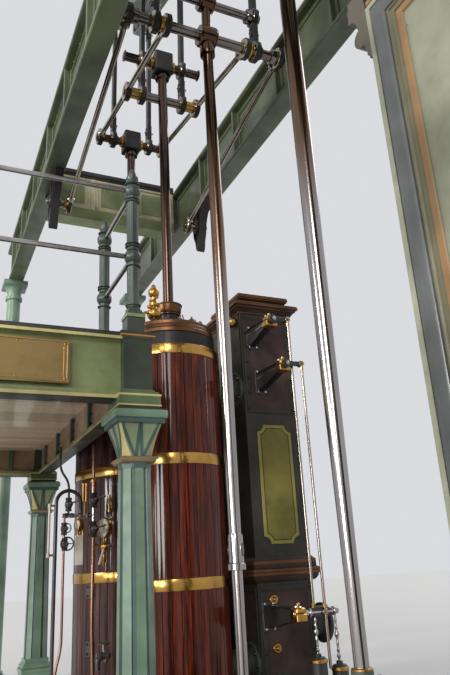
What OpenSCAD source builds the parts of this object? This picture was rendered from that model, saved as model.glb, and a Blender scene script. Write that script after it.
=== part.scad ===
// House-built compound rotative beam engine for a waterworks.
// Frame: x across the engine, y along the rocking beam with the cylinders at +y, z up.
// The origin is on the floor under the trunnion, in the plane of the beam. Millimetres.

/* [Beam and linkage] */
// Length of each arm of the beam, from the trunnion to the end pin
beam_arm = 5930; // [5600:10:6200]
// Distance from the trunnion to the back link's pin
back_arm = 3120; // [3050:10:3200]
// Distance from the trunnion to the force pump's pin
force_arm = 1630; // [1500:10:1800]
// Height of the trunnion axis above the floor
trunnion_z = 8430; // [8200:10:8700]
// How far the cylinder end of the beam stands above mid stroke
beam_rise = 1150; // [0:10:1150]
// Length of the main links and the back links
link_len = 2240; // [2150:10:2300]
// Length of the radius rods between their pins
radius_len = 2890; // [2750:10:2950]
// Arm of the high pressure rod as a share of the beam's arm
high_share = 0.77; // [0.765:0.005:0.775]
// Depth of the beam at the trunnion
beam_depth = 1450; // [1200:10:1500]
// Depth of the beam at its ends
beam_end_depth = 420; // [380:10:480]
// Thickness of each flitch plate of the beam
flitch_t = 40; // [25:1:50]
// Radius of the link pins
pin_r = 55; // [45:1:60]
// Radius of the trunnion shaft
trunnion_r = 150; // [120:1:160]

/* [Cylinders] */
// Outside radius of the high pressure cylinder over its lagging
high_r = 510; // [480:5:520]
// Outside radius of the low pressure cylinder over its lagging
low_r = 690; // [650:5:720]
// Thickness of the wooden lagging
lagging_t = 45; // [30:1:60]
// Height of the bottom of the lagging above the floor
lagging_z = 240; // [235:5:300]
// Height of the lagging
lagging_h = 3410; // [3250:10:3450]
// Height of the brass bands
band_h = 105; // [70:1:120]
// Thickness of the brass bands
band_t = 6; // [4:1:10]
// Radius of both piston rods
piston_rod_r = 55; // [45:1:60]

/* [Bedplate] */
// Thickness of the bedplate
bed_h = 200; // [150:5:240]
// Radius of the holding down bolt holes
bolt_hole_r = 22; // [15:1:24]

/* [Valve chests] */
// Width of the high pressure valve chest
chest_w = 640; // [600:5:700]
// Depth of the high pressure valve chest along the engine
chest_d = 780; // [700:5:800]
// Height of the top of the chest's cornice
chest_top = 4430; // [4300:10:4500]
// Bore radius of the steam inlet pipe
steam_bore_r = 90; // [70:1:100]

/* [Pumps] */
// Bore radius of the pumps' delivery branches
delivery_r = 90; // [60:1:95]
// Depth of the bore in the delivery branches
delivery_depth = 260; // [150:10:270]

/* [Gallery] */
// Distance between the gallery columns across the engine
gallery_w = 1880; // [1700:10:2200]
// Distance from the low pressure cylinder to the centres of the far gallery columns
far_gap = 860; // [800:10:1000]
// Width across the flats of a gallery column at its foot
column_w = 280; // [260:5:300]
// Height of the underside of the gallery beams
gallery_z = 2780; // [2700:10:2850]
// Height of the gallery beams
gallery_beam_h = 560; // [480:5:580]
// Width of the gallery beams
gallery_beam_w = 150; // [120:2:160]
// Radius of the polished handrails
rail_r = 22; // [18:1:26]
// Height of the upper rail above the gallery beams
rail_z = 1400; // [1100:10:1500]

/* [Main frame] */
// Width of the central pillar across the engine
pillar_w = 700; // [640:10:740]
// Depth of the central pillar along the engine
pillar_d = 800; // [700:10:840]
// Height of the central pillar's lower stage
pillar_stage = 4030; // [3900:10:4200]
// Height of the underside of the spring beams
spring_z = 6500; // [6400:10:6600]
// Height of the spring beams
spring_h = 760; // [700:10:800]
// Width of the spring beams' flanges
spring_w = 250; // [220:10:280]
// Half the clear width between the spring beams
opening_half = 980; // [960:5:1040]

/* [Flywheel] */
// Outside radius of the flywheel
wheel_r = 2620; // [2400:10:2660]
// Radial depth of the flywheel's rim
rim_d = 270; // [200:5:300]
// Width of the flywheel's rim
rim_w = 320; // [260:5:340]
// Number of arms in the flywheel
wheel_arms = 8; // [6:1:10]
// Height of the crankshaft above the floor
crank_z = 2750; // [2720:10:2850]
// Radius of the crankshaft
crankshaft_r = 150; // [120:1:160]

/* [Hidden] */

$fn = 64;
fit = 0.3;              // clearance between pieces that bear on each other

// Linkage, as points [y, z] in the plane of the beam
trunnion = [0, trunnion_z];
beam_tilt = asin(beam_rise / beam_arm);
function on_beam(arm) = trunnion + arm * [cos(beam_tilt), sin(beam_tilt)];
radius_pivot = [back_arm + radius_len, trunnion_z - link_len];
// Where two circles cross, the one of the two points with the lower z
function crossing(a, ra, b, rb) =
  let (d = norm(b - a), u = (b - a) / d, m = (d * d + ra * ra - rb * rb) / (2 * d),
       h = sqrt(ra * ra - m * m), p = a + m * u, q = h * [-u[1], u[0]])
  (p + q)[1] < (p - q)[1] ? p + q : p - q;
beam_end_pin = on_beam(beam_arm);
back_pin = on_beam(back_arm);
high_pin = on_beam(beam_arm * high_share);
force_pin = on_beam(force_arm);
crank_end_pin = on_beam(-beam_arm);
back_foot = crossing(back_pin, link_len, radius_pivot, radius_len);
link_run = back_foot - back_pin;
low_head = beam_end_pin + link_run;
high_head = trunnion + high_share * (low_head - trunnion);
high_foot = high_pin + link_run;
brace_pin = back_foot - 0.2 * link_run;   // shaft that ties the back links together

// Places across the engine, as half distances from the plane of the beam
flitch_x = 120;                        // inner face of a flitch plate
flitch_flange = 40;                    // how far a flange stands out on each side of its plate
link_x = 230;                          // inner face of the main links
link_t = 70;                           // thickness of a link
bar_x = 420;                           // inner face of the parallel bars' eyes
back_link_x = 540;                     // inner face of the back links
radius_x = 830;                        // inner face of the radius rods' eyes
back_shaft_half = 905;                 // half the length of the back shaft
eye_r = pin_r + 60;

// Cylinders
high_y = high_head[0];
low_y = low_head[0];
lagging_top = lagging_z + lagging_h;
cover_rim_h = 140;                     // black flange above the lagging
cover_h = 120;                         // polished ring above the flange
rod_gland_h = 230;
cover_top = lagging_top + cover_rim_h + cover_h;

// Gallery
gallery_x = -830;
gallery_y = 3200;
gallery_l = low_y + low_r + far_gap - gallery_y;
gallery_top = gallery_z + gallery_beam_h;
gallery_x_list = [gallery_x, gallery_x - gallery_w];
gallery_y_list = [gallery_y, gallery_y + gallery_l];

// Main frame
girder_h = 550;
girder_half = opening_half + spring_w + 70;
spring_x = opening_half + spring_w / 2;
spring_top = spring_z + spring_h;
spring_near = -pillar_d / 2 - 120;
spring_far = gallery_y + gallery_l + 2300;
end_girder_y = low_y + low_r + 320;
end_girder_h = 830;
post_x = spring_x;
post_y = spring_far - 250;
floor_post_r = 115;

// Crank
crank_y = -beam_arm * (1 + cos(beam_tilt)) / 2;
crank_throw = 1150;
crank_pin = [crank_y, crank_z - crank_throw];
wheel_x = 1350;
stand_w = 360;
inner_stand_x = 650;
outer_stand_x = 2080;

// Extrudes a drawing in y and z along x
module along_x(len) { rotate([90, 0, 90]) linear_extrude(height = len, center = true) children(); }
// Extrudes a drawing in x and z along y
module along_y(len) { rotate([90, 0, 0]) linear_extrude(height = len, center = true) children(); }
// A round pin or eye along x, centred on x at the point p = [y, z]
module pin(p, x, len, r) {
  translate([x, p[0], p[1]]) rotate([0, 90, 0]) cylinder(h = len, r = r, center = true);
}
// A round bar from p to q, both [y, z], at x
module bar(p, q, x, r) {
  d = q - p;
  translate([x, p[0], p[1]]) rotate([-atan2(d[0], d[1]), 0, 0]) cylinder(h = norm(d), r = r);
}
// Turns a drawing or a solid that stands on z so that it runs from p to q at x
module from_to(p, q, x) {
  d = q - p;
  translate([x, p[0], p[1]]) rotate([-atan2(d[0], d[1]), 0, 0]) children();
}
// A box given by its low corner and its high corner
module block(a, b) { translate(a) cube(b - a); }
// Mitred moulding round a rectangle: points are [projection, height] going up
module moulding(wx, wy, points) {
  down = [for (i = [len(points) - 1 : -1 : 0]) points[i]];
  function both_sides(half) = concat([for (p = points) [half + p[0], p[1]]],
    [for (p = down) [-half - p[0], p[1]]]);
  intersection() {
    along_y(wy + 1000) polygon(both_sides(wx / 2));
    along_x(wx + 1000) polygon(both_sides(wy / 2));
  }
}
// Quarter round of a moulding from [x0, z0] to [x1, z1], hollow or full
function quarter(x0, z0, x1, z1, full, n = 5) = [for (i = [0 : n])
  let (a = 90 * i / n) full ? [x0 + (x1 - x0) * sin(a), z0 + (z1 - z0) * (1 - cos(a))]
                            : [x0 + (x1 - x0) * (1 - cos(a)), z0 + (z1 - z0) * sin(a)]];
// Cornice profile of a given projection and height
function cornice_points(out, h) = concat([[0, 0]], [[out * 0.2, 0], [out * 0.2, h * 0.12]],
  quarter(out * 0.25, h * 0.15, out * 0.75, h * 0.6, false),
  [[out, h * 0.62], [out, h * 0.82], [out * 0.85, h * 0.88], [out * 0.85, h], [0, h]]);
// Outline of a panel whose corners are cut by quarter circles, centred on the origin
module notched_panel(w, h, r) {
  difference() {
    square([w, h], center = true);
    for (sx = [-1, 1], sz = [-1, 1]) translate([sx * w / 2, sz * h / 2]) circle(r = r, $fn = 32);
  }
}
// Flange with a ring of bolt holes, standing on z
module bolt_flange(r, h, pcd_r, count, hole_r) {
  difference() {
    cylinder(h = h, r = r);
    for (i = [0 : count - 1]) rotate(360 * i / count) translate([pcd_r, 0, -1])
      cylinder(h = h + 2, r = hole_r, $fn = 24);
  }
}

// Bedplate under the cylinders and valve chests
bed_x0 = -low_r + 10;
neck_gap = 260;                        // clear run of a steam neck from cylinder to chest
bed_x1 = high_r + neck_gap + chest_w + 100;
bed_y0 = high_y - high_r - 160;
bed_y1 = low_y + low_r + 60;
bolt_inset = 70;
module bedplate() {
  color("darkslategray") difference() {
    block([bed_x0, bed_y0, 0], [bed_x1, bed_y1, bed_h]);
    for (x = [bed_x0 + bolt_inset, bed_x1 - bolt_inset], y = [bed_y0 + bolt_inset, bed_y1 - bolt_inset])
      translate([x, y, -1]) cylinder(h = bed_h + 2, r = bolt_hole_r);
  }
}

// Iron body of a cylinder: foot flange, barrel and top flange
foot_h = 35;
module cylinder_body(y, r) {
  core = r - lagging_t - fit;
  translate([0, y, bed_h]) {
    cylinder(h = foot_h, r = r - 5);
    translate([0, 0, foot_h - 1]) cylinder(h = lagging_z - bed_h - foot_h + 2, r = core - 40);
    translate([0, 0, lagging_z - bed_h - 1]) cylinder(h = lagging_h + 1, r = core);
  }
}
module lagging(y, r) {
  translate([0, y, lagging_z]) difference() {
    cylinder(h = lagging_h, r = r, $fn = 96);
    translate([0, 0, -1]) cylinder(h = lagging_h + 2, r = r - lagging_t, $fn = 96);
  }
}
// Brass bands at the foot and the top of the lagging and, as shares of the height, between them
high_band_shares = [0, 0.32, 0.664, 1];
low_band_shares = [0, 0.347, 0.684, 1];
module bands(y, r, shares) {
  for (k = shares) translate([0, y, lagging_z + k * (lagging_h - band_h)]) difference() {
    cylinder(h = band_h, r = r + fit + band_t, $fn = 96);
    translate([0, 0, -1]) cylinder(h = band_h + 2, r = r + fit, $fn = 96);
  }
}
// Cylinder cover: black flange, polished ring, domed top and the rod's stuffing box
module cover(y, r) {
  gland_r = piston_rod_r + 75;
  translate([0, y, lagging_top]) difference() {
    union() {
      rotate_extrude($fn = 96) polygon(concat(
        [[0, 0], [r - 25, 0], [r - 25, cover_rim_h - 30], [r - 50, cover_rim_h - 12]],
        quarter(r - 25, cover_rim_h, r - 60, cover_rim_h + cover_h, false),
        [[gland_r + 120, cover_rim_h + cover_h + 25], [0, cover_rim_h + cover_h + 25]]));
      translate([0, 0, cover_rim_h + cover_h]) cylinder(h = rod_gland_h - 60, r = gland_r);
      translate([0, 0, cover_rim_h + cover_h + rod_gland_h - 61]) cylinder(h = 61, r = gland_r + 35);
    }
    translate([0, 0, 60]) cylinder(h = cover_rim_h + cover_h + rod_gland_h, r = piston_rod_r + fit);
  }
}
// Piston rod with its square crosshead and the crosshead's shaft
head_w = 235;
head_h = 300;
module piston_rod(head, y, shaft_half) {
  rod_foot = lagging_top + 65;
  translate([0, y, rod_foot]) cylinder(h = head[1] - head_h / 2 - rod_foot + 1, r = piston_rod_r);
  translate([0, y, head[1] - head_h / 2 - 90]) cylinder(h = 91, r = piston_rod_r + 32);
  translate([-head_w / 2, y - head_w / 2, head[1] - head_h / 2]) cube([head_w, head_w, head_h]);
  pin([y, head[1]], 0, 2 * shaft_half, pin_r);
  for (s = [-1, 1]) pin([y, head[1]], s * (head_w / 2 + 22), 46, pin_r + 22);
}
crosshead_half = bar_x + link_t + 15;

module high_cylinder() { color("dimgray") cylinder_body(high_y, high_r); }
module low_cylinder() { color("dimgray") cylinder_body(low_y, low_r); }
module high_lagging() { color([0.33, 0.12, 0.07]) lagging(high_y, high_r); }
module low_lagging() { color([0.33, 0.14, 0.09]) lagging(low_y, low_r); }
module cylinder_bands() {
  color([0.80, 0.62, 0.25]) {
    bands(high_y, high_r, high_band_shares);
    bands(low_y, low_r, low_band_shares);
  }
}
module high_cover() { color([0.16, 0.13, 0.12]) cover(high_y, high_r); }
module low_cover() { color([0.16, 0.13, 0.12]) cover(low_y, low_r); }
module high_piston_rod() { color("silver") piston_rod(high_head, high_y, crosshead_half); }
module low_piston_rod() { color("silver") piston_rod(low_head, low_y, crosshead_half); }

// High pressure valve chest, beside its cylinder
chest_x0 = high_r + neck_gap;
chest_y0 = high_y - 220;
chest_cx = chest_x0 + chest_w / 2;
chest_cy = chest_y0 + chest_d / 2;
cornice_h = 250;
ledge_z = 1310;
ledge_h = 240;
module high_valve_chest() {
  color([0.20, 0.20, 0.18]) {
    block([chest_x0, chest_y0, bed_h], [chest_x0 + chest_w, chest_y0 + chest_d, chest_top - cornice_h]);
    translate([chest_cx, chest_cy, bed_h])
      moulding(chest_w - 2, chest_d - 2, [[0, 0], [50, 0], [50, 160], [0, 210]]);
    translate([chest_cx, chest_cy, ledge_z]) moulding(chest_w - 2, chest_d - 2,
      concat([[0, 0]], quarter(0, 0, 50, 60, false), [[60, 66], [60, 120], [38, 132]],
        [[38, ledge_h - 40], [0, ledge_h]]));
  }
}
// Low pressure valve chest, beside the other cylinder
low_chest_x0 = low_r + 60;
low_chest_w = chest_x0 + chest_w - low_chest_x0;
low_chest_d = 840;
low_chest_top = lagging_top - 90;
module low_valve_chest() {
  y0 = low_y - low_chest_d / 2;
  color([0.20, 0.20, 0.18]) {
    block([low_chest_x0, y0, bed_h], [low_chest_x0 + low_chest_w, y0 + low_chest_d, low_chest_top]);
    translate([low_chest_x0 + low_chest_w / 2, low_y, low_chest_top - 1])
      moulding(low_chest_w, low_chest_d, cornice_points(60, 160));
    translate([low_chest_x0 + low_chest_w / 2, low_y, bed_h])
      moulding(low_chest_w - 2, low_chest_d - 2, [[0, 0], [40, 0], [40, 160], [0, 200]]);
  }
}
// Cornice in two tiers, the upper one set back from the lower
tier_h = 125;
module chest_cornice() {
  color([0.30, 0.17, 0.10]) translate([chest_cx, chest_cy, chest_top - cornice_h]) {
    moulding(chest_w, chest_d, cornice_points(85, tier_h));
    translate([0, 0, tier_h - 1])
      moulding(chest_w - 110, chest_d - 110, cornice_points(60, cornice_h - tier_h + 1));
  }
}
// Raised panels with notched corners on the chests
panel_h = 1230;
panel_t = 14;
module chest_panels() {
  panel_z = ledge_z + ledge_h + 120 + panel_h / 2;
  color([0.42, 0.42, 0.14]) {
    translate([chest_cx, chest_y0 - panel_t / 2, panel_z])
      along_y(panel_t) notched_panel(chest_w * 0.64, panel_h, 75);
    translate([chest_x0 + chest_w + panel_t / 2, chest_cy, panel_z])
      along_x(panel_t) notched_panel(chest_d * 0.52, panel_h, 75);
    translate([low_chest_x0 + low_chest_w + panel_t / 2, low_y, panel_z])
      along_x(panel_t) notched_panel(chest_d * 0.52, panel_h, 75);
    translate([low_chest_x0 + low_chest_w / 2, low_y + low_chest_d / 2 + panel_t / 2, panel_z])
      along_y(panel_t) notched_panel(low_chest_w * 0.5, panel_h, 75);
  }
}
// Steam necks from the chests to the cylinders, the receiver between the chests and the inlet
neck_r = 150;
inlet_z = 860;
inlet_len = 330;
module steam_pipes() {
  chest_face = chest_x0 + chest_w;
  color([0.22, 0.20, 0.18]) {
    for (z = [lagging_z + 330, lagging_top - 330]) difference() {
      union() {
        translate([high_r - 60, high_y, z]) rotate([0, 90, 0])
          cylinder(h = chest_x0 - high_r + 60, r = neck_r);
        translate([low_r - 70, low_y, z]) rotate([0, 90, 0])
          cylinder(h = low_chest_x0 - low_r + 70, r = neck_r);
      }
      translate([0, high_y, lagging_z]) cylinder(h = lagging_h, r = high_r + fit, $fn = 96);
      translate([0, low_y, lagging_z]) cylinder(h = lagging_h, r = low_r + fit, $fn = 96);
    }
    translate([chest_cx + 60, chest_y0 + chest_d, ledge_z - 400]) rotate([-90, 0, 0])
      cylinder(h = low_y - low_chest_d / 2 - chest_y0 - chest_d, r = neck_r);
    translate([chest_face, chest_cy, inlet_z]) rotate([0, 90, 0]) difference() {
      union() {
        cylinder(h = inlet_len, r = steam_bore_r + 25);
        translate([0, 0, inlet_len - 35]) bolt_flange(steam_bore_r + 110, 35, steam_bore_r + 70, 8, 13);
        cylinder(h = 35, r = steam_bore_r + 95);
      }
      translate([0, 0, 20]) cylinder(h = inlet_len, r = steam_bore_r);
    }
  }
}

// Valve gear in front of the high pressure chest: two rocking shafts run out from the chest, each with
// a lever for one valve rod, and a cross shaft low down carries the rods' crosspiece and two dashpots
gear_shaft_r = 28;
gear_rod_r = 14;
lever_t = 36;
lever_len = 160;
bearing_d = 110;                       // depth of a bearing block along the engine
// Middle of the bearing block at the outer end of each rocking shaft
rockers = [[chest_x0 + 130, chest_y0 - 438, 3930], [chest_x0 + 200, chest_y0 - 518, 3420]];
function rod_y(i) = rockers[i][1] - bearing_d / 2 - lever_t - gear_rod_r - fit;
cross_y = (rod_y(0) + rod_y(1)) / 2;
cross_z = 1045;
crosspiece_t = rod_y(0) - rod_y(1) - 2 * gear_rod_r - 2 * fit;
rod_b_drop = 470;                      // how far the second rod runs on below the cross shaft
dashpots = [[chest_x0 + 265, 680], [chest_x0 + 485, 600]];   // place along x and height
// Tapered arm from the chest to a bearing block at the point p
module gear_bracket(p) {
  translate([p[0], 0, p[2]]) {
    along_x(90) polygon([[chest_y0, -150], [chest_y0, 60], [p[1] + 40, 45], [p[1] + 40, -50]]);
    translate([0, p[1], 0]) cube([130, bearing_d, 130], center = true);
  }
}
module gear_lever(p) {
  translate([p[0], p[1] - bearing_d / 2 - lever_t / 2, p[2]]) along_y(lever_t) {
    for (end = [[0, 46], [lever_len, 32]]) translate([end[0], 0]) circle(r = end[1], $fn = 32);
    translate([0, -27]) square([lever_len, 54]);
  }
}
module valve_gear() {
  color([0.35, 0.30, 0.22]) {
    for (p = rockers) {
      gear_bracket(p);
      gear_lever(p);
    }
    gear_bracket([chest_x0 + 100, cross_y, cross_z]);
    pin([cross_y, cross_z], chest_x0 + 275, 490, gear_shaft_r);
    translate([chest_x0 + 325, cross_y, cross_z]) along_y(crosspiece_t) {
      for (s = [-1, 1]) translate([s * 85, 0]) circle(r = 50, $fn = 32);
      square([170, 100], center = true);
    }
    for (d = dashpots) translate([d[0], cross_y, 0]) {
      cylinder(h = 25, r = 115);
      cylinder(h = d[1], r = 75);
      cylinder(h = cross_z, r = 12);
    }
  }
}
// Rods from the rocking shafts' levers down past the crosspiece
module valve_rods() {
  color("silver") for (i = [0, 1]) {
    foot = cross_z - i * rod_b_drop;
    translate([rockers[i][0] + lever_len, rod_y(i), 0]) {
      translate([0, 0, foot]) cylinder(h = rockers[i][2] - foot, r = gear_rod_r);
      for (z = [cross_z, rockers[i][2]]) translate([0, 0, z]) rotate([90, 0, 0])
        cylinder(h = 2 * gear_rod_r, r = 30, center = true);
    }
  }
}

// Drain and indicator pipes on the gallery side of the low pressure cylinder
drain_x = -low_r - 190;
drain_gap = 860;                       // from the cylinder's axis to the pipes, along the engine
drain_y = low_y - drain_gap;
drain_arch_r = 130;
module drain_pipes() {
  pipe_r = 19;
  branch_r = 15;
  arch_z = 2050;
  color([0.45, 0.36, 0.30]) {
    for (s = [-1, 1]) translate([drain_x, drain_y + s * drain_arch_r, 0]) cylinder(h = arch_z, r = pipe_r);
    translate([drain_x, drain_y, arch_z]) rotate([90, 0, 90]) rotate_extrude(angle = 180)
      translate([drain_arch_r, 0]) circle(r = pipe_r, $fn = 24);
    for (z = [1350, 1780]) translate([drain_x, drain_y - drain_arch_r, z]) sphere(r = 48);
    translate([drain_x, drain_y - drain_arch_r, 1560]) rotate([-90, 0, 0])
      cylinder(h = 2 * drain_arch_r, r = branch_r);
    run = [-drain_x, low_y - drain_y - drain_arch_r];
    difference() {
      translate([drain_x, drain_y + drain_arch_r, bed_h + foot_h / 2 - 1])
        rotate([0, 90, atan2(run[1], run[0])]) cylinder(h = norm(run), r = branch_r);
      translate([0, low_y, 0]) cylinder(h = lagging_z, r = low_r - 5 + fit, $fn = 96);
    }
    for (s = [-1, 1]) translate([drain_x, drain_y + s * drain_arch_r, 0]) cylinder(h = 25, r = 55);
  }
}

// Gallery column: pedestal, grooved eight-sided shaft, flared capital with ribs and square abacus
pedestal_h = 420;
pedestal_w = column_w + 100;
base_h = 110;
capital_h = 400;
abacus_h = 75;
abacus_w = column_w + 145;
neck_w = column_w * 0.86;
neck_z = gallery_z - abacus_h - capital_h;
flute_r = 19;
module shaft_section(w) {
  corner_r = w / 2 / cos(22.5);
  difference() {
    rotate(22.5) circle(r = corner_r, $fn = 8);
    for (i = [0 : 7]) rotate(22.5 + 45 * i) translate([corner_r, 0]) circle(r = flute_r, $fn = 8);
  }
}
// Bell of the capital: a square flare whose corners are cut back
module capital_bell(grow) {
  top_half = (abacus_w - 50) / 2 + grow;
  neck_half = neck_w / 2 + grow;
  flare = concat([[0, 0]], quarter(0, 0, top_half - neck_half, capital_h, false, 6), [[0, capital_h]]);
  intersection() {
    moulding(2 * neck_half, 2 * neck_half, flare);
    rotate(45) moulding(2.5 * neck_half, 2.5 * neck_half,
      concat([[0, 0]], quarter(0, 0, 1.22 * (top_half - neck_half), capital_h, false, 6), [[0, capital_h]]));
  }
}
// Two strokes of a zigzag rib, drawn in x and z from the neck to the top of the bell
module zigzag(w) {
  top = abacus_w / 2 - 12;
  low = neck_w / 6;
  for (s = [-1, 1], stroke = [[low, top], [low, 0]])
    polygon([[s * (stroke[0] - w), -1], [s * (stroke[0] + w), -1],
      [s * (stroke[1] + w), capital_h + 1], [s * (stroke[1] - w), capital_h + 1]]);
}
module gallery_column(x, y) {
  color([0.45, 0.60, 0.48]) translate([x, y, 0]) {
    translate([0, 0, pedestal_h / 2]) cube([pedestal_w, pedestal_w, pedestal_h], center = true);
    translate([0, 0, pedestal_h - 1]) moulding(column_w + 6, column_w + 6,
      [[0, 0], [35, 0], [35, 40], [18, 48], [18, 62], [0, base_h]]);
    translate([0, 0, pedestal_h]) linear_extrude(height = neck_z - pedestal_h + 5, scale = neck_w / column_w)
      shaft_section(column_w);
    translate([0, 0, neck_z]) {
      capital_bell(0);
      intersection() {
        capital_bell(7);
        union() {
          along_y(2 * abacus_w) zigzag(11);
          along_x(2 * abacus_w) zigzag(11);
        }
      }
      translate([0, 0, -28])
        moulding(neck_w, neck_w, [[0, 0], [14, 8], [14, 20], [28, 26], [28, 42], [0, 52]]);
    }
    translate([0, 0, gallery_z - abacus_h - 1]) moulding(abacus_w - 60, abacus_w - 60,
      [[0, 0], [24, 0], [30, 10], [30, 58], [16, 64], [16, abacus_h + 1], [0, abacus_h + 1]]);
  }
}

// Gallery beams: cast girders with top and bottom flanges
module girder_section(w, h, flange_t, web_t) {
  translate([-w / 2, 0]) square([w, flange_t]);
  translate([-w / 2, h - flange_t]) square([w, flange_t]);
  translate([-web_t / 2, 0]) square([web_t, h]);
}
corner_w = column_w - 40;
corner_out = 55;                       // projection of the corner blocks' base mouldings
module corner_block(x, y) {
  translate([x, y, gallery_z]) {
    translate([0, 0, gallery_beam_h / 2]) cube([corner_w, corner_w, gallery_beam_h], center = true);
    moulding(corner_w, corner_w, [[0, 0], [corner_out - 15, 0], [corner_out - 15, 14], [corner_out, 20],
      [corner_out, 78], [corner_out - 15, 84], [corner_out - 15, 100], [0, 112]]);
    translate([0, 0, gallery_beam_h - 60])
      moulding(corner_w, corner_w, [[0, 0], [30, 35], [30, 60], [0, 60]]);
  }
}
gallery_mid = gallery_x - gallery_w / 2;
web_t = 70;
deck_t = 60;
deck_z = 330;                          // underside of the deck above the underside of the beams
module cross_beam(y, inner) {
  len = gallery_w - corner_w;
  half_w = gallery_beam_w / 2;
  for (x = gallery_x_list) corner_block(x, y);
  translate([gallery_mid, y, gallery_z]) {
    along_x(len + 2) girder_section(gallery_beam_w + 60, gallery_beam_h, 60, web_t);
    for (i = [-1 : 1]) {
      translate([i * len / 3.2 - 30, inner > 0 ? -half_w : 0, 50]) cube([60, half_w, gallery_beam_h - 100]);
      translate([i * len / 3.2 - 30, inner > 0 ? 0 : -half_w, 50]) cube([60, half_w, deck_z - 50]);
    }
  }
}
module gallery_front_beam() { color([0.40, 0.50, 0.28]) cross_beam(gallery_y, 1); }
module gallery_back_beam() { color([0.40, 0.50, 0.28]) cross_beam(gallery_y + gallery_l, -1); }
module gallery_side_beams() {
  len = gallery_l - corner_w - 2 * fit;
  half_w = gallery_beam_w / 2 - 5;
  color([0.40, 0.50, 0.28]) {
    for (i = [0, 1]) translate([gallery_x_list[i], gallery_y + gallery_l / 2, gallery_z]) mirror([i, 0, 0]) {
      along_y(len) girder_section(gallery_beam_w, gallery_beam_h, 50, web_t);
      for (j = [-2 : 2]) {
        translate([0, j * len / 5 - 25, 45]) cube([half_w, 50, gallery_beam_h - 90]);
        translate([-half_w, j * len / 5 - 25, 45]) cube([half_w, 50, deck_z - 45]);
      }
    }
    gallery_stay();
  }
}
// Stay block that steadies the gallery against the low pressure cylinder
stay_z = gallery_z + 150;
module gallery_stay() {
  difference() {
    block([gallery_x + web_t / 2 - 1, low_y - 70, stay_z], [0, low_y + 70, stay_z + 180]);
    translate([0, low_y, stay_z - 1]) cylinder(h = 182, r = low_r + fit / 2, $fn = 96);
  }
}
module gallery_deck() {
  inset = web_t / 2 + fit;
  corner = corner_w + 2 * fit;
  color([0.75, 0.70, 0.58]) difference() {
    block([gallery_x - gallery_w + inset, gallery_y + inset, gallery_z + deck_z + fit],
      [gallery_x - inset, gallery_y + gallery_l - inset, gallery_z + deck_z + fit + deck_t]);
    for (x = gallery_x_list, y = gallery_y_list) translate([x, y, gallery_z + gallery_beam_h / 2])
      cube([corner, corner, gallery_beam_h], center = true);
  }
}
plate_w = 800;
module name_plate() {
  y = gallery_y - gallery_beam_w / 2 - fit;
  color([0.72, 0.56, 0.24]) block([gallery_mid - plate_w / 2, y - 14, gallery_z + 100],
    [gallery_mid + plate_w / 2, y, gallery_top - 105]);
}
// Handrail posts: fluted shafts with balls where the rails pass, on square bases
post_gap = 980;
post_r = 52;
ball_r = post_r + 26;
post_y_list = [gallery_y, gallery_y + post_gap, gallery_y + gallery_l];
post_pairs = [for (x = gallery_x_list, y = post_y_list) [x, y]];
post_base_w = 150;
module handrail_post(x, y) {
  color([0.30, 0.42, 0.38]) translate([x, y, gallery_top]) {
    translate([0, 0, 110]) cube([post_base_w, post_base_w, 220], center = true);
    translate([0, 0, 219]) moulding(post_base_w - 40, post_base_w - 40, [[0, 0], [10, 0], [10, 20], [0, 50]]);
    cylinder(h = rail_z + 40, r = post_r);
    for (z = [rail_z / 2 + 40, rail_z]) translate([0, 0, z]) sphere(r = ball_r);
    for (z = [rail_z / 2 - 40, rail_z / 2 + 112, rail_z - 80]) translate([0, 0, z])
      cylinder(h = 14, r = post_r + 16);
    translate([0, 0, rail_z + 60]) rotate_extrude()
      polygon([[0, 0], [post_r, 0], [post_r + 8, 30], [post_r + 8, 60], [20, 170], [0, 185]]);
  }
}
module gallery_posts() { for (p = post_pairs) handrail_post(p[0], p[1]); }
// Polished rails between the posts
module rail(a, b, z) {
  d = b - a;
  gap = ball_r + fit;
  translate([a[0], a[1], gallery_top + z]) rotate([0, 90, atan2(d[1], d[0])]) translate([0, 0, gap])
    cylinder(h = norm(d) - 2 * gap, r = rail_r);
}
module gallery_rails() {
  x = gallery_x_list;
  y = post_y_list;
  color("silver") for (z = [rail_z / 2 + 40, rail_z]) {
    rail([x[1], y[0]], [x[0], y[0]], z);
    rail([x[1], y[2]], [x[0], y[2]], z);
    rail([x[0], y[0]], [x[0], y[1]], z);
    rail([x[1], y[0]], [x[1], y[1]], z);
    rail([x[1], y[1]], [x[1], y[2]], z);
  }
}

// Central pillar: two stages with sunk and framed panels, and a moulded cap between them
module framed_panel(w, h, depth, frame) {
  along_y(2 * depth) square([w, h], center = true);
  along_y(4 * depth) notched_panel(w - 2 * frame, h - 2 * frame, frame * 0.6);
}
module panelled_stage(w, d, h, side, ends) {
  depth = 16;
  frame = 70;
  margin = 2 * (side - frame);
  difference() {
    translate([-w / 2, -d / 2, 0]) cube([w, d, h]);
    for (turn = [0, 180]) rotate(turn) {
      translate([0, d / 2, h / 2]) framed_panel(w - margin, h - 2 * ends, depth, frame);
      rotate(90) translate([0, w / 2, h / 2]) framed_panel(d - margin, h - 2 * ends, depth, frame);
    }
  }
}
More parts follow.
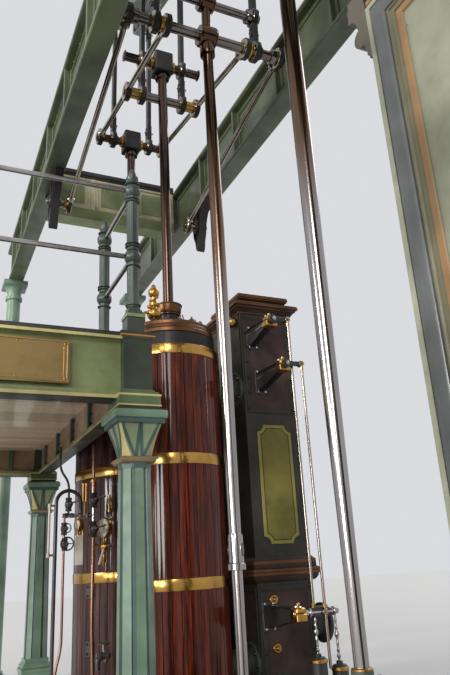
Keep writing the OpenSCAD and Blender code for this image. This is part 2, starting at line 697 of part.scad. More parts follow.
// Half round bead that bulges out from [x, z], of radius r
function bead(x, z, r, n = 8) = [for (i = [0 : n])
  let (a = -90 + 180 * i / n) [x + r * cos(a), z + r + r * sin(a)]];
cap_points = concat([[0, 0], [18, 0], [18, 22]], bead(18, 22, 16), [[26, 54], [26, 66]], bead(26, 66, 18),
  [[48, 106], [48, 120]], bead(62, 120, 62, 12), [[80, 244], [80, 262]], quarter(84, 262, 140, 340, false),
  [[150, 342], [150, 430], [138, 440], [138, 480], [0, 480]]);
pillar_base_h = 420;
pillar_cap_h = 480;
panel_side = 220;
girder_z = spring_z - girder_h;
module beam_pillar() {
  upper_z = pillar_stage + pillar_cap_h;
  color([0.48, 0.55, 0.44]) {
    translate([0, 0, pillar_base_h / 2]) cube([pillar_w + 200, pillar_d + 200, pillar_base_h], center = true);
    translate([0, 0, pillar_base_h - 1])
      moulding(pillar_w - 2, pillar_d - 2, [[0, 0], [80, 0], [80, 40], [0, 130]]);
    translate([0, 0, pillar_base_h - 1])
      panelled_stage(pillar_w, pillar_d, pillar_stage - pillar_base_h + 2, panel_side, 140);
    translate([0, 0, pillar_stage]) moulding(pillar_w - 2, pillar_d - 2, cap_points);
    translate([0, 0, upper_z - 1])
      panelled_stage(pillar_w - 80, pillar_d - 80, girder_z - upper_z + 1, panel_side - 40, 120);
  }
}
// Girder across the pillar, which carries the trunnion stands and the spring beams
module trunnion_girder() {
  color([0.45, 0.55, 0.40]) translate([0, 0, girder_z]) {
    along_x(2 * girder_half) girder_section(pillar_d - 40, girder_h, 70, 220);
    for (s = [-1, 1], i = [0.62, 0.97]) translate([s * i * girder_half - s * 25, 0, girder_h / 2])
      cube([50, pillar_d - 60, girder_h - 100], center = true);
    translate([0, 0, girder_h / 2]) cube([pillar_w - 160, pillar_d - 60, girder_h - 100], center = true);
  }
}
// Stands and plummer blocks of the trunnion
trunnion_stand_x = 440;
trunnion_foot = 350;                   // half length of a stand's foot
trunnion_cap = 250;                    // half length of its bearing block
trunnion_waist = 190;
module trunnion_stands() {
  w = 260;
  rise = trunnion_z - spring_z;
  bolt_y = trunnion_cap - 50;
  half = [[trunnion_foot, 0], [trunnion_foot, 70], [trunnion_waist, rise - 250], [trunnion_cap, rise - 200],
    [trunnion_cap, rise]];
  outline = concat(half, [for (i = [len(half) - 1 : -1 : 0]) [-half[i][0], half[i][1]]]);
  window = [[140, -330], [90, 350]];
  color([0.40, 0.52, 0.38]) for (s = [-1, 1]) difference() {
    translate([s * trunnion_stand_x, 0, spring_z]) union() {
      along_x(w) polygon(outline);
      pin([0, rise], 0, w, trunnion_r + 80);
      for (y = [-bolt_y, bolt_y]) translate([0, y, rise - 1]) cylinder(h = 70, r = 30, $fn = 6);
    }
    pin(trunnion, s * trunnion_stand_x, w + 2, trunnion_r + fit);
    translate([s * trunnion_stand_x, 0, spring_z + 520]) along_x(w + 2)
      polygon([window[0], window[1], [-window[1][0], window[1][1]], [-window[0][0], window[0][1]]]);
  }
}
spring_leg = 140;                      // reach of the angle irons up the web, with the flange
angle_t = 14;
module spring_beam(s) {
  len = spring_far - spring_near;
  color([0.32, 0.42, 0.26]) translate([s * spring_x, (spring_far + spring_near) / 2, spring_z]) {
    along_y(len) girder_section(spring_w, spring_h, 50, 50);
    for (i = [-4 : 4]) translate([0, i * len / 9, spring_h / 2])
      cube([spring_w - 20, 40, spring_h - 90], center = true);
    for (s = [-1, 1], z = [spring_leg / 2, spring_h - spring_leg / 2]) translate([0, 0, z])
      cube([50 + 2 * angle_t, len, spring_leg], center = true);
  }
}
module spring_beam_left() { spring_beam(-1); }
module spring_beam_right() { spring_beam(1); }
// Panelled girder across the far end of the opening
module end_girder() {
  half = opening_half - fit;
  color([0.62, 0.60, 0.45]) translate([0, end_girder_y, spring_z]) difference() {
    union() {
      along_x(2 * half) girder_section(260, end_girder_h, 70, 150);
      along_x(2 * half) translate([-105, 60]) square([210, 130]);
      for (s = [-1, 1]) translate([s * (half - 30), 0, end_girder_h / 2])
        cube([60, 220, end_girder_h - 20], center = true);
      for (i = [-1 / 3, 1 / 3]) translate([i * half, 0, end_girder_h / 2])
        cube([70, 200, end_girder_h - 20], center = true);
    }
    for (s = [-1, 1]) translate([s * (half + 1), 0, end_girder_h + 1]) cube([120, 400, 2], center = true);
  }
}
// Posts from the floor under the far ends of the spring beams
module iron_post(x) {
  translate([x, post_y, 0]) {
    translate([0, 0, 60]) cube([2 * floor_post_r + 120, 2 * floor_post_r + 120, 120], center = true);
    cylinder(h = spring_z - 60, r = floor_post_r);
    for (z = [119, spring_z - 330]) translate([0, 0, z]) cylinder(h = 60, r = floor_post_r + 28);
    translate([0, 0, spring_z - 280]) rotate_extrude()
      polygon(concat([[0, 0]], quarter(floor_post_r, 0, floor_post_r + 80, 200, false), [[0, 200]]));
    translate([0, 0, spring_z - 41])
      cube([2 * floor_post_r + 180, 2 * floor_post_r + 180, 82], center = true);
  }
}
module girder_posts() {
  color([0.45, 0.60, 0.48]) for (s = [-1, 1]) iron_post(s * post_x);
}
// Pointed brackets under the spring beams that hold the radius rods' fixed pivots
bracket_drop = 700;
pivot_pin_r = pin_r - 10;
module radius_brackets() {
  bracket_x = opening_half + 75;
  pin_in = radius_x - 20;
  profile = [[-380, 0], [-360, -60], [-200, -180], [-120, -330], [-100, -450], [-45, -560], [-28, -660],
    [0, -bracket_drop]];
  color([0.15, 0.17, 0.16]) for (s = [-1, 1]) {
    translate([s * bracket_x, radius_pivot[0], spring_z]) along_x(110)
      polygon(concat(profile, [for (i = [len(profile) - 2 : -1 : 0]) [-profile[i][0], profile[i][1]]]));
    pin(radius_pivot, s * bracket_x, 150, 95);
    pin(radius_pivot, s * (pin_in + bracket_x) / 2, bracket_x - pin_in, pivot_pin_r);
  }
}

// Beam: two flanged flitch plates, their bosses and the distance pieces
function beam_half_depth(t) = (beam_end_depth + (beam_depth - beam_end_depth) * (1 - t * t)) / 2;
module beam_outline(grow) {
  reach = beam_arm + 40;
  ts = [for (i = [-12 : 12]) i / 12];
  end_r = beam_end_depth / 2 + grow;
  polygon(concat([for (t = ts) [t * reach, -beam_half_depth(t) - grow]],
    [for (a = [-75 : 15 : 75]) [reach + end_r * cos(a), end_r * sin(a)]],
    [for (i = [len(ts) - 1 : -1 : 0]) [ts[i] * reach, beam_half_depth(ts[i]) + grow]],
    [for (a = [105 : 15 : 255]) [-reach + end_r * cos(a), end_r * sin(a)]]));
}
beam_pins_at = [-beam_arm, force_arm, back_arm, beam_arm * high_share, beam_arm];
boss_rs = [150, 110, 120, 120, 150];
flitch_out = flitch_x + flitch_t + flitch_flange;
beam_w = 2 * flitch_out;
module beam() {
  color([0.38, 0.50, 0.34]) translate([0, 0, trunnion_z]) rotate([beam_tilt, 0, 0]) difference() {
    union() {
      for (s = [-1, 1]) {
        x = s * (flitch_x + flitch_t / 2);
        translate([x, 0, 0]) along_x(flitch_t) beam_outline(0);
        translate([x, 0, 0]) along_x(flitch_t + 2 * flitch_flange) difference() {
          beam_outline(0);
          beam_outline(-45);
        }
        for (i = [0 : len(beam_pins_at) - 1])
          pin([beam_pins_at[i], 0], x, flitch_t + 2 * flitch_flange, boss_rs[i]);
        pin([0, 0], s * (flitch_x + flitch_t / 2), flitch_t + 2 * flitch_flange + 40, trunnion_r + 170);
        for (t = [-0.84, -0.68, -0.52, -0.36, -0.18, 0.15, 0.39, 0.63, 0.885])
          translate([x, t * beam_arm, 0])
            cube([flitch_t + 2 * flitch_flange - 10, 50, 2 * beam_half_depth(t) - 40], center = true);
      }
      for (t = [-0.76, -0.44, 0.40, 0.64, 0.885]) translate([0, t * beam_arm, 0]) rotate([0, 90, 0])
        cylinder(h = 2 * flitch_x + 10, r = 60, center = true);
    }
    for (i = [0 : len(beam_pins_at) - 1]) pin([beam_pins_at[i], 0], 0, beam_w + 2, pin_r + fit);
    pin([0, 0], 0, beam_w + 42, trunnion_r + fit);
  }
}
module beam_pins() {
  color("silver") {
    pin(trunnion, 0, 2 * trunnion_stand_x + 330, trunnion_r);
    pin(beam_end_pin, 0, 2 * (link_x + link_t + 15), pin_r);
    pin(high_pin, 0, 2 * (link_x + link_t + 15), pin_r);
    pin(back_pin, 0, 2 * (back_link_x + link_t + 15), pin_r);
    pin(force_pin, 0, 2 * (flitch_out + 15), pin_r);
    pin(crank_end_pin, 0, 2 * (flitch_out + 15), pin_r);
  }
}

// Flat link with an eye at each end, from p to q, its inner face at x
module link(p, q, s, x_in, mid = undef) {
  x = s * (x_in + link_t / 2);
  difference() {
    union() {
      for (e = mid == undef ? [p, q] : [p, q, mid]) pin(e, x, link_t, eye_r);
      from_to(p, q, x) translate([-link_t / 2 + 8, -48, 40]) cube([link_t - 16, 96, norm(q - p) - 80]);
    }
    for (e = mid == undef ? [p, q] : [p, q, mid]) pin(e, x, link_t + 2, pin_r + fit);
  }
}
module main_links() {
  color("silver") for (s = [-1, 1]) {
    link(beam_end_pin, low_head, s, link_x);
    link(high_pin, high_foot, s, link_x, high_head);
    washer = bar_x - link_x - link_t - 2 * fit;
    pin(high_foot, s * (link_x + link_t + fit + washer / 2), washer, pin_r + 10);
    pin(high_foot, s * (link_x + bar_x + link_t + 15) / 2, bar_x + link_t + 15 - link_x, pin_r);
  }
}
module back_links() {
  color("silver") for (s = [-1, 1]) difference() {
    union() {
      link(back_pin, back_foot, s, back_link_x);
      pin(brace_pin, s * (back_link_x + link_t / 2), link_t, eye_r - 12);
    }
    pin(brace_pin, s * (back_link_x + link_t / 2), link_t + 2, pin_r - 8 + fit);
  }
}
// Parallel bars from the back shaft to the low pressure crosshead
module parallel_bars() {
  color("silver") for (s = [-1, 1]) {
    x = s * (bar_x + link_t / 2);
    difference() {
      union() {
        for (e = [back_foot, low_head, high_foot]) pin(e, x, link_t, eye_r);
        bar(back_foot, low_head, x, 32);
      }
      for (e = [back_foot, low_head, high_foot]) pin(e, x, link_t + 2, pin_r + fit);
    }
  }
}
// Radius rods from the back shaft's ends to their fixed pivots
module radius_rods() {
  color("silver") for (s = [-1, 1]) {
    x = s * (radius_x + link_t / 2 - 5);
    difference() {
      union() {
        for (e = [back_foot, radius_pivot]) pin(e, x, link_t - 10, eye_r);
        bar(back_foot, radius_pivot, x, 30);
      }
      pin(back_foot, x, link_t + 2, pin_r + fit);
      pin(radius_pivot, x, link_t + 2, pivot_pin_r + fit);
    }
  }
}
module back_shaft() {
  color("silver") {
    pin(back_foot, 0, 2 * back_shaft_half, pin_r);
    pin(brace_pin, 0, 2 * (back_link_x + link_t + 30), pin_r - 8);
    for (s = [-1, 1]) pin(brace_pin, s * (back_link_x - 30 - fit), 60, pin_r + 25);
    for (s = [-1, 1]) pin(back_foot, s * (bar_x + link_t + 20), 36, pin_r + 22);
    for (s = [-1, 1]) {
      pin(back_foot, s * (radius_x - 40), 60, pin_r + 25);
      pin(back_foot, s * (back_shaft_half + 5), 40, pin_r + 30);
    }
  }
}

// Lift pump rod, from the back shaft down through a coupling to its pump
lift_y = back_foot[0];
coupling_z = 1480;
lift_swell = 2000;                     // from the coupling to the rod's thickest place
lift_pump_h = 620;
module lift_pump_rod() {
  color("silver") difference() {
    union() {
      pin(back_foot, 0, 190, pin_r + 62);
      pin(brace_pin, 0, 170, pin_r + 50);
      bar(back_foot, brace_pin - 0.12 * link_run, 0, 50);
      translate([0, lift_y, coupling_z + 100]) cylinder(h = lift_swell, r1 = 50, r2 = 63);
      translate([0, lift_y, coupling_z + 99 + lift_swell])
        cylinder(h = back_foot[1] - coupling_z - 200 - lift_swell, r1 = 63, r2 = 52);
      translate([0, lift_y, back_foot[1] - 260]) cylinder(h = 160, r = 80);
      translate([0, lift_y, coupling_z]) cylinder(h = 250, r = 61);
      translate([0, lift_y, coupling_z - 25]) cylinder(h = 50, r = 73);
      translate([0, lift_y, lift_pump_h - 100]) cylinder(h = coupling_z - lift_pump_h + 110, r = lift_rod_r);
    }
    pin(back_foot, 0, 200, pin_r + fit);
    pin(brace_pin, 0, 200, pin_r - 8 + fit);
    translate([0, lift_y, coupling_z + 140]) cube([160, 24, 70], center = true);
  }
}
// Gland flange with round ends, for one stud at each end
module oval_flange(stud_x, end_r, h) {
  for (s = [-1, 1]) translate([s * stud_x, 0, 0]) cylinder(h = h, r = end_r);
  translate([-stud_x, -end_r, 0]) cube([2 * stud_x, 2 * end_r, h]);
}
// Pump at the floor: flanged barrel, cover, stuffing box, gland and delivery branch
pump_flange_h = 90;
delivery_z = 260;
gland_h = 130;                         // from the gland's flange to the top of its collar
box_h = 120;                           // stuffing box below the gland's flange
module pump(h, barrel_r, rod_r, reach) {
  cover_z = h - gland_h - box_h;
  difference() {
    union() {
      cylinder(h = 45, r = barrel_r + 90);
      cylinder(h = cover_z, r = barrel_r);
      translate([0, 0, cover_z - pump_flange_h]) cylinder(h = pump_flange_h, r = barrel_r + 90);
      translate([0, 0, cover_z - 1]) cylinder(h = box_h + 2, r = rod_r + 70);
      translate([0, 0, cover_z + box_h]) oval_flange(rod_r + 70, 45, 40);
      translate([0, 0, cover_z + box_h]) cylinder(h = gland_h, r = rod_r + 20);
      translate([0, 0, delivery_z]) rotate([0, 90, 0]) {
        cylinder(h = reach, r = delivery_r + 25);
        translate([0, 0, reach - 40]) cylinder(h = 40, r = delivery_r + 100);
      }
    }
    translate([0, 0, cover_z - 20]) cylinder(h = box_h + gland_h + 21, r = rod_r + fit);
    translate([reach - delivery_depth, 0, delivery_z]) rotate([0, 90, 0])
      cylinder(h = delivery_depth + 1, r = delivery_r);
    translate([0, 0, delivery_z]) for (i = [0 : 7]) rotate([22.5 + 45 * i, 0, 0])
      translate([reach - 41, 0, delivery_r + 62]) rotate([0, 90, 0]) cylinder(h = 42, r = 13, $fn = 24);
  }
}
lift_reach = 560;
force_reach = 620;
force_pump_h = 900;
lift_rod_r = 43;
force_rod_r = 44;
module lift_pump() {
  color([0.22, 0.28, 0.25]) translate([0, lift_y, 0]) pump(lift_pump_h, 260, lift_rod_r, lift_reach);
}
module force_pump() {
  color([0.22, 0.28, 0.25]) translate([0, force_arm, 0]) pump(force_pump_h, 330, force_rod_r, force_reach);
}
// Force pump rod, swelled in the middle, from its beam pin to the pump
module force_pump_rod() {
  top = force_pin[1];
  foot = force_pump_h - 100;
  len = top - foot;
  color("silver") difference() {
    union() {
      translate([0, force_arm, foot]) rotate_extrude() polygon(concat([[0, 0]],
        [for (i = [0 : 12]) [force_rod_r + 20 * sin(180 * i / 12), len * 0.06 + (len * 0.9) * i / 12]],
        [[0, len * 0.96]], []));
      translate([0, force_arm, foot]) cylinder(h = len * 0.2, r = force_rod_r);
      pin([force_pin[0], top], 0, 2 * flitch_x - 2 * flitch_flange - 6, 105);
      translate([0, (force_arm + force_pin[0]) / 2, top - 260]) cube([130, 150, 340], center = true);
    }
    pin([force_pin[0], top], 0, 400, pin_r + fit);
  }
}

// Connecting rod, swelled in the middle, with its strap and brasses
crank_pin_r = 110;
module connecting_rod() {
  len = norm(crank_end_pin - crank_pin);
  color([0.50, 0.55, 0.50]) difference() {
    union() {
      from_to(crank_pin, crank_end_pin, 0) {
        rotate_extrude() polygon(concat([[0, 250]],
          [for (i = [0 : 14]) [80 + 45 * sin(180 * i / 14), 250 + (len - 420) * i / 14]], [[0, len - 170]]));
        translate([-110, -190, -210]) cube([220, 380, 520]);
      }
      pin(crank_end_pin, 0, 2 * flitch_x - 2 * flitch_flange - 6, 190);
    }
    pin(crank_pin, 0, 2 * flitch_x, crank_pin_r + fit);
    pin(crank_end_pin, 0, 2 * flitch_x, pin_r + fit);
  }
}
crank_web_x0 = 125;
crank_web_t = 210;
module crankshaft() {
  shaft_end = outer_stand_x + stand_w / 2 + 60;
  color("silver") {
    pin(crank_pin, crank_web_x0 / 2 - 40, crank_web_x0 + 190, crank_pin_r);
    translate([crank_web_x0 + crank_web_t / 2, 0, 0]) along_x(crank_web_t) hull() {
      translate([crank_y, crank_z]) circle(r = crankshaft_r + 150);
      translate(crank_pin) circle(r = 210);
    }
    pin([crank_y, crank_z], (crank_web_x0 + shaft_end) / 2, shaft_end - crank_web_x0, crankshaft_r);
  }
}
// Tapered web of a wheel arm between two radii, given its half widths and its thickness
module wheel_arm(r0, r1, half0, half1, t) {
  linear_extrude(height = t, center = true) polygon([[r0, -half0], [r0, half0], [r1, half1], [r1, -half1]]);
}
// Flywheel with curved-section rim, tapered arms of cross section and a keyed hub
module flywheel() {
  hub_r = crankshaft_r + 210;
  color([0.36, 0.48, 0.34]) translate([wheel_x, crank_y, crank_z]) rotate([0, 90, 0]) difference() {
    union() {
      rotate_extrude($fn = 128) translate([wheel_r - rim_d, 0])
        polygon([[0, -rim_w / 2 + 40], [40, -rim_w / 2], [rim_d, -rim_w / 2],
          [rim_d, rim_w / 2], [40, rim_w / 2], [0, rim_w / 2 - 40]]);
      cylinder(h = rim_w + 120, r = hub_r, center = true);
      for (i = [0 : wheel_arms - 1]) rotate(360 * i / wheel_arms + 11) {
        wheel_arm(hub_r - 40, wheel_r - rim_d + 25, 110, 75, 60);
        wheel_arm(hub_r - 40, wheel_r - rim_d + 25, 32, 26, 190);
      }
    }
    cylinder(h = rim_w + 200, r = crankshaft_r + fit, center = true);
  }
}
// Pedestals of the crankshaft's two bearings
stand_foot_z = 260;                    // solid foot and solid head of a bearing stand
stand_head = 620;
stand_foot = 900;                      // half length of a stand's foot
stand_neck = 330;                      // half length of its bearing block
module crankshaft_stands() {
  bolt_y = stand_neck - 60;
  half = [[stand_foot, 0], [stand_foot, 90], [stand_foot - 140, 120], [stand_neck, crank_z - stand_neck],
    [stand_neck, crank_z]];
  outline = concat(half, [for (i = [len(half) - 1 : -1 : 0]) [-half[i][0], half[i][1]]]);
  foot_gap = stand_foot - 380;
  head_gap = stand_neck - 120;
  color([0.30, 0.38, 0.30]) for (x = [inner_stand_x, outer_stand_x]) difference() {
    translate([x, crank_y, 0]) union() {
      along_x(stand_w) polygon(outline);
      pin([0, crank_z], 0, stand_w, crankshaft_r + 90);
      for (y = [-bolt_y, bolt_y]) translate([0, y, crank_z - 1]) cylinder(h = 80, r = 34, $fn = 6);
    }
    pin([crank_y, crank_z], x, stand_w + 2, crankshaft_r + fit);
    translate([x, crank_y, 0]) along_x(stand_w + 2)
      polygon([[-foot_gap, stand_foot_z], [foot_gap, stand_foot_z],
        [head_gap, crank_z - stand_head], [-head_gap, crank_z - stand_head]]);
  }
}

bedplate();
high_cylinder();
high_lagging();
high_cover();
high_piston_rod();
low_cylinder();
low_lagging();
cylinder_bands();
low_cover();
low_piston_rod();
high_valve_chest();
low_valve_chest();
chest_cornice();
chest_panels();
steam_pipes();
valve_gear();
valve_rods();
drain_pipes();
gallery_column(gallery_x_list[0], gallery_y_list[0]);  // gallery_column_1
gallery_column(gallery_x_list[1], gallery_y_list[0]);  // gallery_column_2
gallery_column(gallery_x_list[0], gallery_y_list[1]);  // gallery_column_3
gallery_column(gallery_x_list[1], gallery_y_list[1]);  // gallery_column_4
gallery_front_beam();
gallery_back_beam();
gallery_side_beams();
gallery_deck();
name_plate();
gallery_posts();
gallery_rails();
beam_pillar();
trunnion_girder();
trunnion_stands();
spring_beam_left();
spring_beam_right();
end_girder();
girder_posts();
radius_brackets();
beam();
beam_pins();
main_links();
back_links();
parallel_bars();
radius_rods();
back_shaft();
lift_pump_rod();
lift_pump();
force_pump_rod();
force_pump();
connecting_rod();
crankshaft();
flywheel();
crankshaft_stands();
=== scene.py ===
# %% [markdown]
# # A house-built beam engine
#
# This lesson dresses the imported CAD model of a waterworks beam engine. The CAD frame gives every
# piece its real size and place. Here each surface gets the finish of the real engine, and the
# forms that are too fine for the CAD, such as wooden staves, fluting, nuts and painted lines, are
# worked out as arrays of points and put over or in place of the plain nodes.
#
# All lengths are metres. The x axis runs across the engine, y runs along the rocking beam with the
# cylinders at the positive end, and z points up from the floor under the beam's trunnion.

# %% Load the frame
import math

import bpy
import numpy as np
from mathutils import Matrix, Vector


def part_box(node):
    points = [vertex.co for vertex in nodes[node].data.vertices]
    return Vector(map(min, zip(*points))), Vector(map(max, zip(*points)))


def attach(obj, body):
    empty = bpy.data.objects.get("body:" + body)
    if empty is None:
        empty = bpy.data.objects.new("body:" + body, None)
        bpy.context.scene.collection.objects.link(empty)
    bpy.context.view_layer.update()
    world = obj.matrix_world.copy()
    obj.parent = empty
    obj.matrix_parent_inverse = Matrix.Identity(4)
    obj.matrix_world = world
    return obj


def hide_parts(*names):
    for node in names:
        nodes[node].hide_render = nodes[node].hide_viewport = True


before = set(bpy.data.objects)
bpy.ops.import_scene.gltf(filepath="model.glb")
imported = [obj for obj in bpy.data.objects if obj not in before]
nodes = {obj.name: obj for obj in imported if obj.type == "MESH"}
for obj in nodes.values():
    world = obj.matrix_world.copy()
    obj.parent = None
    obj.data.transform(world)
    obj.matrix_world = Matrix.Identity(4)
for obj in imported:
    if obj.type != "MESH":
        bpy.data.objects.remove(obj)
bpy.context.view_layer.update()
print("nodes in the frame:", len(nodes))

# %% [markdown]
# ## The camera
#
# The photograph was taken from low down beside the engine, tilted up. A vanishing point fit of the
# columns, beams and rails gave the three axes of the camera below, so the camera is placed by a
# matrix and not by eye. The lens follows from the same fit.

# %% Camera
camera_data = bpy.data.cameras.new("camera")
camera_data.lens = 34.6
camera_data.sensor_width = 36.0
camera_data.clip_start = 0.05
camera_data.clip_end = 200.0
camera = bpy.data.objects.new("camera", camera_data)
bpy.context.scene.collection.objects.link(camera)
right = Vector((0.90869639, -0.41388829, -0.05447351))
up = Vector((-0.09015746, -0.32198054, 0.94244372))
forward = Vector((0.40760583, 0.85148401, 0.32989767))
turn = Matrix((right, up, -forward)).transposed().to_4x4()
camera.matrix_world = Matrix.Translation((-2.35, -1.75, 1.5)) @ turn
bpy.context.scene.camera = camera

# %% [markdown]
# ## Forms as arrays
#
# Every new piece is a surface worked out with numpy. A form holds its points as one array and its
# faces as arrays of corner numbers, grouped by how many corners they have, with a finish number
# for each face. Forms can be moved, copied many times and joined without a loop over points, and
# only the last step hands the arrays to Blender.

# %% The form
class Form:
    """Points as an (n, 3) array and faces as {corners: (k, corners) array}, with a finish per face."""

    def __init__(self, points, faces, finish=0):
        self.points = np.asarray(points, float)
        self.faces = {n: np.asarray(f, int) for n, f in faces.items() if len(f)}
        self.finish = {n: np.full(len(f), finish, int) for n, f in self.faces.items()}
        self.tone = np.zeros(len(self.points))

    def moved(self, at=(0, 0, 0), turn=None, scale=1.0):
        """Each point is scaled, turned by a 3 by 3 matrix and then shifted."""
        new = Form.__new__(Form)
        pts = self.points * scale
        new.points = (pts if turn is None else pts @ np.asarray(turn).T) + np.asarray(at, float)
        new.faces, new.finish, new.tone = self.faces, self.finish, self.tone
        return new

    def painted(self, finish):
        """The same shape with every face in one finish."""
        new = Form(self.points, self.faces, finish)
        new.tone = self.tone
        return new

    def toned(self, tone):
        """The same shape with a tone value on its points, which a finish can read."""
        new = self.moved()
        new.tone = np.broadcast_to(np.asarray(tone, float), (len(self.points),)).copy()
        return new


def join(forms):
    """Puts forms together: points follow each other, and face numbers are shifted to match."""
    forms = list(forms)
    start = np.cumsum([0] + [len(f.points) for f in forms])[:-1]
    new = Form.__new__(Form)
    new.points = np.concatenate([f.points for f in forms])
    new.tone = np.concatenate([f.tone for f in forms])
    sizes = sorted({n for f in forms for n in f.faces})
    new.faces = {n: np.concatenate([f.faces[n] + s for f, s in zip(forms, start) if n in f.faces])
        for n in sizes}
    new.finish = {n: np.concatenate([f.finish[n] for f in forms if n in f.faces]) for n in sizes}
    return new


def copies(form, places, turn=None):
    """One copy of the form at each place, by adding each place to all points at once."""
    places = np.asarray(places, float).reshape(-1, 3)
    base = form.moved(turn=turn)
    count, size = len(places), len(base.points)
    new = Form.__new__(Form)
    new.points = (places[:, None, :] + base.points[None]).reshape(-1, 3)
    new.tone = np.tile(base.tone, count)
    shift = (np.arange(count) * size)[:, None, None]
    new.faces = {n: (f[None] + shift).reshape(-1, n) for n, f in base.faces.items()}
    new.finish = {n: np.tile(m, count) for n, m in base.finish.items()}
    return new


# %% [markdown]
# ## Turning directions
#
# Most ironwork is made upright and then laid along an axis. Three small turns do for almost all of
# it, and a general one takes z to any direction. Panels and plates are drawn flat, and four fixed
# turns stand them on the front (-y), right (+x), back (+y) or left (-x) face of a block.

# %% Turns
def turn_z_to(direction):
    """The turn that takes z to the direction: rows are two normals of it and the direction."""
    w = np.asarray(direction, float)
    w = w / np.linalg.norm(w)
    helper = np.array([0.0, 0.0, 1.0]) if abs(w[2]) < 0.9 else np.array([0.0, 1.0, 0.0])
    u = np.cross(helper, w)
    u /= np.linalg.norm(u)
    return np.stack([u, np.cross(w, u), w], axis=1)


def spin(degrees):
    """A turn about z."""
    a = math.radians(degrees)
    return np.array([[math.cos(a), -math.sin(a), 0], [math.sin(a), math.cos(a), 0], [0, 0, 1.0]])


def tip(degrees):
    """A turn about x."""
    a = math.radians(degrees)
    return np.array([[1.0, 0, 0], [0, math.cos(a), -math.sin(a)], [0, math.sin(a), math.cos(a)]])


X_AXIS = turn_z_to((1, 0, 0))
SIDE = {1: X_AXIS, -1: turn_z_to((-1.0, 0, 0))}
TO_FRONT = np.array([[1.0, 0, 0], [0, 0, -1.0], [0, 1.0, 0]])
TO_RIGHT = np.array([[0, 0, 1.0], [1.0, 0, 0], [0, 1.0, 0]])
TO_BACK = np.array([[-1.0, 0, 0], [0, 0, 1.0], [0, 1.0, 0]])
TO_LEFT = np.array([[0, 0, -1.0], [-1.0, 0, 0], [0, 1.0, 0]])


# %% [markdown]
# ## Surfaces
#
# Three kinds of surface cover nearly all of an engine. A turned form carries a profile of radius
# and height round an axis, as a lathe does. A swept form carries a closed outline along a path. A
# moulded form carries a profile of projection and height round a rectangle, with mitred corners.

# %% Grids, lathe, sweep and moulding
def grid_faces(rows, columns, close_rows=False, close_columns=False):
    """Four-cornered faces between neighbours of a rows by columns grid of points."""
    r = np.arange(rows if close_rows else rows - 1)
    c = np.arange(columns if close_columns else columns - 1)
    r, c = np.meshgrid(r, c, indexing="ij")
    r1, c1 = (r + 1) % rows, (c + 1) % columns
    return np.stack([r * columns + c, r * columns + c1, r1 * columns + c1, r1 * columns + c],
        -1).reshape(-1, 4)


def lathe(profile, sides=32, finish=0, start=0.0):
    """Point (i, j) is profile i turned to angle j: x = r cos a, y = r sin a, z = height.
    A profile that starts or ends on the axis is closed there by one many-sided face."""
    prof = np.asarray(profile, float)
    a = math.radians(start) + np.arange(sides) * 2 * math.pi / sides
    r, z = prof[:, 0:1], prof[:, 1:2]
    pts = np.stack([r * np.cos(a), r * np.sin(a), z + 0 * a], -1)
    first_on, last_on = prof[0, 0] < 1e-9, prof[-1, 0] < 1e-9
    pts = pts[(1 if first_on else 0):(len(prof) - 1 if last_on else len(prof))]
    rows = len(pts)
    faces = {4: grid_faces(rows, sides, close_columns=True)}
    ring = np.arange(sides)
    caps = []
    if first_on:
        caps.append(ring[::-1])
    if last_on:
        caps.append((rows - 1) * sides + ring)
    if caps and sides != 4:
        faces[sides] = np.array(caps)
    elif caps:
        faces[4] = np.concatenate([faces[4], np.array(caps)])
    return Form(pts.reshape(-1, 3), faces, finish)


def solid(profile, sides=32, finish=0, start=0.0):
    """A lathe form with flat ends, closed on the axis at its first and last height."""
    return lathe([(0, profile[0][1]), *profile, (0, profile[-1][1])], sides, finish, start)


def rod(p, q, radius, sides=24, finish=0, bevel=0.0):
    """A round bar from p to q: a lathe profile laid along the line between them."""
    p, q = np.asarray(p, float), np.asarray(q, float)
    n, b = np.linalg.norm(q - p), bevel
    side = [(radius - b, 0), (radius, b), (radius, n - b),
        (radius - b, n)] if b else [(radius, 0), (radius, n)]
    return lathe([(0, 0), *side, (0, n)], sides, finish).moved(p, turn_z_to(q - p))


def prism(outline, length, finish=0, bevel=0.0):
    """A closed outline in x and y carried from z = 0 to z = length, its end edges drawn in by the
    bevel towards the outline's centre."""
    o = np.asarray(outline, float)
    n = len(o)
    if bevel:
        nxt, prv = np.roll(o, -1, 0), np.roll(o, 1, 0)
        e1, e2 = o - prv, nxt - o
        n1 = np.stack([-e1[:, 1], e1[:, 0]], 1) / np.maximum(np.linalg.norm(e1, axis=1), 1e-9)[:, None]
        n2 = np.stack([-e2[:, 1], e2[:, 0]], 1) / np.maximum(np.linalg.norm(e2, axis=1), 1e-9)[:, None]
        inward = (n1 + n2) / np.maximum(1 + (n1 * n2).sum(1), 0.2)[:, None]
        inner = o + inward * bevel
        rings = [(inner, 0), (o, bevel), (o, length - bevel), (inner, length)]
    else:
        rings = [(o, 0), (o, length)]
    pts = np.concatenate([np.column_stack([ring, np.full(n, h)]) for ring, h in rings])
    rows = len(rings)
    faces = {4: grid_faces(rows, n, close_columns=True)}
    caps = np.array([np.arange(n)[::-1], (rows - 1) * n + np.arange(n)])
    if n == 4:
        faces[4] = np.concatenate([faces[4], caps])
    else:
        faces[n] = caps
    return Form(pts, faces, finish)


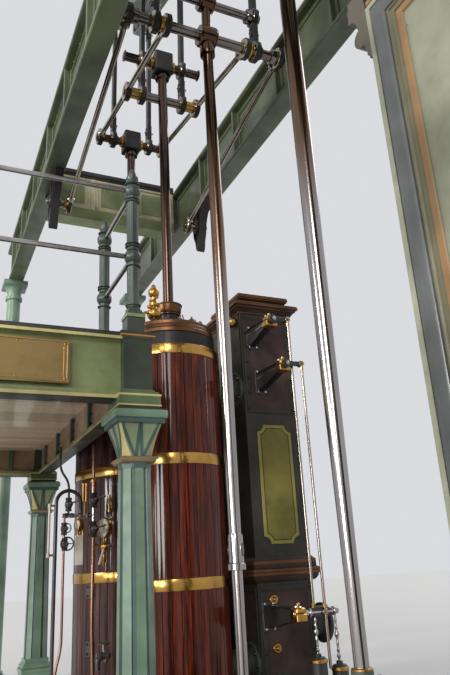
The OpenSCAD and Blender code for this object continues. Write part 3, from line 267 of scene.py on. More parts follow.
def box(lo, hi, bevel=0.0, finish=0):
    """A box between two corners, as a prism of its plan; the plan's corners are cut by the bevel."""
    lo, hi = np.minimum(lo, hi).astype(float), np.maximum(lo, hi).astype(float)
    w, d, h = hi - lo
    b = min(bevel, 0.45 * min(w, d, h))
    if b:
        plan = [(b, 0), (w - b, 0), (w, b), (w, d - b), (w - b, d), (b, d), (0, d - b), (0, b)]
    else:
        plan = [(0, 0), (w, 0), (w, d), (0, d)]
    return prism(plan, h, finish, b).moved(lo)


def sweep(path, outline, close=False, finish=0):
    """Carries an outline along a path. At each point the outline stands square to the mean of the
    two directions there, and its frame is turned as little as possible from the one before."""
    p = np.asarray(path, float)
    o = np.asarray(outline, float)
    if close:
        t = np.roll(p, -1, 0) - np.roll(p, 1, 0)
    else:
        t = np.gradient(p, axis=0)
    t /= np.linalg.norm(t, axis=1)[:, None]
    u = np.zeros_like(p)
    ref = np.array([0, 0, 1.0]) if abs(t[0][2]) < 0.9 else np.array([1.0, 0, 0])
    first = np.cross(ref, t[0])
    u[0] = first / np.linalg.norm(first)
    for i in range(1, len(p)):
        v = u[i - 1] - t[i] * np.dot(u[i - 1], t[i])
        u[i] = v / np.linalg.norm(v)
    w = np.cross(t, u)
    pts = p[:, None, :] + u[:, None, :] * o[None, :, 0:1] + w[:, None, :] * o[None, :, 1:2]
    rows, n = len(p), len(o)
    faces = {4: grid_faces(rows, n, close_rows=close, close_columns=True)}
    if not close and n > 4:
        faces[n] = np.array([np.arange(n)[::-1], (rows - 1) * n + np.arange(n)])
    return Form(pts.reshape(-1, 3), faces, finish)


def circle(radius, sides=16, start=0.0):
    """Points round a circle."""
    a = math.radians(start) + np.arange(sides) * 2 * math.pi / sides
    return np.stack([radius * np.cos(a), radius * np.sin(a)], 1)


def pipe(path, radius, sides=16, finish=0):
    """A round section carried along a path."""
    return sweep(path, circle(radius, sides), finish=finish)


def bend(points, radius, steps=8):
    """A path through the points whose corners are rounded by quadratic curves of about the radius."""
    p = np.asarray(points, float)
    out = [p[0]]
    for a, b, c in zip(p[:-2], p[1:-1], p[2:]):
        r1, r2 = min(radius, np.linalg.norm(b - a) / 2), min(radius, np.linalg.norm(c - b) / 2)
        s, e = b + (a - b) / np.linalg.norm(a - b) * r1, b + (c - b) / np.linalg.norm(c - b) * r2
        k = np.linspace(0, 1, steps)[:, None]
        out.extend((1 - k) ** 2 * s + 2 * k * (1 - k) * b + k ** 2 * e)
    out.append(p[-1])
    return np.array(out)


def moulding(wx, wy, profile, finish=0, closed=True):
    """Carries (projection, height) round a rectangle of the given widths, centred on the axis: each
    corner is pushed out along both axes by the projection, which mitres it."""
    prof = np.asarray(profile, float)
    sx, sy = np.array([1, 1, -1, -1]), np.array([-1, 1, 1, -1])
    out, z = prof[:, 0:1], prof[:, 1:2]
    pts = np.stack([sx * (wx / 2 + out), sy * (wy / 2 + out), z + 0 * sx], -1)
    rows = len(prof)
    faces = grid_faces(rows, 4, close_columns=True)
    if closed:
        ring = np.arange(4)
        faces = np.concatenate([faces, [ring[::-1], (rows - 1) * 4 + ring]])
    return Form(pts.reshape(-1, 3), {4: faces}, finish)


def square(width, profile, finish=0):
    """A moulding round a square."""
    return moulding(width, width, profile, finish)


def ball(radius, sides=24, rings=13, finish=0):
    """A lathe of a half circle."""
    a = np.linspace(0, math.pi, rings)
    return lathe(np.stack([radius * np.sin(a), -radius * np.cos(a)], 1), sides, finish)


# %% [markdown]
# ## Into Blender
#
# The arrays go into a mesh in one step. Faces sharper than 35 degrees keep a hard edge, which is
# what turned and cast work shows. A piece that stands for CAD nodes hides them, and every piece
# rides on the engine's one body.

# %% Make a piece
SHARP_FROM = 35.0


def piece(name, form, materials, replaces=()):
    """Writes the points, the faces' corners and their finish numbers into a mesh, all as arrays."""
    mesh = bpy.data.meshes.new(name)
    corners = np.concatenate([f.ravel() for f in form.faces.values()])
    totals = np.concatenate([np.full(len(f), n) for n, f in form.faces.items()])
    finish = np.concatenate([form.finish[n] for n in form.faces])
    mesh.vertices.add(len(form.points))
    mesh.vertices.foreach_set("co", form.points.astype(np.float32).ravel())
    mesh.loops.add(len(corners))
    mesh.loops.foreach_set("vertex_index", corners.astype(np.int32))
    mesh.polygons.add(len(totals))
    mesh.polygons.foreach_set("loop_start", (np.cumsum(totals) - totals).astype(np.int32))
    mesh.polygons.foreach_set("loop_total", totals.astype(np.int32))
    mesh.polygons.foreach_set("material_index", finish.astype(np.int32))
    mesh.update(calc_edges=True)
    if form.tone.any():
        mesh.attributes.new("tone", "FLOAT", "POINT").data.foreach_set("value", form.tone.astype(np.float32))
    mesh.validate()
    mesh.set_sharp_from_angle(angle=math.radians(SHARP_FROM))
    obj = bpy.data.objects.new(name, mesh)
    bpy.context.scene.collection.objects.link(obj)
    for m in materials if isinstance(materials, (list, tuple)) else [materials]:
        mesh.materials.append(m)
    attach(obj, "root")
    if replaces:
        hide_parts(*replaces)
    return obj


# %% [markdown]
# ## Shader maths in plain expressions
#
# A socket is wrapped so that ordinary sums and products of values add Math nodes. Colours are
# mixed by their own nodes, because a Math node would turn them grey.

# %% Socket and shader classes
class Value:
    """A socket that carries numbers. Its operators add Math nodes."""

    def __init__(self, shader, socket):
        self.shader, self.socket = shader, socket

    def _math(self, operation, other):
        return self.shader.node("ShaderNodeMath", {"operation": operation}, [self, other])

    def __add__(self, o): return self._math("ADD", o)
    def __radd__(self, o): return self._math("ADD", o)
    def __sub__(self, o): return self._math("SUBTRACT", o)
    def __mul__(self, o): return self._math("MULTIPLY", o)

    def between(self, lo, hi, to_lo=0.0, to_hi=1.0):
        """A smooth step from to_lo at lo to to_hi at hi."""
        return self.shader.node("ShaderNodeMapRange", {"interpolation_type": "SMOOTHSTEP"},
            [self, lo, hi, to_lo, to_hi])


class Shader:
    """A material whose Principled shader is set by name, with nodes added by one method."""

    def __init__(self, name, **sockets):
        self.material = bpy.data.materials.new(name)
        self.material.use_nodes = True
        self.tree = self.material.node_tree
        self.principled = self.tree.nodes["Principled BSDF"]
        for socket, value in sockets.items():
            self.set(socket.replace("_", " "), value)
        self.object_place = self.node("ShaderNodeTexCoord", {}, [], "Object")

    def node(self, kind, settings, inputs, output=0):
        """Adds a node, sets its settings, then its inputs by order or by name, and wraps an output."""
        n = self.tree.nodes.new(kind)
        for key, value in settings.items():
            setattr(n, key, value)
        pairs = inputs.items() if isinstance(inputs, dict) else enumerate(inputs)
        for key, value in pairs:
            if value is None:
                continue
            if isinstance(value, Value):
                self.tree.links.new(value.socket, n.inputs[key])
            else:
                n.inputs[key].default_value = value
        return Value(self, n.outputs[output])

    def set(self, socket, value):
        """Sets or links one socket of the Principled shader."""
        target = self.principled.inputs[socket]
        if isinstance(value, Value):
            self.tree.links.new(value.socket, target)
        else:
            target.default_value = (*value, 1.0) if isinstance(value, tuple) and len(value) == 3 else value

    def mapped(self, scale):
        """Object place, scaled for a pattern."""
        return self.node("ShaderNodeMapping", {}, {"Vector": self.object_place, "Scale": scale})

    def noise(self, scale, detail=4.0, rough=0.55, stretch=(1, 1, 1)):
        """Noise from 0 to 1 over the object's place, drawn out where the stretch is small."""
        place = self.mapped(stretch) if stretch != (1, 1, 1) else self.object_place
        return self.node("ShaderNodeTexNoise", {}, {"Vector": place, "Scale": scale, "Detail": detail,
                                                   "Roughness": rough}, "Fac")

    def axis(self, which):
        """One coordinate of the object's place."""
        return self.node("ShaderNodeSeparateXYZ", {}, [self.object_place], which)

    def attribute(self, name):
        """A number kept on the points of the piece."""
        return self.node("ShaderNodeAttribute", {"attribute_name": name}, [], "Fac")

    def mix(self, factor, a, b):
        """Mixes two colours."""
        n = self.tree.nodes.new("ShaderNodeMix")
        n.data_type = "RGBA"
        for index, value in ((0, factor), (6, a), (7, b)):
            if isinstance(value, Value):
                self.tree.links.new(value.socket, n.inputs[index])
            else:
                n.inputs[index].default_value = (*value, 1.0) if isinstance(value,
                    tuple) and len(value) == 3 else value
        return Value(self, n.outputs[2])

    def bump(self, height, strength=0.3, distance=0.01):
        """Turns a height into a normal and feeds it to the shader."""
        n = self.node("ShaderNodeBump", {}, {"Strength": strength, "Distance": distance, "Height": height},
            "Normal")
        self.set("Normal", n)


# %% [markdown]
# ## Gloss paint on cast iron
#
# The frame, beams and columns are cast iron under many coats of gloss oil paint. The castings are
# slightly rough under the paint, the paint is uneven in tone, and dust and oil darken it in
# patches. One recipe takes the colour, and the tones come from noise at three sizes.

# %% Paint
def paint(name, colour, dirt=(0.05, 0.045, 0.03), dirt_amount=0.35, rough=0.32, wear=0.12,
        worn=(0.16, 0.12, 0.08), shine=1.0):
    """Colour times a slow change of tone, mixed towards dirt in patches and towards bare metal in chips."""
    s = Shader(name, Base_Color=colour, Coat_Weight=0.18 * shine, Coat_Roughness=0.14, IOR=1.45,
        Specular_IOR_Level=0.5 * shine)
    broad, patch, fine = s.noise(1.3, 5), s.noise(6.0, 6, 0.62), s.noise(55.0, 3)
    light = tuple(min(1.0, c * 1.35 + 0.015) for c in colour)
    dark = tuple(c * 0.62 for c in colour)
    tone = s.mix(broad.between(0.3, 0.7), dark, light)
    soiled = s.mix(patch.between(0.5, 0.78) * dirt_amount, tone, dirt)
    chips = s.noise(19.0, 8, 0.7).between(0.66, 0.7) * wear
    s.set("Base Color", s.mix(chips, soiled, worn))
    s.set("Roughness", rough + patch.between(0.35, 0.75) * 0.22 + fine * 0.06)
    s.bump(broad * 0.6 + patch * 0.8 + fine * 0.25, 0.22, 0.006)
    return s.material


frame_green = paint("frame_green", (0.088, 0.108, 0.056))
great_beam_green = paint("great_beam_green", (0.085, 0.14, 0.062), dirt_amount=0.25)
stand_green = paint("stand_green", (0.058, 0.09, 0.05))
wheel_green = paint("wheel_green", (0.07, 0.115, 0.055))
column_green = paint("column_green", (0.15, 0.235, 0.165), dirt_amount=0.2)
moss_green = paint("moss_green", (0.19, 0.225, 0.09), dirt_amount=0.5)
post_green = paint("post_green", (0.036, 0.054, 0.04), dirt_amount=0.35)
pillar_green = paint("pillar_green", (0.205, 0.215, 0.148), dirt_amount=0.3)
cream = paint("cream", (0.46, 0.42, 0.27), dirt_amount=0.35)
chest_black = paint("chest_black", (0.024, 0.021, 0.016), rough=0.34, dirt_amount=0.5, shine=0.5)
cornice_brown = paint("cornice_brown", (0.034, 0.016, 0.009), rough=0.34, dirt_amount=0.4, shine=0.35)
black_iron = paint("black_iron", (0.017, 0.015, 0.014), rough=0.32, dirt_amount=0.2, shine=0.5)
pump_green = paint("pump_green", (0.035, 0.052, 0.04), rough=0.36)
pipe_dark = paint("pipe_dark", (0.04, 0.032, 0.027), rough=0.36, shine=0.5)
groove_green = paint("groove_green", (0.052, 0.1, 0.085), dirt_amount=0.2)
cream_line = paint("cream_line", (0.48, 0.42, 0.17), dirt_amount=0.3)
neck_brown = paint("neck_brown", (0.2, 0.135, 0.08), dirt_amount=0.3)
flange_black = paint("flange_black", (0.03, 0.031, 0.027), rough=0.4, dirt_amount=0.3, shine=0.5)
block_green = paint("block_green", (0.036, 0.048, 0.032), dirt_amount=0.5, shine=0.5)
base_green = paint("base_green", (0.075, 0.115, 0.05), dirt_amount=0.25)
orange_line = paint("orange_line", (0.38, 0.17, 0.05), dirt_amount=0.25)
post_base_grey = paint("post_base_grey", (0.032, 0.038, 0.03), dirt_amount=0.25)
# Nearly black green for the recessed steps over the column's abacus: painted shade.
recess_shade_green = paint("recess_shade_green", (0.026, 0.033, 0.022), dirt_amount=0.3)

# %% [markdown]
# ## Bright metal
#
# Rods and rails are turned steel kept bright with oily rags. The turning leaves faint rings, and
# the oil leaves brown and grey clouds that are drawn out along the bar. The darkening towards the
# top of the pump rods, and the dark steel of links, pins and piston rods, are painted dark
# reflections.

# %% Steel and brass
def steel(name, colour=(0.46, 0.45, 0.45), stain=(0.22, 0.14, 0.1), amount=0.5, rough=0.17, along=(1, 1, 0.05),
        reach=None, painted_top_reflection=(0.09, 0.055, 0.035)):
    """Metal whose colour drifts towards the stain in long clouds, rougher where it is stained. Between
    the two heights given by reach it darkens through the stain to a painted dark reflection, and
    stays so above them."""
    s = Shader(name, Metallic=1.0)
    clouds = s.noise(9.0, 5, 0.6, stretch=along)
    specks = s.noise(120.0, 2)
    base = s.mix(clouds.between(0.42, 0.75) * amount, colour, stain)
    if reach:
        height = s.axis("Z") + (clouds - 0.5) * 1.2
        base = s.mix(height.between(reach[0], (reach[0] + reach[1]) / 2), base, stain)
        base = s.mix(height.between((reach[0] + reach[1]) / 2, reach[1]), base, painted_top_reflection)
    s.set("Base Color", base)
    s.set("Roughness", rough + clouds.between(0.4, 0.8) * 0.14 + specks * 0.04)
    s.bump(s.noise(90.0, 2, stretch=(0.6, 0.6, 1)), 0.012, 0.001)
    return s.material


def brass(name, colour=(0.62, 0.38, 0.1), dull=(0.3, 0.16, 0.045), amount=0.5, rough=0.18):
    """Brass that has dulled in clouds and fine spots."""
    s = Shader(name, Metallic=1.0)
    clouds, spots = s.noise(5.0, 5, 0.6), s.noise(60.0, 4, 0.6)
    s.set("Base Color", s.mix((clouds.between(0.4, 0.7) * 0.7 + spots.between(0.55, 0.7) * 0.3) * amount,
        colour, dull))
    s.set("Roughness", rough + clouds * 0.12 + spots.between(0.5, 0.8) * 0.1)
    s.bump(spots * 0.3 + clouds, 0.03, 0.002)
    return s.material


bright_steel = steel("bright_steel")
# Pump rod steel, darker towards the top as a painted dark reflection.
rod_steel = steel("rod_steel", (0.37, 0.35, 0.35), (0.17, 0.105, 0.07), 0.5, 0.12, reach=(3.4, 5.6))
# Steel for links, pins, keys and straps, darkened all over as a painted dark reflection; its brown clouds are
# oil.
steel_painted_dark_reflection = steel("steel_painted_dark_reflection", (0.2, 0.18, 0.165), (0.1, 0.065, 0.045), 0.6, 0.12)
bar_steel = steel("bar_steel", (0.34, 0.31, 0.27), (0.2, 0.13, 0.08), 0.6, 0.15)
# Piston rod steel, nearly black as a painted dark reflection.
piston_steel_dark_reflection = steel("piston_steel_dark_reflection", (0.095, 0.07, 0.058), (0.08, 0.036, 0.018), 0.7, 0.1)
dark_steel = steel("dark_steel", colour=(0.11, 0.1, 0.095), stain=(0.06, 0.038, 0.024), rough=0.22)
band_brass = brass("band_brass", (0.5, 0.29, 0.075), (0.22, 0.11, 0.028), 0.6, 0.12)
gear_brass = brass("gear_brass", (0.5, 0.29, 0.075), (0.2, 0.105, 0.03), 0.7, 0.24)
bronze_rim = brass("bronze_rim", (0.17, 0.085, 0.042), (0.065, 0.03, 0.016), 0.8, 0.3)
plate_brass = brass("plate_brass", (0.33, 0.235, 0.1), (0.2, 0.14, 0.06), 0.6, 0.36)


# %% [markdown]
# ## Varnished wood
#
# Both cylinders are lagged with upright hardwood staves under brass bands. Each stave was cut from
# another plank, so the grain shifts and the tone steps from one to the next. The tone is kept on
# the points of the staves, and the grain is noise drawn out upwards.

# %% Wood
def wood(name, light, dark, gloss=0.16):
    """Two colours mixed by drawn-out noise and by the tone of each stave, under a coat of varnish."""
    s = Shader(name, Coat_Weight=0.5, Coat_Roughness=0.07, IOR=1.38, Specular_IOR_Level=0.1)
    tone = s.attribute("tone")
    shifted = s.node("ShaderNodeVectorMath", {"operation": "ADD"},
        [s.mapped((9, 9, 0.55)), s.node("ShaderNodeCombineXYZ", {}, [tone * 31.0, tone * 17.0, tone * 11.0])])
    grain = s.node("ShaderNodeTexNoise", {}, {"Vector": shifted, "Scale": 3.2, "Detail": 8.0,
        "Roughness": 0.62, "Distortion": 0.4}, "Fac")
    pores = s.noise(34.0, 4, 0.6, stretch=(6, 6, 0.35))
    base = s.mix(grain.between(0.36, 0.72), dark, light)
    s.set("Base Color", s.mix((tone - 0.5) * 0.9 + pores.between(0.5, 0.8) * 0.35, base,
        tuple(c * 0.42 for c in dark)))
    s.set("Roughness", gloss + pores * 0.16 + grain * 0.08)
    s.bump(pores * 0.4 + grain, 0.16, 0.004)
    return s.material


high_wood = wood("high_wood", (0.19, 0.024, 0.004), (0.026, 0.0035, 0.0015), gloss=0.3)
low_wood = wood("low_wood", (0.1, 0.046, 0.036), (0.034, 0.014, 0.012), gloss=0.3)

# %% [markdown]
# ## Finishes for the nodes that stay
#
# A CAD node whose shape is right keeps it and only gets its finish. All the others are covered by
# a dressed piece further down.

# %% Give the nodes their finishes
node_finish = {
    "bedplate": black_iron, "high_cylinder": black_iron, "low_cylinder": black_iron,
    "high_valve_chest": chest_black, "low_valve_chest": chest_black, "steam_pipes": pipe_dark,
    "gallery_rails": bright_steel, "girder_posts": column_green,
    "trunnion_girder": frame_green, "trunnion_stands": frame_green, "beam": great_beam_green,
    "lift_pump": pump_green, "force_pump": pump_green, "connecting_rod": great_beam_green,
    "crankshaft": bright_steel, "flywheel": wheel_green, "crankshaft_stands": stand_green,
}
for name, material in node_finish.items():
    nodes[name].data.materials.clear()
    nodes[name].data.materials.append(material)

# %% [markdown]
# ## Places taken from the frame
#
# Most dressed pieces take their place and size from the box of the CAD node that they cover, so a
# change in the CAD moves that dressing with it.

# %% Boxes, rings of copies and finishes
def low_high(name):
    """The lowest and highest corner of a node, as arrays."""
    lo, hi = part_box(name)
    return np.array(lo, float), np.array(hi, float)


def round_node(name):
    """Centre x and y, radius, bottom and top of a node that stands round an upright axis."""
    lo, hi = low_high(name)
    return (lo + hi)[:2] / 2, (hi[0] - lo[0]) / 2, lo[2], hi[2]


def around(form, count, start=0.0, tones=None):
    """The form turned about z in equal steps. All copies' points come from one product of the turn
    matrices and the points."""
    a = math.radians(start) + np.arange(count) * 2 * math.pi / count
    c, s, o = np.cos(a), np.sin(a), np.zeros(count)
    turns = np.stack([np.stack([c, -s, o], 1), np.stack([s, c, o], 1), np.stack([o, o, o + 1], 1)], 1)
    ring = copies(form, np.zeros((count, 3)))
    ring.points = np.einsum("kij,nj->kni", turns, form.points).reshape(-1, 3)
    if tones is not None:
        ring.tone = np.repeat(np.asarray(tones, float), len(form.points))
    return ring


def scatter(count, seed):
    """Numbers between 0 and 1 that look random and are the same in every run."""
    return np.random.default_rng(seed).random(count)


def nut(across, height, finish=0, start=0.0):
    """A six-sided nut standing on z = 0, its top corners turned off, with the bolt's end above it."""
    r = across / 2 / math.cos(math.pi / 6)
    body = solid([(r, 0), (r, height * 0.82), (r * 0.88, height)], 6, finish, start)
    end = solid([(across * 0.28, 0), (across * 0.28, height * 1.3), (across * 0.2, height * 1.45)], 8, finish)
    return join([body, end])


def mirrored(form, axis=0):
    """The form's mirror image: one coordinate changes sign and each face runs the other way round."""
    new = form.moved()
    new.points = new.points * np.where(np.arange(3) == axis, -1.0, 1.0)
    new.faces = {n: f[:, ::-1] for n, f in form.faces.items()}
    return new


(high_x, high_y), high_r, high_z0, high_z1 = round_node("high_lagging")
(low_x, low_y), low_r, low_z0, low_z1 = round_node("low_lagging")
print("cylinders at y", round(high_y, 3), round(low_y, 3))

# %% [markdown]
# ## Staves round the cylinders
#
# The lagging is a barrel of upright staves. One stave is a prism whose outer face is slightly
# crowned and whose long edges are eased, so a fine dark joint shows between neighbours and each
# stave catches its own line of light. The ring is one stave turned in equal steps, with a tone for
# each, because each was cut from another plank.

# %% Staves
def stave_ring(radius, thickness, z0, z1, width, seed):
    """Staves of about the given width. In plan the outer face is an arc through the edges and a
    crown 1.5 mm proud of them, and the joints are V cuts 5 mm deep."""
    count = int(round(2 * math.pi * radius / width))
    half = math.pi / count
    edge, ease = 0.0011 / radius, 0.0042 / radius
    t = np.linspace(-1, 1, 7)
    face = np.stack([radius - 0.0016 * t ** 2, t * (half - ease)], 1)
    rim = np.array([[radius - 0.006, half - edge], [radius - thickness, half - edge],
                    [radius - thickness, -half + edge], [radius - 0.006, -half + edge]])
    plan = np.concatenate([face, rim])
    outline = np.stack([plan[:, 0] * np.cos(plan[:, 1]), plan[:, 0] * np.sin(plan[:, 1])], 1)
    one = prism(outline, z1 - z0)
    return around(one, count, tones=scatter(count, seed)).moved((0, 0, z0))


stave_t = 0.02
high_staves = stave_ring(high_r, stave_t, high_z0, high_z1, 0.089, 3).moved((high_x, high_y, 0))
low_staves = stave_ring(low_r, stave_t, low_z0, low_z1, 0.09, 5).moved((low_x, low_y, 0))
piece("high_staves", high_staves, high_wood, replaces=["high_lagging"])
piece("low_staves", low_staves, low_wood, replaces=["low_lagging"])
print("staves:", len(high_staves.points), len(low_staves.points))

# %% [markdown]
# ## Brass bands
#
# Four bands hold each barrel of staves. Their edges are rounded, and the ends meet under a small
# clasp with two screws. A lathe profile with quarter rounds gives the band.

# %% Bands
band_hi = low_high("cylinder_bands")[1]
band_height = 0.105
high_shares, low_shares = (0, 0.32, 0.664, 1), (0, 0.347, 0.684, 1)
band_t = band_hi[0] - low_r - 0.0004


def band(radius):
    """A band's section: flat outside, rounded edges, closed against the wood."""
    a = np.linspace(0, math.pi / 2, 4)
    round_r = 0.004
    low = np.stack([radius + band_t - round_r + round_r * np.sin(a), round_r - round_r * np.cos(a)], 1)
    high = np.stack([low[::-1, 0], band_height - low[::-1, 1]], 1)
    inner = radius + 0.0004
    return lathe(np.concatenate([[(inner, 0)], low, high, [(inner, band_height)], [(inner, 0)]]), 144)


def clasp(radius, turn):
    """Two lugs with a screw through them, at one place on a band."""
    lug = box((0, -0.011, 0.014), (0.026, 0.011, band_height - 0.014), 0.003)
    pair = join([lug.moved((radius + band_t - 0.002, s * 0.02, 0)) for s in (-1, 1)])
    screws = join([rod((radius + 0.018, -0.05, z), (radius + 0.018, 0.05, z), 0.006, 10, bevel=0.001)
        for z in (0.035, 0.07)])
    return join([pair, screws]).moved(turn=spin(turn))


bands = []
for x, y, r, z0, z1, turn, shares in ((high_x, high_y, high_r, high_z0, high_z1, 150, high_shares),
                                      (low_x, low_y, low_r, low_z0, low_z1, 62, low_shares)):
    for share in shares:
        z = z0 + share * (z1 - z0 - band_height)
        bands += [band(r).moved((x, y, z)), clasp(r, turn).moved((x, y, z))]
piece("brass_bands", join(bands), band_brass, replaces=["cylinder_bands"])

# %% [markdown]
# ## Cylinder covers
#
# Above the wood stands a black iron flange, then the cover's bronze coloured rim with its
# mouldings, a ring of nuts, a low dome and the stuffing box, which ends in an open bowl. These are
# lathe profiles one inside the other. A tall oil vessel, a tallow cup and a bent handle stand on
# each cover.

# %% Covers
def cover(radius, z0, z1, rod_r):
    """Finishes: 0 black flange, 1 bright rim, 2 brass, 3 nuts. The stuffing box ends in an open bowl,
    whose side is a quarter of an ellipse."""
    h = z1 - z0
    rim, top = h * 0.33, h * 0.6
    neck, bowl = rod_r + 0.062, rod_r + 0.088
    flange = solid([(radius - 0.03, 0), (radius - 0.025, 0.006), (radius - 0.025, rim - 0.03),
        (radius - 0.034, rim - 0.018)], 96)
    edge = [(0, rim - 0.018), (radius - 0.034, rim - 0.018), (radius - 0.026, rim - 0.012),
        (radius - 0.026, rim + 0.022), (radius - 0.034, rim + 0.03), (radius - 0.038, rim + 0.04),
        (radius - 0.036, rim + 0.062), (radius - 0.042, rim + 0.074), (radius - 0.05, rim + 0.08),
        (radius - 0.05, top - 0.022), (radius - 0.058, top - 0.012), (radius - 0.12, top - 0.012),
        (radius - 0.13, top - 0.024), (neck + 0.16, top - 0.024), (neck + 0.13, top - 0.004),
        (neck + 0.05, top), (0, top)]
    bright = lathe(edge, 96, 1)
    stem = solid([(neck + 0.03, top - 0.01), (neck + 0.03, top + 0.022), (neck, top + 0.035),
        (neck, h * 0.98)], 48, 0)
    a = np.linspace(0, math.pi / 2, 7)
    side = np.stack([neck + 0.004 + (bowl - neck - 0.004) * np.sin(a), h * 1.2 - h * 0.2 * np.cos(a)], 1)
    lip = [(bowl + 0.008, h * 1.205), (bowl + 0.01, h * 1.225), (bowl + 0.002, h * 1.24),
        (bowl - 0.008, h * 1.225)]
    dish = lathe(np.concatenate([[(0, h * 0.97), (neck + 0.02, h * 0.97), (neck + 0.02, h * 0.99)], side, lip,
        [(neck - 0.006, h * 1.1), (rod_r + 0.022, h * 1.08), (rod_r + 0.022, h * 1.15),
        (rod_r + 0.003, h * 1.15), (rod_r + 0.003, h * 1.02), (0, h * 1.02)]]), 48, 1)
    count = max(12, int(round(radius * 2 * math.pi / 0.17)))
    nuts = around(nut(0.046, 0.03, 3).moved((radius - 0.098, 0, top - 0.014)), count)
    studs = around(nut(0.03, 0.024, 2).moved((rod_r + 0.045, 0, h * 1.06)), 4, 45)
    return join([flange, bright, stem, dish, nuts, studs])


def tallow_cup():
    """A lubricating cup on a cock: turned bowl, plug with a handle, and a bent neck."""
    bowl = lathe([(0, 0), (0.016, 0), (0.02, 0.01), (0.012, 0.02), (0.012, 0.05), (0.03, 0.062), (0.046, 0.09),
        (0.05, 0.125), (0.044, 0.13), (0.04, 0.128), (0.022, 0.14), (0.01, 0.15), (0.014, 0.165),
        (0.008, 0.178), (0, 0.18)], 20)
    plug = rod((-0.05, 0, 0.036), (0.05, 0, 0.036), 0.013, 12, bevel=0.003)
    handle = rod((0.045, 0, 0.036), (0.075, 0, 0.075), 0.007, 8, bevel=0.002)
    side = lathe([(0, 0), (0.014, 0), (0.014, 0.05), (0.022, 0.055), (0.022, 0.075), (0, 0.08)],
        12).moved((0, 0, 0.036), tip(75))
    return join([bowl, plug, handle, side])


def lubricator():
    """The tall oil vessel: a turned body of three bulbs on a foot, a cock through its waist and a
    bent pipe at its side."""
    body = lathe([(0, 0), (0.05, 0), (0.052, 0.012), (0.03, 0.026), (0.026, 0.05), (0.052, 0.075),
        (0.062, 0.105), (0.054, 0.135), (0.028, 0.152), (0.024, 0.17), (0.036, 0.18), (0.04, 0.2),
        (0.03, 0.222), (0.022, 0.235), (0.024, 0.255), (0.042, 0.275), (0.047, 0.305), (0.038, 0.33),
        (0.016, 0.345), (0.02, 0.356), (0.012, 0.372), (0, 0.376)], 28)
    cock_plug = join([rod((-0.065, 0, 0.16), (0.065, 0, 0.16), 0.015, 14, bevel=0.004),
        rod((0.055, 0, 0.15), (0.062, 0, 0.215), 0.008, 10, bevel=0.003),
        rod((0, -0.055, 0.245), (0, 0.055, 0.245), 0.011, 12, bevel=0.003)])
    spout = pipe(bend([(-0.03, 0, 0.105), (-0.105, 0, 0.105), (-0.105, 0, -0.02)], 0.03, 6), 0.011, 10)
    return join([body, cock_plug, spout])


gland_r = 0.055
for side, x, y, r in (("high", high_x, high_y, high_r), ("low", low_x, low_y, low_r)):
    lo, hi = low_high(side + "_cover")
    top = (hi[2] - lo[2]) * 0.6
    turned = spin(0 if side == "high" else 140)
    vessels = join([lubricator().moved((-0.245, -0.215, top - 0.03), spin(20), 1.28),
        tallow_cup().moved((0.21, -0.16, top - 0.01), spin(200), 0.9)])
    handle = pipe(bend([(0.13, -0.02, top - 0.01), (0.185, -0.02, top + 0.1), (0.155, -0.02, top + 0.22)],
        0.05, 6), 0.008, 8, 3)
    parts = [cover(r, lo[2], hi[2], gland_r), vessels.painted(2), handle]
    piece(side + "_cover_dressed", join(parts).moved(turn=turned).moved((x, y, lo[2])),
        [black_iron, bronze_rim, gear_brass, dark_steel], replaces=[side + "_cover"])

# %% [markdown]
# ## Gallery columns
#
# Each column is a casting in three parts: a square pedestal, an eight-sided tapering shaft with a
# hollow groove on each corner, and a flared capital that turns the octagon into a square. The
# capital's faces carry a raised zigzag. The painter picked the parts out: pale green faces,
# blue-green grooves and zigzags, cream corners and a brown neck ring. Over the abacus stand a
# recessed step painted nearly black as painted shade, a cream line and a plain block.

# %% Columns
PALE, GROOVE, CREAM_LINE, BROWN, RECESS_SHADE, HEAD, FIELD = range(7)


def shaft_rings(width0, width1, z0, z1, groove_r, rows=2):
    """An octagon whose corners are cut by round grooves, tapering evenly upwards. Flats are one
    finish and grooves another, by the place of each face in the section."""
    steps = 7
    corner = width0 / 2 / math.cos(math.pi / 8)
    reach = groove_r / corner * 1.02
    a = np.linspace(-1, 1, steps)
    hollow_a = a * reach
    depth = groove_r * 0.8 * np.sqrt(np.maximum(0, 1 - a ** 2))
    edge_r = width0 / 2 / np.cos(math.pi / 8 - np.abs(hollow_a))
    rr = np.where(np.abs(a) > 0.99, edge_r, edge_r - depth - 0.002)
    k = np.arange(8)[:, None]
    ang = (hollow_a[None] + math.pi / 8 + k * math.pi / 4).ravel()
    rad = np.tile(rr, 8)
    section = np.stack([rad * np.cos(ang), rad * np.sin(ang)], 1)
    n = len(section)
    scale = np.linspace(1, width1 / width0, rows)
    z = np.linspace(z0, z1, rows)
    pts = np.concatenate([np.column_stack([section * s, np.full(n, h)]) for s, h in zip(scale, z)])
    form = Form(pts, {4: grid_faces(rows, n, close_columns=True)})
    on_groove = np.tile((np.arange(n) % steps) < steps - 1, rows - 1)
    form.finish[4] = np.where(on_groove, GROOVE, PALE)
    return form


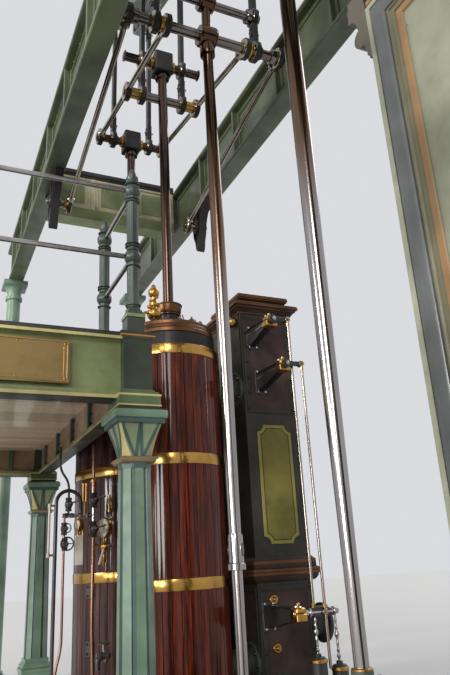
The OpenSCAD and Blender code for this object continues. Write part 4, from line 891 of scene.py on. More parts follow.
def capital(neck, top, height):
    """Eight flared faces: four wide ones that open to the abacus and four corner ones that close
    towards it. The flare follows one minus the cosine, as in the CAD."""
    rows = 9
    t = np.linspace(0, 1, rows)
    flare = 1 - np.cos(t * math.pi / 2)
    half = neck / 2 + (top - neck) / 2 * flare
    cut0 = half[0] * math.tan(math.pi / 8)
    inner = cut0 + (half[-1] * 0.9 - cut0) * t ** 0.85
    inner = np.minimum(inner, half * 0.97)
    ring = np.stack([np.stack([half, -inner], 1), np.stack([half, inner], 1), np.stack([inner, half], 1),
        np.stack([-inner, half], 1), np.stack([-half, inner], 1), np.stack([-half, -inner], 1),
        np.stack([-inner, -half], 1), np.stack([inner, -half], 1)], 1)
    pts = np.concatenate([ring, np.repeat((t * height)[:, None], 8, 1)[..., None]], -1).reshape(-1, 3)
    form = Form(pts, {4: grid_faces(rows, 8, close_columns=True)})
    form.finish[4] = np.tile(np.where(np.arange(8) % 2 == 0, FIELD, CREAM_LINE), rows - 1)
    return form, half, inner, t * height


def zigzag(half, inner, z, width=0.012, proud=0.006):
    """Four strokes in a W, each a strip that lies on the flared face and stands proud of it. Across
    the face a stroke runs evenly from one side to the other as it rises."""
    low, strips = inner[0] * 0.5, []
    for a, b in ((-low, -inner[-1]), (-low, 0.0), (low, 0.0), (low, inner[-1])):
        y = np.linspace(a, b, len(z))
        w = np.full(len(z), width)
        lo_y, hi_y = np.maximum(y - w, -inner), np.minimum(y + w, inner)
        out = half + proud
        back = half - 0.004
        pts = np.stack([np.stack([back, lo_y, z], 1), np.stack([out, lo_y, z], 1), np.stack([out, hi_y, z], 1),
            np.stack([back, hi_y, z], 1)], 1)
        f = grid_faces(len(z), 4, close_columns=True)
        caps = np.array([[0, 1, 2, 3], [4 * len(z) - 1, 4 * len(z) - 2, 4 * len(z) - 3, 4 * len(z) - 4]])
        strips.append(Form(pts.reshape(-1, 3), {4: np.concatenate([f[:, ::-1], caps[:, ::-1]])}, GROOVE))
    return join(strips)


def column(height, width, base_w, abacus_w):
    """One column standing on the floor at the origin."""
    pedestal, base, cap, abacus, head = 0.42, 0.11, 0.31, 0.075, 0.09
    neck = width * 0.86
    neck_z = height - head - abacus - cap
    plate = abacus_w - 0.06
    parts = [square(base_w, [(0, 0), (0, 0.09), (-0.012, 0.1), (-0.012, pedestal - 0.05),
        (0, pedestal - 0.035), (0, pedestal)], PALE)]
    inset = base_w - 0.12
    panel = moulding(inset, pedestal - 0.22, [(0, 0), (0, 0.006), (-0.012, 0.009)], GROOVE)
    parts.append(around(panel.moved((base_w / 2 - 0.013, 0, pedestal / 2 + 0.015), TO_RIGHT), 4))
    parts.append(square(width, [(0.025, pedestal), (0.035, pedestal + 0.008), (0.035, pedestal + 0.034),
        (0.02, pedestal + 0.044), (0.02, pedestal + 0.056), (0.004, pedestal + 0.066),
        (0.004, pedestal + base)], PALE))
    parts.append(shaft_rings(width, neck, pedestal + base, neck_z, 0.019))
    parts.append(shaft_rings(neck + 0.004, neck + 0.004, neck_z - 0.07, neck_z - 0.025, 0.006).painted(GROOVE))
    ring = [(0, neck_z - 0.028), (0.014, neck_z - 0.02), (0.014, neck_z - 0.008), (0.028, neck_z - 0.002),
        (0.028, neck_z + 0.012), (0, neck_z + 0.022)]
    ring_form = square(neck, ring, BROWN)
    ring_form.finish[4][8:12] = CREAM_LINE
    parts.append(ring_form)
    bell, half, inner, z = capital(neck, abacus_w - 0.05, cap)
    parts.append(bell.moved((0, 0, neck_z)))
    parts.append(around(zigzag(half, inner, z).moved((0, 0, neck_z)), 4))
    top = neck_z + cap
    parts.append(square(plate, [(0.002, top - 0.042), (0.012, top - 0.04), (0.012, top)], GROOVE))
    parts.append(square(plate, [(0.012, top - 0.001), (0.024, top), (0.03, top + 0.01), (0.03, top + 0.056),
        (0.022, top + 0.062)], PALE))
    # The recessed steps over the abacus are painted nearly black as painted shade.
    parts.append(square(plate, [(0.0, top + 0.056), (0.01, top + 0.057), (0.01, top + abacus)], RECESS_SHADE))
    block, head_z = width - 0.04, height - head
    parts.append(square(block, [(0, head_z - 0.001), (0.04, head_z), (0.04, head_z + 0.02)], RECESS_SHADE))
    parts.append(square(block, [(0.04, head_z + 0.0195), (0.055, head_z + 0.023), (0.055, head_z + 0.034)],
        CREAM_LINE))
    parts.append(square(block, [(0.05, head_z + 0.0335), (0.05, height)], HEAD))
    return join(parts)


def plan_centre(node):
    """Centre of a node's box in plan."""
    lo, hi = low_high(node)
    return (lo + hi)[:2] / 2


column_nodes = ["gallery_column_%d" % i for i in (1, 2, 3, 4)]
lo, hi = low_high(column_nodes[0])
column_height, abacus_width = hi[2], hi[0] - lo[0]
column_width = abacus_width - 0.145
one_column = column(column_height, column_width, column_width + 0.1, abacus_width)
places = [(*plan_centre(n), 0) for n in column_nodes]
field_green = paint("field_green", (0.235, 0.29, 0.165), dirt_amount=0.25)
column_paints = [column_green, groove_green, cream_line, neck_brown, recess_shade_green, base_green, field_green]
piece("gallery_columns", copies(one_column, places), column_paints, replaces=column_nodes)
print("column:", len(one_column.points), "points")

# %% [markdown]
# ## Gallery beams
#
# The gallery floor stands on cast girders between four corner blocks. The web faces are moss green
# and mottled, the lower flange is nearly black, and cream or orange lines run along the flange
# edges. Each girder is one section carried along its length, with a finish for each face of the
# section, and upright ribs at even steps. The faces that look into the gallery are buff, a colour
# that also holds painted warm lamplight, and their blue-green ribs are bolted on.

# %% Beams and corner blocks
MOSS, FLANGE, LINE, BLOCK, ORANGE, BASE, BUFF_LAMPLIGHT, RIB = range(8)
LEFT_WEB, RIGHT_WEB = slice(14, 20), slice(3, 8)


def girder(length, half_w, height, flange, web, lip=0.018, inner=-1):
    """A girder along y, centred on x, from z = 0 up. The section goes round from the lower flange's
    corner, and each stretch of it names its finish. Flange edges carry a painted line. Inner is the
    side, -1 or 1, whose web faces are buff with painted warm lamplight."""
    w, h, t = half_w, height, flange
    turns = [((-w, 0), FLANGE), ((w, 0), LINE), ((w, t * 0.45), MOSS), ((w, t), MOSS),
        ((web / 2 + lip, t), MOSS), ((web / 2, t + lip), MOSS), ((web / 2, h - t - lip), MOSS),
        ((web / 2 + lip, h - t), MOSS), ((w, h - t), LINE), ((w, h - t * 0.6), FLANGE),
        ((w, h - 0.004), FLANGE), ((w - 0.004, h), FLANGE), ((-w + 0.004, h), FLANGE),
        ((-w, h - 0.004), FLANGE), ((-w, h - t * 0.6), LINE), ((-w, h - t), MOSS),
        ((-web / 2 - lip, h - t), MOSS), ((-web / 2, h - t - lip), MOSS), ((-web / 2, t + lip), MOSS),
        ((-web / 2 - lip, t), MOSS), ((-w, t), MOSS), ((-w, t * 0.45), LINE)]
    outline = [p for p, _ in turns]
    form = prism(outline, length).moved((0, length / 2, 0), tip(90))
    n = len(outline)
    marks = np.array([m for _, m in turns])
    # The inner web faces get buff, which also holds painted warm lamplight.
    marks[LEFT_WEB if inner < 0 else RIGHT_WEB] = BUFF_LAMPLIGHT
    form.finish = {4: marks, n: np.full(2, FLANGE)}
    return form


def ribs(count, w, z0, z1, thick, spread):
    """Upright ribs on one side of a girder, at even steps about the middle."""
    one = box((0, -thick / 2, z0), (w, thick / 2, z1), 0.006)
    ys = (np.arange(count) - (count - 1) / 2) * spread
    return copies(one, np.column_stack([0 * ys, ys, 0 * ys]))


def corner(width, height, out):
    """The block over a column: base mouldings, plain shaft and a top moulding with a bright line."""
    base = square(width, [(0, 0), (out - 0.005, 0), (out - 0.005, 0.014)], BASE)
    low = square(width, [(out - 0.005, 0.013), (out, 0.018), (out, 0.029)], LINE)
    neck = square(width, [(out - 0.012, 0.0285), (out - 0.016, 0.048), (0.012, 0.06), (0.01, 0.074),
        (0, 0.078)], BASE)
    shaft = square(width, [(0, 0.077), (0, height - 0.06), (0.006, height - 0.058), (0.006, height - 0.04)],
        BLOCK)
    line = square(width, [(0.006, height - 0.0405), (0.022, height - 0.036), (0.026, height - 0.024)], ORANGE)
    cap = square(width, [(0.026, height - 0.0245), (0.03, height - 0.018), (0.03, height)], FLANGE)
    return join([base, low, neck, shaft, line, cap])


# Buff for the web faces inside the gallery; its warm tone is partly painted lamplight.
buff_and_lamplight = paint("buff_and_lamplight", (0.34, 0.215, 0.125), dirt=(0.13, 0.07, 0.04), dirt_amount=0.5)
beam_paints = [moss_green, flange_black, cream_line, block_green, orange_line, base_green, buff_and_lamplight, groove_green]
front_lo, front_hi = low_high("gallery_front_beam")
block_w = column_width - 0.04
block_out = 0.055
beam_z0, beam_h = front_lo[2], front_hi[2] - front_lo[2]
corner_x = np.array([p[0] for p in places])
corner_y = np.array([p[1] for p in places])
span_x, span_y = np.ptp(corner_x), np.ptp(corner_y)
mid_x, mid_y = corner_x.min() + span_x / 2, corner_y.min() + span_y / 2
one_corner = corner(block_w, beam_h, block_out)
to_x = spin(90)
for name, y, out_sign in (("gallery_front", corner_y.min(), -1), ("gallery_back", corner_y.max(), 1)):
    run = span_x - block_w
    beam_form = girder(run + 0.004, 0.105, beam_h, 0.06, 0.07, inner=-out_sign).moved(turn=to_x)
    inside = ribs(3, 0.1, 0.055, 0.325, 0.05, run / 3.2).painted(RIB).moved(turn=spin(-90 * out_sign))
    outside = ribs(3, 0.075, 0.055, beam_h - 0.055, 0.06, run / 3.2).moved(turn=spin(90 * out_sign))
    keep_out = [outside] if out_sign > 0 else []
    whole = join([beam_form, inside, *keep_out]).moved((mid_x, y, beam_z0))
    corners = copies(one_corner, [(x, y, beam_z0) for x in (corner_x.min(), corner_x.max())])
    piece(name + "_girder", join([whole, corners]), beam_paints, replaces=[name + "_beam"])

run = span_y - block_w - 0.0006
side_forms = []
for x, s in ((corner_x.max(), 1), (corner_x.min(), -1)):
    web_ribs = ribs(5, 0.072, 0.05, beam_h - 0.05, 0.05, run / 5)
    rib_bolts = copies(nut(0.028, 0.016, FLANGE), [(0.074, dy, z) for dy in (-0.045, 0.045)
        for z in (0.09, 0.19, 0.29)], X_AXIS)
    bolted = [rib_bolts.moved((-0.04, (k - 2) * run / 5, 0)) for k in range(5)]
    low_ribs = join([ribs(5, 0.072, 0.05, 0.325, 0.05, run / 5).painted(RIB), *bolted]).moved(turn=spin(180))
    both = join([girder(run, 0.075, beam_h, 0.05, 0.07), web_ribs,
        low_ribs]).moved(turn=spin(0 if s > 0 else 180))
    side_forms.append(both.moved((x, mid_y, beam_z0)))
stay = box((corner_x.max() + 0.034, low_y - 0.07, beam_z0 + 0.15),
    (-low_r + 0.03, low_y + 0.07, beam_z0 + 0.33), 0.008, BLOCK)
piece("gallery_side_girders", join(side_forms + [stay]), beam_paints,
    replaces=["gallery_side_beams"])
print("gallery", round(span_x, 3), "by", round(span_y, 3))

# %% [markdown]
# ## Handrail posts
#
# Cast posts stand over the corner blocks: a square base, a fluted shaft with collars, a faceted
# ball where each rail passes and an acorn on top. Flutes are a wave in the radius of the turned
# form, so radius and angle together give every point.

# %% Posts
def fluted(radius, z0, z1, flutes=12, depth=0.005, finish=0):
    """A shaft whose radius dips by the depth along each flute: r - depth (1 + cos(n a)) / 2, and the
    dip fades out at both ends."""
    sides = flutes * 4
    a = np.arange(sides) * 2 * math.pi / sides
    rows = np.array([0, 0.02, 0.06, 0.94, 0.98, 1.0])
    fade = np.array([0, 0.0, 1, 1, 0.0, 0])[:, None]
    r = radius - depth * fade * (1 + np.cos(flutes * a)) / 2
    z = (z0 + rows * (z1 - z0))[:, None] + 0 * a
    pts = np.stack([r * np.cos(a), r * np.sin(a), z], -1).reshape(-1, 3)
    ring = np.arange(sides)
    return Form(pts, {4: grid_faces(6, sides, close_columns=True),
        sides: np.array([ring[::-1], 5 * sides + ring])}, finish)


def post(rail_low, rail_high, top, shaft_r, ball_r, base_w):
    """One post standing on z = 0. Finishes: 0 dark green, 1 dark grey base, 2 olive steps."""
    base = square(base_w, [(0, 0), (0.01, 0.006), (0.01, 0.022), (0, 0.034), (0, 0.148), (-0.006, 0.152)], 1)
    band_form = square(base_w, [(-0.01, 0.151), (0.006, 0.156), (0.006, 0.184), (-0.004, 0.19)], 2)
    steps = square(base_w - 0.02, [(0.004, 0.1895), (0.004, 0.204), (-0.006, 0.212), (-0.006, 0.224),
        (-0.018, 0.234), (-0.018, 0.25), (-0.028, 0.268)])
    parts = [base, band_form, steps, fluted(shaft_r, 0.262, rail_low - ball_r * 0.8),
        fluted(shaft_r, rail_low + ball_r * 0.8, rail_high - ball_r * 0.8)]
    for z in (rail_low, rail_high):
        parts.append(ball(ball_r, 10, 8).moved((0, 0, z)))
    ring = [(0, 0), (shaft_r + 0.006, 0), (shaft_r + 0.015, 0.006), (shaft_r + 0.015, 0.012),
        (shaft_r + 0.006, 0.018), (0, 0.018)]
    for z in (0.272, rail_low - 0.1, rail_low + 0.09, rail_low + 0.115, rail_high - 0.12, rail_high - 0.095,
            rail_high + 0.065):
        parts.append(lathe(ring, 24).moved((0, 0, z)))
    acorn_z = rail_high + 0.075
    k = top - acorn_z
    parts.append(lathe([(0, 0), (shaft_r * 0.8, 0), (shaft_r * 0.75, k * 0.1), (shaft_r + 0.004, k * 0.28),
        (shaft_r + 0.004, k * 0.4), (shaft_r * 0.62, k * 0.48), (shaft_r * 0.7, k * 0.6),
        (shaft_r * 0.5, k * 0.82), (shaft_r * 0.18, k * 0.95), (0, k)], 24).moved((0, 0, acorn_z)))
    return join(parts)


post_lo, post_hi = low_high("gallery_posts")
deck_top = post_lo[2]
rail_box_lo, rail_box_hi = low_high("gallery_rails")
rail_high_z = (rail_box_hi[2] - 0.022) - deck_top
rail_low_z = (rail_box_lo[2] + 0.022) - deck_top
one_post = post(rail_low_z, rail_high_z, post_hi[2] - deck_top, 0.052, 0.078, 0.15)
post_mid_y = corner_y.min() + 0.98
post_places = [(x, y, deck_top) for x in (corner_x.max(), corner_x.min())
    for y in (corner_y.min(), post_mid_y, corner_y.max())]
piece("handrail_posts", copies(one_post, post_places), [post_green, post_base_grey, moss_green],
    replaces=["gallery_posts"])

# %% [markdown]
# ## Spring beams and the end girder
#
# The two long beams that frame the opening are built up from plates with angle irons, painted dark
# green, and the outer flange carries a moulded edge. The girder across their far end is cream with
# sunk panels between dark flanges.

# %% Spring beams
def spring_beam(length, half_w, height):
    """A section with angle irons in the corners of web and flanges, carried along y."""
    w, h, t, web, leg = half_w, height, 0.05, 0.025, 0.085
    side = [(w - 0.012, 0), (w, 0.012), (w, t - 0.008), (w - 0.008, t), (web + leg, t), (web + leg, t + 0.014),
        (web + 0.014, t + 0.018), (web + 0.014, t + leg), (web, t + leg + 0.004)]
    upper = [(x, h - z) for x, z in side[::-1]]
    right_side = side + upper
    outline = right_side + [(-x, z) for x, z in right_side[::-1]]
    return prism(outline, length).moved((0, length / 2, 0), tip(90))


def rivets(points, radius=0.016, turn=None):
    """Snap heads: low domes of eight sides at each point."""
    head = lathe([(radius, 0), (radius * 0.9, radius * 0.4), (radius * 0.5, radius * 0.75), (0, radius * 0.8)],
        8)
    return copies(head, points, turn)


for side_name, s in (("left", -1), ("right", 1)):
    lo, hi = low_high("spring_beam_" + side_name)
    length, half_w, height = hi[1] - lo[1], (hi[0] - lo[0]) / 2, hi[2] - lo[2]
    cx, cy = (lo[0] + hi[0]) / 2, (lo[1] + hi[1]) / 2
    stiff = ribs(9, half_w - 0.012, 0.047, height - 0.047, 0.04, length / 9)
    tee = ribs(9, 0.05, 0.06, height - 0.06, 0.12, length / 9)
    step_y = np.arange(-length / 2 + 0.15, length / 2 - 0.1, 0.15)
    heads = [rivets(np.column_stack([0 * step_y + x, step_y, 0 * step_y + z]), 0.014, turn_z_to((sx, 0, 0)))
             for sx, x in ((1, 0.039), (-1, -0.039)) for z in (0.05 + 0.052, height - 0.05 - 0.052)]
    form = join([spring_beam(length, half_w, height), stiff, mirrored(stiff), tee, mirrored(tee), *heads])
    piece("spring_beam_%s_dressed" % side_name, form.moved((cx, cy, lo[2])), frame_green,
        replaces=["spring_beam_" + side_name])

# %% End girder
lo, hi = low_high("end_girder")
width, depth, height = hi[0] - lo[0], hi[1] - lo[1], hi[2] - lo[2]
CREAMY, DARK, OLIVE = range(3)


def end_girder():
    """Flanges, a stepped lower band and, on both faces, frames round sunk panels."""
    half = width / 2
    parts = [box((-half, -0.13, 0), (half, 0.13, 0.07), 0.006, OLIVE),
        box((-half, -0.105, 0.069), (half, 0.105, 0.19), 0.005, OLIVE),
        box((-half, -0.075, 0.189), (half, 0.075, height - 0.069), 0, CREAMY),
        box((-half, -0.13, height - 0.07), (half, 0.13, height), 0.006, DARK),
        box((-half, -0.112, height - 0.1), (half, 0.112, height - 0.069), 0.006, DARK)]
    edges = np.array([-half, -0.333 * half, 0.333 * half, half])
    post_w = 0.07
    for x0, x1 in zip(edges[:-1], edges[1:]):
        for s in (-1, 1):
            a, b = x0 + post_w / 2, x1 - post_w / 2
            z0, z1 = 0.189, height - 0.1
            frame_t = 0.045
            bars = [((a, z0), (b, z0 + frame_t)), ((a, z1 - frame_t), (b, z1)),
                ((a, z0 + frame_t), (a + frame_t, z1 - frame_t)),
                ((b - frame_t, z0 + frame_t), (b, z1 - frame_t))]
            for p, q in bars:
                parts.append(box((p[0], s * 0.074, p[1]), (q[0], s * 0.096, q[1]), 0.008, CREAMY))
            parts.append(box((a + 0.09, s * 0.074, z0 + 0.09), (b - 0.09, s * 0.082, z1 - 0.09), 0.004, OLIVE))
    for x in edges:
        x = np.clip(x, -half + 0.035, half - 0.035)
        parts.append(box((x - 0.035, -0.1, 0.188), (x + 0.035, 0.1, height - 0.099), 0.006, CREAMY))
    return join(parts)


piece("end_girder_panels", end_girder().moved(((lo[0] + hi[0]) / 2, (lo[1] + hi[1]) / 2, lo[2])),
    [cream, flange_black, moss_green], replaces=["end_girder"])

# %% [markdown]
# ## The high pressure valve chest
#
# A tall cast box stands beside the cylinder. It carries a two-tier cornice whose fillets catch the
# light, an olive panel with hollow corners and a dark line round it, a moulded ledge and framed
# fields above and below. The CAD box stays. The mouldings are profiles carried round it with a
# finish for each step, and the panel is three flat plates on each other. The low pressure chest
# has the same ledge, a head moulding, framed fields and panels in its own size.

# %% Chest dressing
def striped(form, rows, finish, sides=4):
    """Gives the faces between profile points i and i + 1 another finish, for each i in rows."""
    marks = form.finish[4].copy()
    for i in rows:
        marks[i * sides:(i + 1) * sides] = finish
    form.finish = {**form.finish, 4: marks}
    return form


def notched(w, h, r, inset=0.0, steps=7):
    """Outline of a panel whose corners are hollow quarter circles about the outer corners. An inset
    outline keeps those centres and has the radius r + inset."""
    big, out = r + inset, []
    a0 = math.asin(inset / big)
    a = np.linspace(a0, math.pi / 2 - a0, steps)
    for sx, sy in ((1, 1), (-1, 1), (-1, -1), (1, -1)):
        out.append(np.stack([sx * (w / 2 - big * np.sin(a)), sy * (h / 2 - big * np.cos(a))], 1))
        a = a[::-1]
    return np.concatenate(out)


def panel_plates(w, h, r, t):
    """Border, dark line and field, standing on z = 0 and rising to t."""
    border = prism(notched(w, h, r), t - 0.003, 0, 0.002)
    line = prism(notched(w, h, r, 0.034), t - 0.0015, 1)
    field = prism(notched(w, h, r, 0.044), t, 2, 0.001)
    return join([border, line, field])


lo, hi = low_high("high_valve_chest")
chest_rim, low_chest_rim = np.array([0.059, 0.059, 0]), np.array([0.06, 0.06, 0])
chest_lo, chest_hi = lo + chest_rim, hi - chest_rim
chest_mid = (chest_lo + chest_hi) / 2
chest_wide, chest_deep = chest_hi[0] - chest_lo[0], chest_hi[1] - chest_lo[1]
cornice_lo, cornice_hi = low_high("chest_cornice")
panels_lo, panels_hi = low_high("chest_panels")
panel_z, panel_tall = (panels_lo[2] + panels_hi[2]) / 2, panels_hi[2] - panels_lo[2]
low_chest_lo, low_chest_hi = low_high("low_valve_chest")
low_chest_lo, low_chest_hi = low_chest_lo + low_chest_rim, low_chest_hi - low_chest_rim

mottled_brown = paint("mottled_brown", (0.046, 0.026, 0.022), dirt=(0.01, 0.008, 0.007), dirt_amount=0.85,
    rough=0.36, wear=0.5, worn=(0.17, 0.1, 0.085), shine=0.35)
lit_brown = paint("lit_brown", (0.12, 0.048, 0.016), rough=0.3, dirt_amount=0.3, shine=0.35)
olive_border = paint("olive_border", (0.22, 0.2, 0.04), rough=0.3, dirt_amount=0.3, shine=0.5)
olive_field = paint("olive_field", (0.135, 0.118, 0.018), rough=0.28, dirt_amount=0.55, shine=0.5)
dark_line = paint("dark_line", (0.028, 0.018, 0.01), shine=0.5)

tall = cornice_hi[2] - cornice_lo[2]
lower = [(-0.02, 0), (0.012, 0), (0.012, 0.012), (0.02, 0.018), (0.034, 0.04), (0.058, 0.058), (0.062, 0.06),
    (0.062, 0.07), (0.07, 0.074), (0.085, 0.084), (0.085, 0.104), (0.079, 0.112), (0.079, 0.125),
    (-0.09, 0.127)]
upper = [(-0.02, 0.12), (0.0, 0.121), (0.0, 0.136), (0.01, 0.14), (0.01, 0.148), (0.018, 0.156), (0.03, 0.18),
    (0.046, 0.192), (0.05, 0.194), (0.05, 0.203), (0.06, 0.209), (0.06, 0.23), (0.054, 0.238), (0.054, tall),
    (-0.02, tall)]
cornice = join([striped(moulding(chest_wide, chest_deep, lower), (1, 6, 9, 11), 1),
                striped(moulding(chest_wide - 0.11, chest_deep - 0.11, upper), (3, 8, 10, 12), 1)])
piece("chest_cornice_dressed", cornice.moved((chest_mid[0], chest_mid[1], cornice_lo[2])),
    [cornice_brown, lit_brown], replaces=["chest_cornice"])

front = panel_plates(chest_wide * 0.64, panel_tall, 0.075, 0.014)
flank = panel_plates(chest_deep * 0.52, panel_tall, 0.075, 0.014)
low_deep, low_wide = 0.78 * 0.52, (low_chest_hi[0] - low_chest_lo[0]) * 0.5
low_mid = (low_chest_lo + low_chest_hi) / 2
plates = [front.moved((chest_mid[0], chest_lo[1], panel_z), TO_FRONT),
    flank.moved((chest_hi[0], chest_mid[1], panel_z), TO_RIGHT),
    panel_plates(low_deep, panel_tall, 0.075, 0.014).moved((low_chest_hi[0], low_mid[1], panel_z), TO_RIGHT),
    panel_plates(low_wide, panel_tall, 0.075, 0.014).moved((low_mid[0], low_chest_hi[1], panel_z), TO_BACK)]
piece("chest_olive_panels", join(plates), [olive_border, dark_line, olive_field],
    replaces=["chest_panels"])

ledge_lo = 1.31
ledge = [(0, -0.002), (0.018, 0.0), (0.036, 0.016), (0.05, 0.04), (0.0515, 0.059), (0.0615, 0.065),
    (0.0615, 0.088), (0.055, 0.094), (0.0615, 0.1), (0.0615, 0.121), (0.0395, 0.133), (0.0395, 0.16),
    (0.03, 0.166), (0.0395, 0.172), (0.0395, 0.2), (0.012, 0.226), (0, 0.243)]
ledge_form = striped(moulding(chest_wide - 0.002, chest_deep - 0.002, ledge), (4, 5, 8, 13),
    1).moved((chest_mid[0], chest_mid[1], ledge_lo))


def framed(w, h, frame_w, proud):
    """A frame of four beaded bars round a field, standing on z = 0: finish 2 for the bars, 3 for the
    field and 4 for the line inside the bars."""
    bars = [box((-w / 2, -h / 2, 0), (-w / 2 + frame_w, h / 2, proud), 0.004, 2),
        box((w / 2 - frame_w, -h / 2, 0), (w / 2, h / 2, proud), 0.004, 2),
        box((-w / 2 + frame_w, -h / 2, 0), (w / 2 - frame_w, -h / 2 + frame_w, proud), 0.004, 2),
        box((-w / 2 + frame_w, h / 2 - frame_w, 0), (w / 2 - frame_w, h / 2, proud), 0.004, 2)]
    bead = moulding(w - 2 * frame_w - 0.014, h - 2 * frame_w - 0.014,
        [(0, 0), (0.006, 0.002), (0.006, proud * 0.7), (0, proud * 0.75), (-0.006, proud * 0.5),
        (-0.008, 0.001)], 4, closed=False)
    field = box((-w / 2 + frame_w, -h / 2 + frame_w, 0), (w / 2 - frame_w, h / 2 - frame_w, 0.0035), 0, 3)
    return join(bars + [bead, field])


body_top = cornice_lo[2]
low_field = (chest_lo[2] + 0.235, ledge_lo - 0.03)
high_field = (panels_hi[2] + 0.13, body_top - 0.012)


def field_on(wide, z0, z1, x, y, turn):
    """A framed field between two heights of a face whose middle in plan is (x, y)."""
    return framed(wide - 0.05, z1 - z0, 0.05, 0.012).moved((x, y, (z0 + z1) / 2), turn)


# The right face has no lower field, because a steam pipe's flange sits there.
fields = [field_on(chest_wide, *heights, chest_mid[0], chest_lo[1], TO_FRONT)
    for heights in (low_field, high_field)]
fields += [field_on(chest_deep, *heights, chest_lo[0], chest_mid[1], TO_LEFT)
    for heights in (low_field, high_field)]
fields.append(field_on(chest_deep, *high_field, chest_hi[0], chest_mid[1], TO_RIGHT))
low_w, low_d = low_chest_hi[0] - low_chest_lo[0], low_chest_hi[1] - low_chest_lo[1]
low_top = low_high("low_valve_chest")[1][2]
fields.append(striped(moulding(low_w - 0.002, low_d - 0.002, ledge), (4, 5, 8, 13),
    1).moved((low_mid[0], low_mid[1], ledge_lo)))
head = [(0, 0), (0.01, 0.004), (0.01, 0.018), (0.024, 0.036), (0.044, 0.05), (0.05, 0.054), (0.05, 0.068),
    (0.058, 0.074), (0.058, 0.094), (0, 0.096)]
fields.append(striped(moulding(low_w - 0.002, low_d - 0.002, head), (1, 5, 7),
    1).moved((low_mid[0], low_mid[1], low_top - 0.16)))
for z0, z1 in (low_field, (high_field[0], low_top - 0.19)):
    fields.append(field_on(low_d, z0, z1, low_chest_hi[0], low_mid[1], TO_RIGHT))
    fields.append(field_on(low_w, z0, z1, low_mid[0], low_chest_hi[1], TO_BACK))
corner_bead = rod((0, 0, ledge_lo + 0.24), (0, 0, body_top), 0.006, 8, 4)
fields.append(copies(corner_bead, [(chest_lo[0] + 0.003, chest_lo[1] + 0.003, 0),
    (chest_hi[0] - 0.003, chest_lo[1] + 0.003, 0)]))
rosette = lathe([(0, 0), (0.042, 0), (0.046, 0.006), (0.04, 0.014), (0.026, 0.014), (0.022, 0.024),
    (0.012, 0.036), (0, 0.038)], 20, 5)
rosettes = copies(rosette, [(chest_lo[0] + 0.17, chest_lo[1] - 0.003, z) for z in (1.15, 0.71)], TO_FRONT)
ball_form = join([ball(0.062, 24, 14, 5),
    rod((0, 0, 0), (0.08, 0, 0), 0.022, 14, 5)]).moved((chest_lo[0] - 0.062, chest_lo[1] + 0.09,
    body_top - 0.09))
bolt_rows = []
for z0, z1 in (low_field, high_field):
    n = int((z1 - z0) / 0.16)
    zs = np.linspace(z0 + 0.04, z1 - 0.04, max(n, 3))
    bolt_rows += [(chest_lo[0] + 0.05, chest_lo[1] - 0.012, z) for z in zs]
    bolt_rows += [(chest_hi[0] - 0.05, chest_lo[1] - 0.012, z) for z in zs]
chest_nuts = copies(nut(0.026, 0.014, 2), bolt_rows, TO_FRONT)
piece("chest_frames", join([ledge_form, *fields, rosettes, ball_form, chest_nuts]),
      [cornice_brown, lit_brown, chest_black, mottled_brown, dark_line, gear_brass])
print("chest", round(chest_wide, 3), "by", round(chest_deep, 3))

# %% [markdown]
# ## Valve gear
#
# Two rocking shafts run out from the chest in tapered iron brackets with brass bearings. A lever on
# each works a bright rod, and the rods run down past an oval crosspiece on a cross shaft. Two
# dashpots with turned spindles stop the valves gently. All of it is turned and swept forms set at
# the places of the CAD pieces.

# %% Gear
# EDGE is bright metal on the upper edges of brackets and levers: a painted highlight.
IRON, BRASS, STEEL, EDGE = range(4)
rocker_1 = np.array([chest_lo[0] + 0.13, chest_lo[1] - 0.438, 3.93])
rocker_2 = np.array([chest_lo[0] + 0.2, chest_lo[1] - 0.518, 3.42])
cross = np.array([chest_lo[0] + 0.1, chest_lo[1] - 0.5833, 1.045])


def bracket_arm(p, root=(-0.15, 0.06), tip_z=(-0.05, 0.045)):
    """A tapered web with a flange along its upper and lower edge, from the chest to the bearing. The
    upper flange is bright metal, a painted highlight.
    """
    y0, y1 = chest_lo[1] - p[1], 0.04
    web = prism([(y0, root[0]), (y0, root[1]), (y1, tip_z[1]), (y1, tip_z[0])], 0.05, IRON, 0.004)
    parts = [web.moved((-0.025, 0, 0), TO_RIGHT)]
    for k, s in ((0, -1), (1, 1)):
        strip = prism([(y0, root[k] - 0.008 * (s > 0)), (y0, root[k] + 0.008 * (s < 0)),
            (y1, tip_z[k] + 0.008 * (s < 0)), (y1, tip_z[k] - 0.008 * (s > 0))][::s], 0.09,
            EDGE if k else IRON, 0.003)
        parts.append(strip.moved((-0.045, 0, 0), TO_RIGHT))
    foot = box((-0.065, y0 - 0.016, root[0] - 0.03), (0.065, y0 - 0.0005, root[1] + 0.03), 0.004, IRON)
    bolts = copies(nut(0.026, 0.016, STEEL), [(x, y0 - 0.016, z) for x in (-0.045, 0.045)
        for z in (root[0] - 0.008, root[1] + 0.008)], TO_FRONT)
    return join(parts + [foot, bolts])


def bearing(shaft_r=0.028):
    """A split brass bearing: block, cap, cap bolts and an oil cup. The shaft runs along y."""
    block = box((-0.065, -0.055, -0.065), (0.065, 0.055, -0.001), 0.006, BRASS)
    cap = box((-0.055, -0.05, 0.001), (0.055, 0.05, 0.052), 0.012, BRASS)
    bolts = copies(nut(0.024, 0.013, STEEL), [(s * 0.043, 0, 0.05) for s in (-1, 1)])
    cup = lathe([(0, 0), (0.008, 0), (0.008, 0.012), (0.017, 0.02), (0.017, 0.036), (0.008, 0.044),
        (0, 0.046)], 14, BRASS).moved((0, 0, 0.05))
    collar = rod((0, -0.062, 0), (0, 0.06, 0), shaft_r + 0.016, 20, BRASS, 0.004)
    return join([block, cap, bolts, cup, collar])


